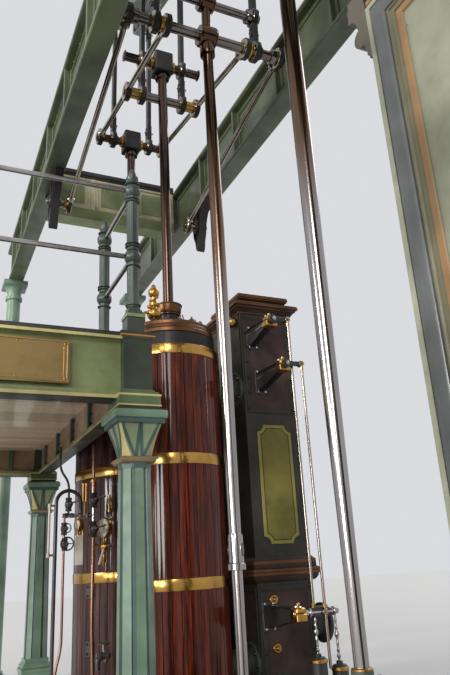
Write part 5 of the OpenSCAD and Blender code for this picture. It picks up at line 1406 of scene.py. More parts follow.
def lever(length, thick=0.036, r0=0.046, r1=0.032):
    """A flat lever along x in the plane of x and z: round ends joined by a waisted web, pins with
    nuts at both ends. The strip along its upper edge is bright metal, a painted highlight."""
    web = prism([(0, -0.032), (length / 2, -0.022), (length, -0.024), (length, 0.024), (length / 2, 0.022),
        (0, 0.032)], thick * 0.7, IRON, 0.003)
    parts = [web.moved((0, thick * 0.35, 0), TO_FRONT)]
    held = nut(r0 * 0.95, 0.02, STEEL).moved((0, -thick / 2, 0), TO_FRONT)
    free = rod((length, -thick / 2 - 0.002, 0), (length, thick / 2 + 0.016, 0), 0.014, 14, STEEL, 0.002)
    for x, r, pin in ((0, r0, held), (length, r1, free)):
        parts += [rod((x, -thick / 2, 0), (x, thick / 2, 0), r, 28, IRON, 0.004), pin]
    edge = prism([(0.02, 0.03), (length / 2, 0.0205), (length - 0.01, 0.0225), (length - 0.01, 0.0265),
        (length / 2, 0.0245), (0.02, 0.034)], thick * 0.66, EDGE)
    parts.append(edge.moved((0, thick * 0.33, 0), TO_FRONT))
    return join(parts)


def spindle(z0, z1):
    """A turned spindle with beads of different sizes."""
    n = z1 - z0
    prof = [(0, 0), (0.011, 0)]
    for at, r, w in ((0.1, 0.02, 0.02), (0.22, 0.017, 0.016), (0.36, 0.014, 0.03), (0.55, 0.022, 0.035),
            (0.68, 0.015, 0.015), (0.85, 0.013, 0.02)):
        prof += [(0.01, n * at - w), (r * 0.8, n * at - w * 0.5), (r, n * at), (r * 0.8, n * at + w * 0.5),
            (0.01, n * at + w)]
    prof += [(0.009, n), (0, n)]
    return lathe(prof, 18, STEEL).moved((0, 0, z0))


def dashpot(top, radius=0.075):
    """A cylinder with a foot, a brass rim and a domed cover with a gland."""
    body = solid([(0.115, 0), (0.115, 0.022), (0.11, 0.025), (radius + 0.006, 0.028), (radius, 0.045),
        (radius, top - 0.05)], 36, IRON)
    rim = solid([(radius + 0.003, top - 0.052), (radius + 0.007, top - 0.047), (radius + 0.007, top - 0.028),
        (radius + 0.002, top - 0.022)], 36, BRASS)
    dome = solid([(radius - 0.004, top - 0.023), (radius * 0.8, top - 0.006), (0.03, top), (0.03, top + 0.02),
        (0.022, top + 0.026)], 36, IRON)
    feet = around(nut(0.026, 0.016, STEEL).moved((0.096, 0, 0.024)), 4, 45)
    return join([body, rim, dome, feet])


parts = []
for p in (rocker_1, rocker_2):
    parts += [bracket_arm(p).moved(p), bearing().moved(p)]
    parts.append(rod((p[0], chest_lo[1] - 0.002, p[2]), (p[0], p[1] - 0.055, p[2]), 0.028, 20, STEEL))
    parts.append(lever(0.16).moved((p[0], p[1] - 0.073, p[2])))
parts.append(bracket_arm(cross, (-0.15, 0.06), (-0.06, 0.05)).moved(cross))
turned = np.array([[0, 1.0, 0], [-1.0, 0, 0], [0, 0, 1.0]])
parts.append(bearing().moved(cross, turned))
x0, x1 = chest_lo[0] + 0.03, chest_lo[0] + 0.52
parts.append(rod((x0, cross[1], cross[2]), (x1, cross[1], cross[2]), 0.027, 24, STEEL, 0.004))
for x in (x0 + 0.185, x0 + 0.445):
    parts.append(rod((x - 0.014, cross[1], cross[2]), (x + 0.014, cross[1], cross[2]), 0.038, 24, STEEL,
        0.005))
a = np.arange(40) * math.pi / 20
oval = np.stack([0.136 * np.cos(a), 0.05 * np.sin(a)], 1)
parts.append(prism(oval, 0.051, IRON, 0.008).moved((chest_lo[0] + 0.325, cross[1] + 0.0255, cross[2]),
    TO_FRONT))
for dx, top in ((0.265, 0.68), (0.485, 0.6)):
    parts.append(dashpot(top).moved((chest_lo[0] + dx, cross[1], 0)))
    parts.append(spindle(top + 0.02, cross[2] - 0.02).moved((chest_lo[0] + dx, cross[1], 0)))
gear_iron = paint("gear_iron", (0.02, 0.017, 0.016), rough=0.28, dirt_amount=0.2)
# Bright metal for the upper edges of brackets and levers: a painted highlight.
edge_highlight_steel = steel("edge_highlight_steel", (0.24, 0.24, 0.25), (0.1, 0.08, 0.07), 0.5, 0.24)
piece("valve_gear_dressed", join(parts), [gear_iron, gear_brass, bright_steel, edge_highlight_steel],
    replaces=["valve_gear"])
rod_ends = []
for k, (p, drop) in enumerate(((rocker_1, 0.0), (rocker_2, 0.47))):
    x, y = p[0] + 0.16, p[1] - 0.055 - 0.036 - 0.0143
    rod_ends.append(rod((x, y, cross[2] - drop), (x, y, p[2]), 0.014, 18, 0, 0.003))
    for z in (p[2], cross[2]):
        rod_ends.append(rod((x, y - 0.014, z), (x, y + 0.014, z), 0.03, 20, 0, 0.004))
        rod_ends.append(nut(0.026, 0.014, 1).moved((x, y - 0.014, z), TO_FRONT))
    for z in (p[2] - 0.055, cross[2] + 0.055):
        rod_ends.append(rod((x, y, z - 0.016), (x, y, z + 0.016), 0.02, 6, 1, 0.002))
piece("valve_rods_dressed", join(rod_ends), [bar_steel, gear_brass], replaces=["valve_rods"])
print("gear parts:", len(parts))

# %% [markdown]
# ## Name plate and gallery deck
#
# A cast brass plate with a raised border and slotted screws sits on the front girder. It is left
# bare. The deck is boards laid across on the girders' lower ledges, painted cream below, under
# chequered iron plates.

# %% Plate and deck
lo, hi = low_high("name_plate")
wide, tall, thick = hi[0] - lo[0], hi[2] - lo[2], hi[1] - lo[1]
border = moulding(wide - 0.05, tall - 0.05, [(0.0, thick * 0.5), (0.004, thick * 0.9), (0.01, thick),
    (0.016, thick), (0.021, thick * 0.75), (0.025, thick * 0.7), (0.025, 0)], 0, closed=False)
inner_line = moulding(wide - 0.1, tall - 0.1, [(0.0, thick * 0.5), (0.0015, thick * 0.62),
    (0.004, thick * 0.62), (0.0055, thick * 0.5)], 1, closed=False)
field = box((-wide / 2 + 0.01, -tall / 2 + 0.01, 0), (wide / 2 - 0.01, tall / 2 - 0.01, thick * 0.55))
# The dark bar across each screw head is its slot: painted shade.
screw = join([lathe([(0, 0), (0.01, 0), (0.01, 0.004), (0.007, 0.0065), (0, 0.007)], 16, 1),
    box((-0.009, -0.0012, 0.0062), (0.009, 0.0012, 0.0074), 0, 2)])
spots = [(sx * (wide / 2 - 0.036), sy * (tall / 2 - 0.036), thick * 0.5) for sx in (-1, 1)
    for sy in (-1, 1)] + [(0, sy * (tall / 2 - 0.036), thick * 0.5) for sy in (-1, 1)]
plate_form = join([border, inner_line, field, copies(screw, spots, spin(35))])
mid = (lo + hi) / 2
piece("name_plate_bare", plate_form.moved((mid[0], hi[1], mid[2]), TO_FRONT),
    [plate_brass, gear_brass, dark_line], replaces=["name_plate"])

lo, hi = low_high("gallery_deck")
board_w, corner_cut, gap = 0.145, 0.13, 0.0015
count = int((hi[1] - lo[1]) / board_w)
step = (hi[1] - lo[1]) / count
boards = []
for i in range(count):
    y0, y1 = lo[1] + i * step + gap, lo[1] + (i + 1) * step - gap
    cut = corner_cut if y0 < lo[1] + corner_cut or y1 > hi[1] - corner_cut else 0.0
    boards.append(box((lo[0] + cut, y0, lo[2]), (hi[0] - cut, y1, lo[2] + 0.034), 0.003))
board_form = join([b.toned(t) for b, t in zip(boards, scatter(count, 5))])
plates = []
cuts = np.linspace(lo[1], hi[1], 5)
for y0, y1 in zip(cuts[:-1], cuts[1:]):
    for x0, x1 in ((lo[0], mid_x), (mid_x, hi[0])):
        ends = (corner_cut if y0 == cuts[0] else gap, corner_cut if y1 == cuts[-1] else gap)
        plates.append(box((x0 + gap, y0 + ends[0], lo[2] + 0.034), (x1 - gap, y1 - ends[1], hi[2] - 0.002),
            0.002, 1))
bar_form = prism([(-0.016, 0), (-0.006, -0.004), (0.006, -0.004), (0.016, 0), (0.006, 0.004), (-0.006, 0.004)],
    0.002, 1)
gx, gy = np.meshgrid(np.arange(lo[0] + 0.16, hi[0] - 0.14, 0.075),
    np.arange(lo[1] + 0.16, hi[1] - 0.14, 0.075))
odd = (np.round((gx - lo[0]) / 0.075).astype(int) + np.round((gy - lo[1]) / 0.075).astype(int)) % 2 == 0
flat_z = hi[2] - 0.002
chequers = [copies(bar_form, np.column_stack([gx[m], gy[m], np.full(m.sum(), flat_z)]), spin(a))
    for m, a in ((odd, 45), (~odd, 135))]
deck_cream = wood("deck_cream", (0.74, 0.6, 0.44), (0.6, 0.46, 0.32), gloss=0.4)
deck_iron = paint("deck_iron", (0.1, 0.1, 0.095), rough=0.36, dirt_amount=0.5)
piece("deck_boards_and_plates", join([board_form, *plates, *chequers]), [deck_cream, deck_iron],
    replaces=["gallery_deck"])
print("boards:", count, " chequers:", gx.size)

# %% [markdown]
# ## The pillar
#
# The central pillar is built of cast plates with moulded frames. From each edge inwards come a
# pale strip, a rounded blue-grey band, a dark line, two narrow mouldings, a gold strip and the
# sunk mottled panel. The cap between the stages is a run of beads and hollows across the front and
# back faces, and the frames to left and right rise past it. Frames and cap change finish from one
# step of their profile to the next.

# %% Pillar
PANEL, PALE_EDGE, BAND, SEAM, NARROW, GILT, TORUS = range(7)
lo, hi = low_high("beam_pillar")
stage_w, stage_d, base_top, stage_top, side_top, cap_top, pillar_top = 0.7, 0.8, 0.42, 4.03, 4.35, 4.51, hi[2]
frame_steps = [((0.0, -0.034), PANEL), ((0.0, -0.026), GILT), ((0.006, -0.02), GILT), ((0.04, -0.018), NARROW),
    ((0.044, -0.01), NARROW), ((0.056, -0.007), NARROW), ((0.06, -0.014), NARROW), ((0.074, -0.013), NARROW),
    ((0.08, -0.004), NARROW), ((0.088, -0.003), SEAM), ((0.09, -0.012), SEAM), ((0.096, -0.012), BAND),
    ((0.1, -0.002), BAND), ((0.116, 0.006), BAND), ((0.15, 0.011), BAND), ((0.186, 0.006), BAND),
    ((0.202, -0.003), SEAM), ((0.204, -0.008), SEAM), ((0.209, -0.008), PALE_EDGE), ((0.211, 0.0), PALE_EDGE),
    ((0.2388, 0.0), PALE_EDGE), ((0.2388, -0.034), PALE_EDGE)]


def face_frame(w, h, share=1.0):
    """The mitred frame of one face, with the sunk panel's plane behind it."""
    prof = [(p * share, z) for (p, z), _ in frame_steps]
    ring = moulding(w - 0.48 * share, h - 0.48 * share, prof, closed=False)
    ring.finish = {4: np.repeat([m for _, m in frame_steps[:-1]], 4)}
    hollow = notched(w - 0.48 * share - 0.03, h - 0.48 * share - 0.03, 0.05)
    return join([ring, prism(hollow, 0.006, PANEL, 0.004).moved((0, 0, -0.034))])


def stage(w, d, z0, z1, share=1.0, side_top=None):
    """Four framed faces round a core. The faces to left and right may reach higher, to side_top."""
    core = box((-w / 2 + 0.033, -d / 2 + 0.033, z0), (w / 2 - 0.033, d / 2 - 0.033, z1))
    parts = [core]
    for wide, reach, top, turns in ((w, d, z1, (TO_FRONT, TO_BACK)),
            (d, w, side_top or z1, (TO_RIGHT, TO_LEFT))):
        face = face_frame(wide, top - z0, share)
        parts += [face.moved((0, 0, reach / 2)).moved((0, 0, (z0 + top) / 2), turn) for turn in turns]
    return join(parts)


def bulge(x, z, r, n=8):
    """Half round bead that stands out from (x, z)."""
    a = np.radians(-90 + 180 * np.arange(n + 1) / n)
    return [(x + r * math.cos(t), z + r + r * math.sin(t)) for t in a]


cap_steps = [(BAND, [(0, 0), (0.018, 0), (0.018, 0.022)]), (GILT, bulge(0.018, 0.022, 0.016)),
    (PALE_EDGE, [(0.026, 0.054), (0.026, 0.066)]), (GILT, bulge(0.026, 0.066, 0.018)),
    (NARROW, [(0.04, 0.103), (0.048, 0.107), (0.048, 0.12)]), (TORUS, bulge(0.062, 0.12, 0.062, 14)),
    (SEAM, [(0.076, 0.245), (0.08, 0.246), (0.08, 0.262)]),
    (NARROW, [(0.084, 0.264)] + [(0.14 - 0.056 * math.cos(t), 0.262 + 0.078 * math.sin(t))
    for t in np.linspace(0.05, math.pi / 2, 8)]), (GILT, [(0.15, 0.342), (0.15, 0.362)]),
    (PALE_EDGE, [(0.147, 0.366), (0.147, 0.404)]), (GILT, [(0.15, 0.408), (0.15, 0.43)]),
    (BAND, [(0.138, 0.44), (0.138, 0.48), (0, 0.48)])]
cap_profile = [p for _, pts in cap_steps for p in pts]
cap = prism(cap_profile, stage_w)
cap.finish = {4: np.array([m for m, pts in cap_steps for _ in pts]), len(cap_profile): np.full(2, TORUS)}
caps = join([cap.moved((stage_w / 2, -stage_d / 2, stage_top), TO_LEFT),
    cap.moved((-stage_w / 2, stage_d / 2, stage_top), TO_RIGHT)])
neck = join([box((-stage_w / 2 + 0.03, -stage_d / 2 + 0.03, stage_top - 0.01),
    (stage_w / 2 - 0.03, stage_d / 2 - 0.03, cap_top), 0, PANEL), box((-stage_w / 2, -stage_d / 2, side_top),
    (stage_w / 2, stage_d / 2, side_top + 0.05), 0.012, GILT),
    box((-stage_w / 2 - 0.02, -stage_d / 2, side_top + 0.049), (stage_w / 2 + 0.02, stage_d / 2, cap_top),
    0.012, NARROW)])
base = striped(moulding(stage_w, stage_d, [(0.1, 0), (0.1, 0.36), (0.094, 0.37), (0.094, 0.39), (0.1, 0.4),
    (0.1, 0.42), (0.078, 0.42), (0.078, 0.46), (0.07, 0.465), (0.045, 0.475), (0.02, 0.5), (0.006, 0.54),
    (0.0, 0.55)], BAND), (1, 2, 3, 6), GILT)
pillar_form = join([base, stage(stage_w, stage_d, base_top + 0.12, stage_top, side_top=side_top), caps, neck,
                    stage(stage_w - 0.08, stage_d - 0.08, cap_top - 0.002, pillar_top, 0.86)])
pale_edge = paint("pale_edge", (0.24, 0.25, 0.18), dirt_amount=0.3)
band_grey = paint("band_grey", (0.075, 0.082, 0.082), dirt_amount=0.4, rough=0.3)
narrow_olive = paint("narrow_olive", (0.105, 0.095, 0.045), dirt_amount=0.4)
gilt_line = paint("gilt_line", (0.225, 0.125, 0.045), dirt=(0.1, 0.07, 0.035), dirt_amount=0.6, rough=0.28)
torus_dark = paint("torus_dark", (0.075, 0.062, 0.035), dirt_amount=0.4, rough=0.24)
piece("pillar_dressed", pillar_form, [pillar_green, pale_edge, band_grey, dark_line, narrow_olive, gilt_line,
    torus_dark], replaces=["beam_pillar"])

# %% [markdown]
# ## Places of the pins
#
# The pins of the linkage lie in the plane of the beam. The beam's arm is turned by its tilt, the
# back link's foot is where two circles cross, and the other pins follow because each link moves
# parallel to the back link. Places across the engine count from that plane.

# %% Pins in y and z
TRUNNION, ARM, TILT = np.array([0.0, 8.43]), 5.93, math.asin(1.15 / 5.93)
LINK, RADIUS, BACK, SHARE, FORCE = 2.24, 2.89, 3.12, 0.77, 1.63


def on_beam(arm):
    """A place on the beam's middle line."""
    return TRUNNION + arm * np.array([math.cos(TILT), math.sin(TILT)])


def crossing(a, ra, b, rb):
    """The lower of the two points at the distances ra from a and rb from b."""
    d = np.linalg.norm(b - a)
    u, m = (b - a) / d, (d * d + ra * ra - rb * rb) / (2 * d)
    h = math.sqrt(ra * ra - m * m)
    both = [a + m * u + s * h * np.array([-u[1], u[0]]) for s in (-1, 1)]
    return min(both, key=lambda p: p[1])


fixed_pin = np.array([BACK + RADIUS, TRUNNION[1] - LINK])
beam_end, high_pin, back_pin, force_pin, crank_pin_top = (on_beam(a)
    for a in (ARM, ARM * SHARE, BACK, FORCE, -ARM))
back_foot = crossing(back_pin, LINK, fixed_pin, RADIUS)
link_run = back_foot - back_pin
low_head, high_foot, tie_pin = beam_end + link_run, high_pin + link_run, back_foot - 0.2 * link_run
high_head = TRUNNION + SHARE * (low_head - TRUNNION)
print("heads at", high_head.round(3), low_head.round(3))

# %% [markdown]
# ## Links, bars and shafts
#
# Straps, brasses, gibs and cotters hold the pins of a link, so that wear can be taken up: the
# cotter is a wedge driven through a slot, and the gib keeps the strap from spreading. Round bars
# swell in the middle and end in collars. Each pin shows a turned end with a washer and an oil cup
# over it. The parts are made once for a link that stands on z and then turned to run from pin to pin.

# %% Straps, bars and pins
BLACK, BRIGHT, BRASSY, DARK = range(4)


def between(p, q, x):
    """The place and turn that take a form standing on z to run from p to q, both (y, z), at x."""
    d = (q - p) / np.linalg.norm(q - p)
    return (x, p[0], p[1]), np.stack([[1.0, 0, 0], np.cross([0, d[0], d[1]], [1.0, 0, 0]), [0, d[0], d[1]]], 1)


def eye(x_thick, radius, pin_r=0.055):
    """An eye across x: black rim, brass bush standing proud and a bright line on the edge."""
    t = x_thick / 2
    prof = [(pin_r, -t - 0.004), (pin_r + 0.018, -t - 0.004), (pin_r + 0.02, -t), (radius - 0.008, -t),
        (radius, -t + 0.008), (radius, t - 0.008), (radius - 0.008, t), (pin_r + 0.02, t),
        (pin_r + 0.018, t + 0.004), (pin_r, t + 0.004)]
    form = lathe(prof, 40)
    marks = np.repeat([BRASSY, BRASSY, BRIGHT, BRIGHT, BLACK, BRIGHT, BRIGHT, BRASSY, BRASSY], 40)
    form.finish = {4: marks}
    return form.moved(turn=X_AXIS)


def strap_link(length, thick, radius=0.115):
    """A flat link along z between two eyes, with straps, gib and cotter at both ends."""
    web = prism([(-thick / 2 + 0.01, -0.046), (thick / 2 - 0.01, -0.046), (thick / 2 - 0.01, 0.046),
        (-thick / 2 + 0.01, 0.046)], length - 0.2, BLACK, 0.004).moved((0, 0, 0.1))
    parts = [web, eye(thick, radius), eye(thick, radius).moved((0, 0, length))]
    for z, s in ((0.0, 1), (length, -1)):
        parts.append(box((-thick / 2 + 0.003, -0.056, z + s * 0.09), (thick / 2 - 0.003, 0.056, z + s * 0.34),
            0.006, BLACK))
        parts.append(box((-thick / 2 - 0.014, -0.02, z + s * 0.2), (thick / 2 + 0.014, 0.018, z + s * 0.225),
            0.003, BRIGHT))
        parts.append(box((-thick / 2 - 0.024, -0.014, z + s * 0.226), (thick / 2 + 0.03, 0.014, z + s * 0.245),
            0.003, BRIGHT))
        parts += [rod((sx * (thick / 2 - 0.004), 0, z + s * 0.3), (sx * (thick / 2 + 0.008), 0, z + s * 0.3),
            0.012, 6, BRIGHT) for sx in (-1, 1)]
    return join(parts)


def turned_bar(length, r, eye_t, radius=0.115, swell=1.12):
    """A round bar along z that swells in the middle, with collars and an eye at both ends."""
    t = np.linspace(0, 1, 11)
    shaft = [(r * (1 + (swell - 1) * math.sin(math.pi * k)), 0.16 + (length - 0.32) * k) for k in t]
    prof = [(0, 0.1), (r * 1.75, 0.1), (r * 1.75, 0.135), (r * 1.2, 0.15), (r, 0.16), *shaft[1:-1],
        (r, length - 0.16), (r * 1.2, length - 0.15), (r * 1.75, length - 0.135), (r * 1.75, length - 0.1),
        (0, length - 0.1)]
    return join([lathe(prof, 28, BRIGHT), eye(eye_t, radius), eye(eye_t, radius).moved((0, 0, length))])


def pin_end(radius, proud=0.02, finish=BRIGHT):
    """The end of a pin along +x: washer, rounded end and centre hole."""
    return solid([(radius + 0.022, 0), (radius + 0.022, 0.01), (radius + 0.016, 0.014), (radius, 0.014),
        (radius, proud), (radius - 0.01, proud + 0.01), (0.012, proud + 0.012), (0.004, proud + 0.004)], 32,
        finish).moved(turn=X_AXIS)


def oil_cup(finish=BRASSY):
    """A small screw-in oiler that stands on z = 0."""
    return lathe([(0, 0), (0.009, 0), (0.009, 0.012), (0.02, 0.02), (0.022, 0.044), (0.012, 0.052),
        (0.005, 0.058), (0, 0.06)], 16, finish)


def shaft_along_x(p, half, radius, collars):
    """A polished shaft across the engine with collars given as (x, width, radius, finish)."""
    parts = [rod((-half, p[0], p[1]), (half, p[0], p[1]), radius, 36, BRIGHT, 0.008)]
    for x, w, r, finish in collars:
        for s in (-1, 1):
            parts.append(rod((s * x - w / 2, p[0], p[1]), (s * x + w / 2, p[0], p[1]), r, 36, finish, 0.006))
    return join(parts)


def both_sides(form, x):
    """The form at x and its mirror image at -x."""
    right = form.moved((x, 0, 0))
    return join([right, mirrored(right)])


# The links' bright parts use steel darkened as a painted dark reflection.
link_metals = [black_iron, steel_painted_dark_reflection, gear_brass, dark_steel]
bar_metals = [black_iron, bar_steel, gear_brass, dark_steel]
# The piston rods' steel is nearly black as a painted dark reflection.
piston_metals = [black_iron, piston_steel_dark_reflection, gear_brass, dark_steel]
links = []
for p, q in ((beam_end, low_head), (high_pin, high_foot)):
    at, turn = between(p, q, 0.265)
    one = strap_link(float(np.linalg.norm(q - p)), 0.07).moved(at, turn)
    links.append(join([one, mirrored(one)]))
    links += [copies(oil_cup(), [(s * 0.265, q[0], q[1] + 0.112) for s in (-1, 1)])]
middle = eye(0.07, 0.115).moved((0.265, high_head[0], high_head[1]))
links += [middle, mirrored(middle), shaft_along_x(high_foot, 0.505, 0.055, [(0.36, 0.118, 0.066, BRASSY)])]
piece("main_links_dressed", join(links), link_metals, replaces=["main_links"])

at, turn = between(back_pin, back_foot, 0.575)
one = join([strap_link(LINK, 0.07).moved(at, turn),
    eye(0.07, 0.103, 0.047).moved((0.575, tie_pin[0], tie_pin[1]))])
piece("back_links_dressed", join([one, mirrored(one)]), link_metals, replaces=["back_links"])

at, turn = between(back_foot, low_head, 0.455)
reach = float(np.linalg.norm(low_head - back_foot))
one = join([turned_bar(reach, 0.032, 0.07, swell=1.0).moved(at, turn),
    eye(0.07, 0.115).moved((0.455, high_foot[0], high_foot[1]))])
piece("parallel_bars_dressed", join([one, mirrored(one)]), bar_metals,
    replaces=["parallel_bars"])
at, turn = between(back_foot, fixed_pin, 0.86)
one = turned_bar(RADIUS, 0.03, 0.06, swell=1.0).moved(at, turn)
piece("radius_rods_dressed", join([one, mirrored(one)]), bar_metals, replaces=["radius_rods"])

shaft = shaft_along_x(back_foot, 0.925, 0.055, [(0.51, 0.036, 0.077, BRASSY), (0.79, 0.06, 0.08, BRIGHT),
    (0.905, 0.04, 0.085, BRIGHT), (0.64, 0.024, 0.07, DARK)])
tie = shaft_along_x(tie_pin, 0.64, 0.047, [(0.5097, 0.06, 0.08, BRIGHT), (0.628, 0.024, 0.062, DARK)])
piece("back_shaft_dressed", join([shaft, tie]), link_metals, replaces=["back_shaft"])

journal = solid([(0.15, 0), (0.15, 0.006), (0.142, 0.012), (0.11, 0.012), (0.106, 0.008), (0.03, 0.008),
    (0.026, 0.018), (0.012, 0.018), (0.008, 0.006)], 48, BRIGHT).moved(turn=X_AXIS).moved((0, *TRUNNION))
pins = [shaft_along_x(TRUNNION, 0.594, 0.15, []), both_sides(journal, 0.593)]
for p, half in ((beam_end, 0.315), (high_pin, 0.315), (back_pin, 0.625), (force_pin, 0.215),
        (crank_pin_top, 0.215)):
    pins.append(rod((-half, p[0], p[1]), (half, p[0], p[1]), 0.055, 36, BRIGHT, 0.004))
    pins.append(both_sides(pin_end(0.052).moved((0, p[0], p[1])), half - 0.014))
piece("beam_pins_dressed", join(pins), bar_metals, replaces=["beam_pins"])

# %% [markdown]
# ## Piston rods and their crossheads
#
# The polished rod swells to a collar under a square forged crosshead, and a cotter through the
# block holds it. The crosshead's shaft carries brass collars beside the block and washers and nuts
# at its ends.

# %% Crossheads
def piston(head, y, rod_r, foot):
    """Rod, collar, square block with eased edges, cotter, and the shaft through it."""
    z0, half, r = head[1] - 0.15, 0.1175, rod_r
    rod_part = solid([(r, foot), (r, z0 - 0.098), (r + 0.012, z0 - 0.09), (r + 0.03, z0 - 0.075),
                      (r + 0.032, z0 - 0.02), (r + 0.026, z0 - 0.008),
                      (r + 0.026, z0 + 0.001)], 48, BRIGHT)
    block = box((-half, -half, z0), (half, half, z0 + 0.3), 0.014, BLACK)
    ring = solid([(0.075, z0 + 0.3), (0.075, z0 + 0.312), (0.06, z0 + 0.322), (0.03, z0 + 0.322),
        (0.03, z0 + 0.345), (0.024, z0 + 0.352)], 32, DARK)
    cotter = box((-half - 0.02, -0.012, z0 + 0.055), (half + 0.028, 0.012, z0 + 0.1), 0.004, BRIGHT)
    up = join([rod_part, block, ring, cotter]).moved((0, y, 0))
    shaft = shaft_along_x((y, head[1]), 0.505, 0.055,
        [(0.1395, 0.046, 0.077, BRASSY), (0.214, 0.028, 0.066, DARK), (0.312, 0.02, 0.07, BRIGHT)])
    ends = both_sides(pin_end(0.05, 0.012).moved((0, y, head[1])), 0.491)
    return join([up, shaft, ends])


for side, head, y in (("high", high_head, high_y), ("low", low_head, low_y)):
    lo = low_high(side + "_piston_rod")[0]
    piece(side + "_piston_dressed", piston(head, y, 0.058, lo[2]), piston_metals,
        replaces=[side + "_piston_rod"])

# %% [markdown]
# ## Pump rods
#
# Both pump rods are long forgings that swell in the middle like a column. The lift pump's rod is
# in two lengths, held end to end by a coupling: a sleeve with an oval cotter hole through it and a
# ring below. The hole is a dark oval of painted shade round the cotter. The force pump's rod ends
# in an eye between the beam's plates.

# %% Rods
RODS, LIT, HOLE_SHADE = range(3)
lift_y, coupling = back_foot[0], 1.48
z = np.linspace(0, 1, 17)
top = back_foot[1] - 0.1
swell = [(0.05 + 0.013 * math.sin(math.pi / 2 * min(1,
    k * 1.6)) if k < 0.625 else 0.063 - 0.011 * (k - 0.625) / 0.375,
    coupling + 0.26 + (top - coupling - 0.42) * k) for k in z]
lift = solid([(0.043, 0.52), (0.043, coupling - 0.03), (0.073, coupling - 0.025), (0.073, coupling + 0.02),
    (0.068, coupling + 0.025), (0.061, coupling + 0.027), (0.061, coupling + 0.225), (0.058, coupling + 0.245),
    (0.051, coupling + 0.25), *swell, (0.054, top - 0.155), (0.078, top - 0.15), (0.08, top - 0.145),
    (0.08, top - 0.01), (0.076, top)], 48, RODS)
a = np.arange(28) * 2 * math.pi / 28
# The dark oval is the inside of the cotter hole: painted shade.
slot = prism(np.stack([0.021 * np.cos(a), 0.052 * np.sin(a)], 1), 0.124, HOLE_SHADE, 0.001)
rim = prism(np.stack([0.029 * np.cos(a), 0.062 * np.sin(a)], 1), 0.12, LIT, 0.003)
cotter_at, cotter_turn = (0, 0, coupling + 0.125), spin(38)
across = rim.moved((0, 0.06, 0), TO_FRONT).moved(cotter_at, cotter_turn)
through = slot.moved((0, 0.062, 0), TO_FRONT).moved(cotter_at, cotter_turn)
key = box((-0.006, -0.064, -0.034), (0.006, 0.064, 0.034), 0.003, LIT).moved(cotter_at, cotter_turn)
neck_end = tie_pin - 0.12 * link_run
at, turn = between(back_foot, neck_end, 0.0)
neck_top = float(np.linalg.norm(neck_end - back_foot))
neck = solid([(0.05, 0), (0.05, neck_top - 0.01), (0.042, neck_top)], 32, RODS).moved(at, turn)


def boss(p, length, radius, bore, finish=0):
    """A turned boss across x, open in the middle for its shaft."""
    t = length / 2
    prof = [(bore, -t), (radius - 0.012, -t), (radius - 0.012, -t + 0.008), (radius, -t + 0.02),
        (radius, t - 0.02), (radius - 0.012, t - 0.008), (radius - 0.012, t), (bore, t)]
    return lathe(prof, 40, finish).moved((0, p[0], p[1]), X_AXIS)


lift_all = join([join([lift, across, through, key]).moved((0, lift_y, 0)), neck,
                 boss(back_foot, 0.19, 0.117, 0.055), boss(tie_pin, 0.17, 0.105, 0.047)])
# The rod steel darkens towards the top: a painted dark reflection.
piece("lift_rod_dressed", lift_all, [rod_steel, bright_steel, dark_line],
    replaces=["lift_pump_rod"])

top, foot = force_pin[1], 0.8
run = top - foot
shape = [(0.044 + 0.02 * math.sin(math.pi * k), foot + run * 0.06 + run * 0.9 * k)
    for k in np.linspace(0, 1, 19)]
force = solid([(0.044, foot), *shape, (0.046, top - 0.44), (0.085, top - 0.435), (0.088, top - 0.425),
    (0.088, top - 0.4), (0.08, top - 0.385)], 48, RODS)
jaw = box((-0.065, -0.075, top - 0.43), (0.065, 0.075, top - 0.09), 0.012,
    RODS).moved((0, (FORCE + force_pin[0]) / 2, 0))
pieces = [force.moved((0, FORCE, 0)), jaw, boss(force_pin, 0.154, 0.105, 0.055),
    box((-0.085, force_pin[0] - 0.012, top - 0.3), (0.088, force_pin[0] + 0.016, top - 0.255), 0.004, LIT)]
# The rod steel darkens towards the top: a painted dark reflection.
piece("force_rod_dressed", join(pieces), [rod_steel, bright_steel, dark_line],
    replaces=["force_pump_rod"])

# %% [markdown]
# ## Drains, cocks and gauges beside the low pressure cylinder
#
# Drain and indicator pipes stand in front of the low pressure cylinder. They are iron, copper and
# steel tubes with unions, plug cocks with handwheels or levers, two brass-cased gauges, a sight
# glass and a card plate. Tubes are round sections swept along bent paths. A cock is a turned body
# with a cross bore, and it is made once and set at each place.

# %% Pipework
IRON_PIPE, COPPER, STEEL_PIPE, BRASS_PART, CARD, DIAL, INK = range(7)
pipe_y = 5.16


def at_x(x, z, y=pipe_y):
    """A place in the plane of the pipes."""
    return (x, y, z)


def tube(radius, sides, finish, *places, corner=0.0):
    """A pipe through places (x, z) in that plane, its corners rounded by about the given radius."""
    path = [at_x(x, z) for x, z in places]
    return pipe(bend(path, corner) if corner else path, radius, sides, finish)


def union(p, direction, radius=0.028, finish=STEEL_PIPE):
    """A hexagon union nut with round collars, centred on p along the direction."""
    form = join([solid([(radius, -0.018), (radius * 1.12, -0.012), (radius * 1.12, 0.012), (radius, 0.018)], 6,
        finish), solid([(radius * 0.85, -0.03), (radius * 0.85, 0.03)], 16, finish)])
    return form.moved(p, turn_z_to(direction))


def hand_wheel(radius, spokes=4, finish=IRON_PIPE):
    """A ring of round section on round spokes and a hub, about z."""
    a = np.arange(28) * 2 * math.pi / 28
    ring = sweep(np.stack([radius * np.cos(a), radius * np.sin(a), 0 * a], 1), circle(radius * 0.12, 10),
        close=True, finish=finish)
    spoke = rod((0, 0, 0), (radius, 0, 0), radius * 0.075, 8, finish)
    return join([ring, around(spoke, spokes),
        solid([(0.013, -0.01), (0.013, 0.01), (0.008, 0.015)], 12, finish)])


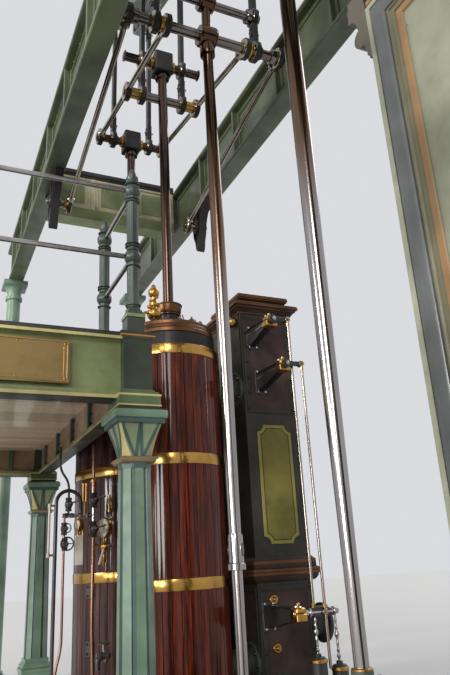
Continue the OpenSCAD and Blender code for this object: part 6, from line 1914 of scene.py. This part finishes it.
def cock(size=1.0, wheel=0.0, finish=IRON_PIPE, metal=STEEL_PIPE):
    """A valve with its pipe along z: round body, hexagon ends, a bonnet towards -y with a stem, and a
    handwheel if its radius is given."""
    body = solid([(0.022, -0.055), (0.022, -0.04), (0.03, -0.028), (0.036, 0), (0.03, 0.028), (0.022, 0.04),
        (0.022, 0.055)], 20, finish)
    ends = [solid([(0.03, z - 0.011), (0.03, z + 0.011)], 6, finish) for z in (-0.05, 0.05)]
    bonnet = lathe([(0, 0), (0.024, 0), (0.024, 0.036), (0.028, 0.04), (0.028, 0.052), (0.014, 0.058),
        (0.014, 0.074), (0.007, 0.076), (0.007, 0.11), (0, 0.112)], 16, finish)
    parts = [body, *ends, bonnet.moved((0, -0.018, 0), turn_z_to((0, -1, 0)))]
    if wheel:
        parts.append(hand_wheel(wheel / size, finish=finish).moved((0, -0.125, 0), turn_z_to((0, -1, 0))))
    else:
        parts.append(rod((-0.012, -0.115, 0.0), (0.075, -0.122, 0.022), 0.008, 10, metal, 0.002))
    return join(parts).moved(scale=size)


def gauge(radius):
    """A dial gauge about z: brass case, raised rim, white dial with strokes and a pointer."""
    case = lathe([(0, -0.05), (radius * 0.86, -0.05), (radius * 0.98, -0.038), (radius, -0.02),
        (radius * 1.06, -0.016), (radius * 1.08, 0.0), (radius * 1.04, 0.008), (radius * 0.94, 0.01),
        (radius * 0.9, 0.004)], 40, BRASS_PART)
    face = solid([(radius * 0.92, -0.004), (radius * 0.92, 0.0025)], 40, DIAL)
    stroke = box((-0.0016, radius * 0.7, 0.002), (0.0016, radius * 0.84, 0.0034), 0, INK)
    strokes = join([stroke.moved(turn=spin(a)) for a in np.linspace(-130, 130, 14)])
    pointer = prism([(-0.004, -radius * 0.2), (0.004, -radius * 0.2), (0.0012, radius * 0.74),
        (-0.0012, radius * 0.74)], 0.002, INK).moved((0, 0, 0.004), spin(38))
    hub = lathe([(0, 0.003), (0.008, 0.003), (0.008, 0.008), (0, 0.009)], 12, BRASS_PART)
    stem = rod((0, -radius * 0.9, -0.025), (0, -radius * 1.5, -0.025), 0.011, 12, BRASS_PART)
    return join([case, face, strokes, pointer, hub, stem])


def foot_plate(x, y, r=0.055):
    """A small round flange where a pipe enters the floor."""
    return join([solid([(r, 0), (r, 0.01), (r * 0.8, 0.014), (r * 0.55, 0.016), (r * 0.5, 0.025)], 24,
        IRON_PIPE), around(nut(0.016, 0.01, STEEL_PIPE).moved((r * 0.76, 0, 0.012)), 4, 45)]).moved((x, y, 0))


arch = [(-0.935 - 0.125 * math.cos(a), 2.185 + 0.125 * math.sin(a)) for a in np.linspace(0, math.pi, 17)]
fit_parts = [
    tube(0.019, 18, IRON_PIPE, (-1.06, 0.0), (-1.06, 1.1), *arch, (-0.81, 2.06)),
    tube(0.013, 14, COPPER, (-1.03, 0.0), (-1.03, 0.62), (-0.975, 0.82), (-0.975, 2.06), corner=0.1),
    tube(0.016, 16, STEEL_PIPE, (-0.985, 2.06), (-0.65, 2.06)),
    tube(0.012, 14, IRON_PIPE, (-1.03, 2.76), (-1.03, 2.52), (-0.935, 2.4), (-0.935, 2.06), corner=0.08),
    tube(0.028, 20, COPPER, (-0.675, 2.18), (-0.675, 2.4)),
    tube(0.015, 14, COPPER, (-0.675, 2.38), (-0.685, 2.79)),
    tube(0.019, 16, COPPER, (-0.675, 1.86), (-0.68, 1.0), (-0.665, 0.5),
        (-0.6, 0.12), (-0.6, 0.0), corner=0.12),
    tube(0.018, 16, STEEL_PIPE, (-0.675, 1.9), (-0.675, 2.22)),
    solid([(0.032, 2.39), (0.034, 2.4), (0.034, 2.42), (0.018, 2.44)], 20,
        BRASS_PART).moved((-0.676, pipe_y, 0)),
    cock(1.1).moved(at_x(-0.935, 2.17)), cock(1.0, 0.045).moved(at_x(-0.975, 1.93)),
    cock(1.0, 0.062).moved(at_x(-0.965, 1.78)),
    cock(1.25).moved(at_x(-0.675, 2.21)), cock(1.3, 0.0, IRON_PIPE, BRASS_PART).moved(at_x(-0.675, 1.92)),
    foot_plate(-1.06, pipe_y), foot_plate(-1.03, pipe_y, 0.035), foot_plate(-0.6, pipe_y),
]
for x in (-0.965, -0.9, -0.81, -0.74):
    fit_parts.append(union(at_x(x, 2.06), (1, 0, 0), 0.025))
for x, z0, z1 in ((-0.785, 2.2, 2.385), (-0.755, 2.2, 2.385), (-0.785, 1.77, 1.93), (-0.51, 2.09, 2.26)):
    brass_tube = solid([(0.015, z0), (0.015, z0 + 0.018), (0.0105, z0 + 0.022), (0.0105, z1 - 0.022),
        (0.015, z1 - 0.018), (0.015, z1)], 14, BRASS_PART)
    fit_parts.append(brass_tube.moved((x, pipe_y, 0)))
fit_parts.append(tube(0.009, 10, BRASS_PART, (-0.81, 2.06), (-0.77, 2.06), (-0.77, 2.21), corner=0.02))
fit_parts.append(tube(0.009, 10, BRASS_PART, (-0.785, 2.21), (-0.755, 2.21)))
facing = turn_z_to((-0.96, -0.28, 0.0))
for x, z, r in ((-0.565, 1.93, 0.098), (-0.84, 1.965, 0.06)):
    fit_parts.append(gauge(r).moved(at_x(x, z), facing))
    fit_parts.append(tube(0.009, 10, BRASS_PART, (x, z - r * 0.9), (x, z - r * 1.7), (-0.675, z - r * 1.7),
        corner=0.03))
card_x0, card_x1 = -0.875, -0.795
fit_parts.append(box((card_x0, pipe_y - 0.075, 1.575), (card_x1, pipe_y - 0.068, 1.86), 0.002, CARD))
fit_parts.append(box((card_x0 + 0.02, pipe_y - 0.068, 1.83), (card_x1 - 0.02, pipe_y, 1.85), 0.003,
    BRASS_PART))
fit_parts.append(tube(0.01, 12, BRASS_PART, (-0.835, 1.84), (-0.835, 2.06)))
cup_body = solid([(0.01, 0), (0.012, 0.02), (0.026, 0.045), (0.03, 0.085), (0.026, 0.125), (0.012, 0.145),
    (0.012, 0.17)], 20, BRASS_PART)
fit_parts += [cup_body.moved(at_x(-0.565, 1.555)),
    rod(at_x(-0.57, 1.72, pipe_y - 0.02), at_x(-0.625, 1.57, pipe_y - 0.05), 0.012, 12, CARD, 0.003),
    cock(0.9, 0, BRASS_PART).moved(at_x(-0.565, 1.74)),
    tube(0.011, 12, BRASS_PART, (-0.565, 1.72), (-0.565, 1.8))]
glass = solid([(0.018, 1.66), (0.018, 1.7), (0.012, 1.705), (0.012, 2.135), (0.018, 2.14), (0.018, 2.18)], 16,
    CARD)
fit_parts += [glass.moved((-1.125, pipe_y, 0)), tube(0.01, 12, BRASS_PART, (-1.125, 1.68), (-1.06, 1.68)),
    tube(0.01, 12, BRASS_PART, (-1.125, 2.16), (-1.06, 2.16))]
fit_parts += [pipe(bend([at_x(-0.5, 0.72, pipe_y + 0.12), at_x(-0.5, 0.72), at_x(-0.62, 0.72),
    at_x(-0.62, 0.6)], 0.06), 0.03, 18, IRON_PIPE), union(at_x(-0.6, 0.72), (1, 0, 0), 0.042, IRON_PIPE),
    solid([(0.06, -0.012), (0.06, 0.012)], 24, IRON_PIPE).moved(at_x(-0.535, 0.72), X_AXIS),
    hand_wheel(0.055, finish=IRON_PIPE).moved(at_x(-0.56, 0.83)),
    rod(at_x(-0.56, 0.72), at_x(-0.56, 0.84), 0.01, 12, STEEL_PIPE)]
lug_turn = 211
a = math.radians(lug_turn)
for z in (1.31, 0.75):
    lug = join([box((-0.012, -0.05, -0.075), (0.022, 0.05, 0.075), 0.006, IRON_PIPE),
        copies(nut(0.024, 0.014, IRON_PIPE).moved(turn=X_AXIS), [(0.022, y, h) for y in (-0.026, 0.026)
        for h in (-0.045, 0.045)])])
    fit_parts.append(lug.moved((low_r * math.cos(a), low_y + low_r * math.sin(a), z), spin(lug_turn)))
pipe_black = paint("pipe_black", (0.03, 0.026, 0.024), rough=0.28, dirt_amount=0.3)
pipe_copper = steel("pipe_copper", (0.3, 0.165, 0.125), (0.16, 0.075, 0.045), 0.7, 0.24)
card_cream = paint("card_cream", (0.62, 0.58, 0.5), dirt_amount=0.15, wear=0.02)
dial_white = paint("dial_white", (0.66, 0.66, 0.62), dirt_amount=0.1, wear=0.0)
piece("low_side_fittings", join(fit_parts), [pipe_black, pipe_copper, bright_steel, gear_brass, card_cream,
    dial_white, black_iron], replaces=["drain_pipes"])
print("fittings:", len(fit_parts))

# %% [markdown]
# ## Radius brackets
#
# The fixed ends of the radius rods hang from pointed cast brackets under the spring beams. Each is
# a flat plate with a curved rib round its edge, a boss for the pivot, and small bolts at the tip
# and along the head.

# %% Brackets
bracket_profile = np.array([(-0.38, 0), (-0.36, -0.06), (-0.28, -0.115), (-0.2, -0.18), (-0.155, -0.25),
    (-0.12, -0.33), (-0.1, -0.45), (-0.045, -0.56), (-0.028, -0.66), (0, -0.7)])
outline = np.concatenate([bracket_profile, (bracket_profile[:-1] * (-1, 1))[::-1]])
head_z = 6.5
pivot_z = fixed_pin[1] - head_z
plate = prism(outline, 0.044, 0, 0.004).moved((-0.022, 0, 0), TO_RIGHT)
edge_path = np.column_stack([0 * outline[:, 0], outline[:, 0] * 0.965, outline[:, 1] * 0.985 - 0.003])
rib_edge = sweep(edge_path, [(-0.012, -0.055), (0.012, -0.055), (0.012, 0.055), (-0.012, 0.055)], finish=0)
mid_rib = [box((-0.05, -0.012, -0.6), (0.05, 0.012, pivot_z - 0.09), 0.004),
    box((-0.05, -0.012, pivot_z + 0.09), (0.05, 0.012, -0.01), 0.004)]
boss_form = lathe([(0.045, -0.075), (0.08, -0.075), (0.095, -0.062), (0.095, 0.062), (0.08, 0.075),
    (0.045, 0.075)], 36, 0).moved((0, 0, pivot_z), X_AXIS)
ring_form = lathe([(0.046, 0.074), (0.066, 0.074), (0.066, 0.08), (0.046, 0.08)], 36, 2)
rings = [ring_form.moved((0, 0, pivot_z), X_AXIS), ring_form.moved((0, 0, pivot_z), SIDE[-1])]
small = [copies(nut(0.022, 0.012, 1).moved(turn=SIDE[s]), [(s * 0.022, y, z)
    for y, z in ((0, -0.64), (-0.02, -0.575), (0.02, -0.575), (-0.26, -0.05), (0.26, -0.05), (-0.16, -0.1),
    (0.16, -0.1))]) for s in (-1, 1)]
head_bolts = copies(nut(0.04, 0.022, 1), [(x, y, 0.052) for x in (-0.04, 0.04)
    for y in (-0.3, -0.12, 0.12, 0.3)])
one = join([plate, rib_edge, *mid_rib, boss_form, *rings, *small,
    head_bolts]).moved((1.055, fixed_pin[0], head_z))
pin_part = join([rod((0.81, fixed_pin[0], fixed_pin[1]), (1.15, fixed_pin[0], fixed_pin[1]), 0.045, 28, 3,
    0.004), pin_end(0.043).moved((1.13, fixed_pin[0], fixed_pin[1])),
    rod((0.895, fixed_pin[0], fixed_pin[1]), (0.925, fixed_pin[0], fixed_pin[1]), 0.062, 28, 2, 0.004)])
pair = join([one, pin_part])
piece("radius_brackets_dressed", join([pair, mirrored(pair)]),
    [black_iron, dark_steel, gear_brass, steel_painted_dark_reflection], replaces=["radius_brackets"])

# %% [markdown]
# ## Rivets, keys and bearings of the great beam
#
# The flitch plates are edged with riveted flanges. Each pin goes through a faced boss, and the
# trunnion is fixed with four keys. On the trunnion stands a brass step shows at the joint of each
# cap, held down by studs, and an oiler stands on top. The rivets follow the beam's outline, which is a
# parabola in depth along the arm.

# %% Beam and trunnion details
def beam_place(arm, up, x):
    """A place given along the beam, square to it, and across."""
    c, s = math.cos(TILT), math.sin(TILT)
    return np.stack([x + 0 * arm, arm * c - up * s, TRUNNION[1] + arm * s + up * c], -1)


arms = np.arange(-5.85, 5.86, 0.19)
half_depth = (0.42 + (1.45 - 0.42) * (1 - (arms / 5.97) ** 2)) / 2
beam_rivets = []
for s in (-1, 1):
    for up in (-1, 1):
        beam_rivets.append(rivets(beam_place(arms, up * (half_depth - 0.022), s * 0.2), 0.013, SIDE[s]))
    for t in (-0.84, -0.68, -0.52, -0.36, -0.18, 0.15, 0.39, 0.63, 0.885):
        h = (0.42 + 1.03 * (1 - t * t)) / 2
        ups = np.arange(-h + 0.12, h - 0.1, 0.15)
        beam_rivets.append(rivets(beam_place(t * ARM + 0 * ups, ups, s * 0.195), 0.011, SIDE[s]))
bosses = []
for arm, r in ((-ARM, 0.15), (FORCE, 0.11), (BACK, 0.12), (ARM * SHARE, 0.12), (ARM, 0.15)):
    place = on_beam(arm)
    face_ring = lathe([(0.0555, 0), (r - 0.004, 0), (r - 0.004, 0.004), (r - 0.016, 0.01), (0.085, 0.01),
        (0.083, 0.006), (0.0555, 0.006)], 36, 1)
    for s in (-1, 1):
        bosses.append(face_ring.moved((s * 0.2, place[0], place[1]), SIDE[s]))
for s in (-1, 1):
    hub = lathe([(0.151, 0), (0.312, 0), (0.312, 0.006), (0.29, 0.016), (0.2, 0.016), (0.196, 0.01),
        (0.151, 0.01)], 48, 0).moved((s * 0.22, *TRUNNION), SIDE[s])
    keys = around(box((0.148, -0.02, 0.0), (0.176, 0.02, 0.04), 0.003, 2), 4,
        45 + math.degrees(TILT)).moved((s * 0.22, *TRUNNION), SIDE[s])
    bosses += [hub, keys]
piece("beam_rivets_and_bosses", join(beam_rivets + bosses), [great_beam_green, dark_steel, steel_painted_dark_reflection])


def bearing_dress(half_w, shaft_r, block_half, bolt_y, bolt_r, cap_r):
    """Brass step on both faces, a joint line, two nuts with ends, and an oiler, about the shaft's
    centre. The shaft runs along x."""
    ring = lathe([(shaft_r + 0.001, 0), (shaft_r + 0.026, 0), (shaft_r + 0.026, 0.008),
        (shaft_r + 0.018, 0.012), (shaft_r + 0.001, 0.012)], 48, 1)
    parts = [ring.moved((s * half_w, 0, 0), SIDE[s]) for s in (-1, 1)]
    for s in (-1, 1):
        for side in (-1, 1):
            inner = (s * (half_w - 0.0005), side * (shaft_r + 0.03), -0.004)
            outer = (s * (half_w + 0.0015), side * (block_half - 0.004), 0.004)
            parts.append(box(inner, outer, 0, 2))
    for y in (-bolt_y, bolt_y):
        parts.append(nut(bolt_r * 2.1, 0.045, 3).moved((0, y, 0.07)))
        parts.append(solid([(bolt_r * 1.9, 0), (bolt_r * 1.9, 0.01)], 24, 3).moved((0, y, 0)))
    cup = lathe([(0, 0), (0.018, 0), (0.018, 0.02), (0.04, 0.034), (0.044, 0.09), (0.036, 0.1), (0.01, 0.112),
        (0.012, 0.124), (0, 0.13)], 24, 1)
    parts.append(cup.moved((0, 0, cap_r - 0.003)))
    return join(parts)


stand_fit = bearing_dress(0.13, 0.15, 0.25, 0.2, 0.03, 0.23)
stand_foot_z, stand_x = 6.571, 0.44
foot_nuts = copies(nut(0.05, 0.03, 3), [(x, y, stand_foot_z - TRUNNION[1]) for x in (-0.09, 0.09)
    for y in (-0.305, 0.305)])
stands = copies(join([stand_fit, foot_nuts]), [(s * stand_x, 0, TRUNNION[1]) for s in (-1, 1)])
lo, hi = low_high("trunnion_girder")
edge_x = np.arange(lo[0] + 0.08, hi[0] - 0.05, 0.14)
edge_x = edge_x[np.abs(np.abs(edge_x) - stand_x) > 0.16]
rows = []
for y in (-0.36, 0.36):
    for z, turn in ((hi[2], None), (lo[2], turn_z_to((0, 0, -1)))):
        rows.append(rivets(np.column_stack([edge_x, 0 * edge_x + y * 0.97, 0 * edge_x + z]), 0.014, turn))
piece("trunnion_fittings", join([stands, *rows]), [frame_green, gear_brass, dark_line, dark_steel])

# %% [markdown]
# ## Crank, connecting rod and flywheel
#
# The connecting rod is a turned forging with a strapped end on the crank pin. The crankshaft's
# bearings have brass steps and capped studs. The flywheel's rim is cast in segments that are
# bolted together, and the hub is keyed on the shaft.

# %% Crank side details
crank = np.array([-ARM * (1 + math.cos(TILT)) / 2, 2.75])
crank_pin = crank - (0, 1.15)
fit_one = bearing_dress(0.18, 0.15, 0.33, 0.27, 0.034, 0.24)
crank_foot_z = 0.0905
feet = copies(nut(0.06, 0.035, 3), [(x, y, crank_foot_z - crank[1]) for x in (-0.12, 0.12)
    for y in (-0.84, 0.84)])
wheel_fit = copies(join([fit_one, feet]), [(x, crank[0], crank[1]) for x in (0.65, 2.08)])
piece("crank_bearings", wheel_fit, [stand_green, gear_brass, dark_line, dark_steel])

run = crank_pin_top - crank_pin
length = float(np.linalg.norm(run))
at, turn = between(crank_pin, crank_pin_top, 0.0)
strap = join([box((-0.114, -0.2, -0.06), (0.114, -0.15, 0.52), 0.008, 1),
    box((-0.114, 0.15, -0.06), (0.114, 0.2, 0.52), 0.008, 1),
    box((-0.112, -0.196, -0.222), (0.112, 0.196, -0.15), 0.02, 1),
    box((-0.016, -0.235, 0.33), (0.016, 0.25, 0.385), 0.004, 1),
    box((-0.014, -0.225, 0.39), (0.014, 0.225, 0.42), 0.004, 1),
    box((-0.116, -0.145, -0.13), (0.116, 0.145, -0.012), 0.01, 2),
    box((-0.116, -0.145, 0.012), (0.116, 0.145, 0.13), 0.01, 2),
    solid([(0.118, 0.5), (0.126, 0.515), (0.126, 0.545), (0.11, 0.56), (0.098, 0.6)], 40, 1),
    solid([(0.088, length - 0.36), (0.112, length - 0.345), (0.112, length - 0.3), (0.086, length - 0.285)],
    40, 1)])
crank_parts = [strap.moved(at, turn),
    solid([(0.132, 0), (0.132, 0.02), (0.11, 0.03)], 40, 1).moved((-0.135, *crank_pin), SIDE[-1])]
for s, x in ((-1, 0.1245), (1, 0.3355)):
    ring = lathe([(0.151 if s > 0 else 0.0, 0), (0.285, 0), (0.285, 0.006), (0.262, 0.014), (0.17, 0.014),
        (0.166, 0.008), (0.151 if s > 0 else 0.0, 0.008)], 48, 1)
    crank_parts.append(ring.moved((x, *crank), SIDE[s]))
piece("connecting_rod_strap", join(crank_parts), [great_beam_green, steel_painted_dark_reflection, gear_brass])

wheel_x, wheel_r, rim_w = 1.35, 2.62, 0.32
parts = []
for s in (-1, 1):
    joint = box((wheel_r - 0.235, -0.11, 0.0), (wheel_r - 0.035, 0.11, 0.016), 0.004, 0)
    bolts = copies(nut(0.042, 0.024, 1), [(wheel_r - r, y, 0.016) for r in (0.19, 0.08)
        for y in (-0.075, -0.025, 0.025, 0.075)])
    side = around(join([joint, bolts]), 4, 33.5)
    hub_ring = lathe([(0.151, 0), (0.36, 0), (0.36, 0.004), (0.335, 0.018), (0.23, 0.018), (0.225, 0.01),
        (0.151, 0.01)], 56, 0)
    keys = around(box((0.148, -0.024, 0.0), (0.182, 0.024, 0.06), 0.003, 1), 2, 20)
    parts.append(side.moved((wheel_x + s * rim_w / 2, *crank), SIDE[s]))
    parts.append(join([hub_ring, keys]).moved((wheel_x + s * (rim_w / 2 + 0.06), *crank), SIDE[s]))
piece("flywheel_joints", join(parts), [wheel_green, dark_steel])

# %% [markdown]
# ## Pumps, steam pipes and foundation bolts
#
# Flanges are held by rings of studs and nuts. The pumps' glands have a stud at each end, and a
# brass bush shows round the rod.

# %% Nuts on flanges
def flange_ring(radius, count, across, p, direction, finish=0, start=0.0):
    """Nuts on a circle round p, standing along the direction."""
    return around(nut(across, across * 0.55, finish).moved((radius, 0, 0)), count,
        start).moved(p, turn_z_to(direction))


parts = []
# For each pump: place along y, height of the gland, radii of barrel and rod, and the branch's reach.
for y, h, barrel, rod_r, reach in ((back_foot[0], 0.62, 0.26, 0.043, 0.56), (FORCE, 0.9, 0.33, 0.044, 0.62)):
    cover_z = h - 0.25
    parts += [flange_ring(barrel + 0.055, 12, 0.042, (0, y, cover_z), (0, 0, 1)),
        flange_ring(barrel + 0.055, 8, 0.046, (0, y, 0.045), (0, 0, 1)),
        flange_ring(0.15, 8, 0.032, (reach, y, 0.26), (1, 0, 0), 0, 22.5)]
    for s in (-1, 1):
        parts.append(rod((s * (rod_r + 0.07), y, cover_z + 0.09), (s * (rod_r + 0.07), y, cover_z + 0.215),
            0.012, 12))
        parts.append(nut(0.036, 0.022).moved((s * (rod_r + 0.07), y, cover_z + 0.16)))
    parts.append(lathe([(rod_r + 0.001, 0), (rod_r + 0.017, 0), (rod_r + 0.017, 0.01), (rod_r + 0.01, 0.014),
        (rod_r + 0.001, 0.014)], 32, 1).moved((0, y, h)))
    parts.append(lathe([(barrel + 0.001, 0), (barrel + 0.05, 0), (barrel + 0.05, 0.012),
        (barrel + 0.012, 0.03), (barrel + 0.001, 0.06)], 48, 2).moved((0, y, 0.044)))
chest_face, chest_c = chest_hi[0], chest_mid[1]
parts.append(flange_ring(0.185, 8, 0.03, (chest_face + 0.035, chest_c, 0.86), (1, 0, 0)))
for z in (high_z0 + 0.33, high_z1 - 0.33):
    for x, y in ((chest_lo[0], high_y), (low_chest_lo[0], low_y)):
        ring = lathe([(0.151, 0), (0.205, 0), (0.205, 0.026), (0.198, 0.032), (0.151, 0.032)], 40, 2)
        parts += [ring.moved((x, y, z), SIDE[-1]), flange_ring(0.18, 10, 0.026, (x - 0.032, y, z), (-1, 0, 0))]
lo, hi = low_high("bedplate")
edge = [(x, y, hi[2]) for x in (lo[0] + 0.07, hi[0] - 0.07)
    for y in np.linspace(lo[1] + 0.12, hi[1] - 0.12, 6)]
parts.append(copies(nut(0.055, 0.03), edge))
lo, hi = low_high("girder_posts")
for s in (-1, 1):
    cx, cy = s * (hi[0] - 0.175), (lo[1] + hi[1]) / 2
    parts.append(copies(nut(0.045, 0.026), [(cx + a, cy + b, 0.12) for a in (-0.135, 0.135)
        for b in (-0.135, 0.135)]))
piece("nuts_and_bushes", join(parts), [dark_steel, gear_brass, pump_green])

# %% [markdown]
# ## Floor and light
#
# A pale floor, a pale sky and five even lights from far off show the engine plainly. The sky is
# brighter to the camera and in reflections than as a light. The tall lights on the left draw the
# bright upright lines on rods and varnish that a window gives.

# %% Floor, sky and lamps
floor_mesh = bpy.data.meshes.new("floor")
half = 45.0
floor_mesh.from_pydata([(-half, -half, 0), (half, -half, 0), (half, half, 0), (-half, half, 0)], [],
    [(0, 1, 2, 3)])
floor = bpy.data.objects.new("floor", floor_mesh)
bpy.context.scene.collection.objects.link(floor)
floor_shader = Shader("floor", Base_Color=(0.72, 0.71, 0.69), Roughness=0.75)
floor_mesh.materials.append(floor_shader.material)

world = bpy.data.worlds.new("world")
bpy.context.scene.world = world
world.use_nodes = True
tree = world.node_tree
sky = tree.nodes["Background"]
sky.inputs["Color"].default_value = (0.95, 0.96, 1.0, 1)
path = tree.nodes.new("ShaderNodeLightPath")
seen = path.outputs["Is Camera Ray"]
for ray in ("Is Transmission Ray", "Is Glossy Ray"):
    either = tree.nodes.new("ShaderNodeMath")
    either.operation = "MAXIMUM"
    tree.links.new(seen, either.inputs[0])
    tree.links.new(path.outputs[ray], either.inputs[1])
    seen = either.outputs[0]
level = tree.nodes.new("ShaderNodeMapRange")
tree.links.new(seen, level.inputs["Value"])
level.inputs["To Min"].default_value = 0.55
level.inputs["To Max"].default_value = 0.74
tree.links.new(level.outputs[0], sky.inputs["Strength"])


def lamp(name, turn, height, spread, strength, colour=(1, 1, 1)):
    """A wide, even light from far off. Turn is the angle from the front (-y) towards the left (-x)
    and height the angle above the floor, so it comes from (-sin t cos h, -cos t cos h, sin h)."""
    t, h = math.radians(turn), math.radians(height)
    source = Vector((-math.sin(t) * math.cos(h), -math.cos(t) * math.cos(h), math.sin(h)))
    data = bpy.data.lights.new(name, "SUN")
    data.energy, data.angle, data.color = strength, math.radians(spread), colour
    obj = bpy.data.objects.new(name, data)
    obj.location = source * 30
    obj.rotation_euler = (-source).to_track_quat("-Z", "Y").to_euler()
    bpy.context.scene.collection.objects.link(obj)


lamp("tall_window_near", 50, 4, 10, 0.45, (1.0, 0.98, 0.96))
lamp("tall_window_far", 66, 5, 10, 0.65, (1.0, 0.98, 0.96))
lamp("window_left", 86, 16, 12, 1.35, (1.0, 0.97, 0.93))
lamp("window_behind_camera", 30, 20, 20, 0.95, (1.0, 0.97, 0.92))
lamp("high_right", -108, 42, 24, 0.65, (0.94, 0.96, 1.0))

scene = bpy.context.scene
scene.view_settings.view_transform = "Standard"
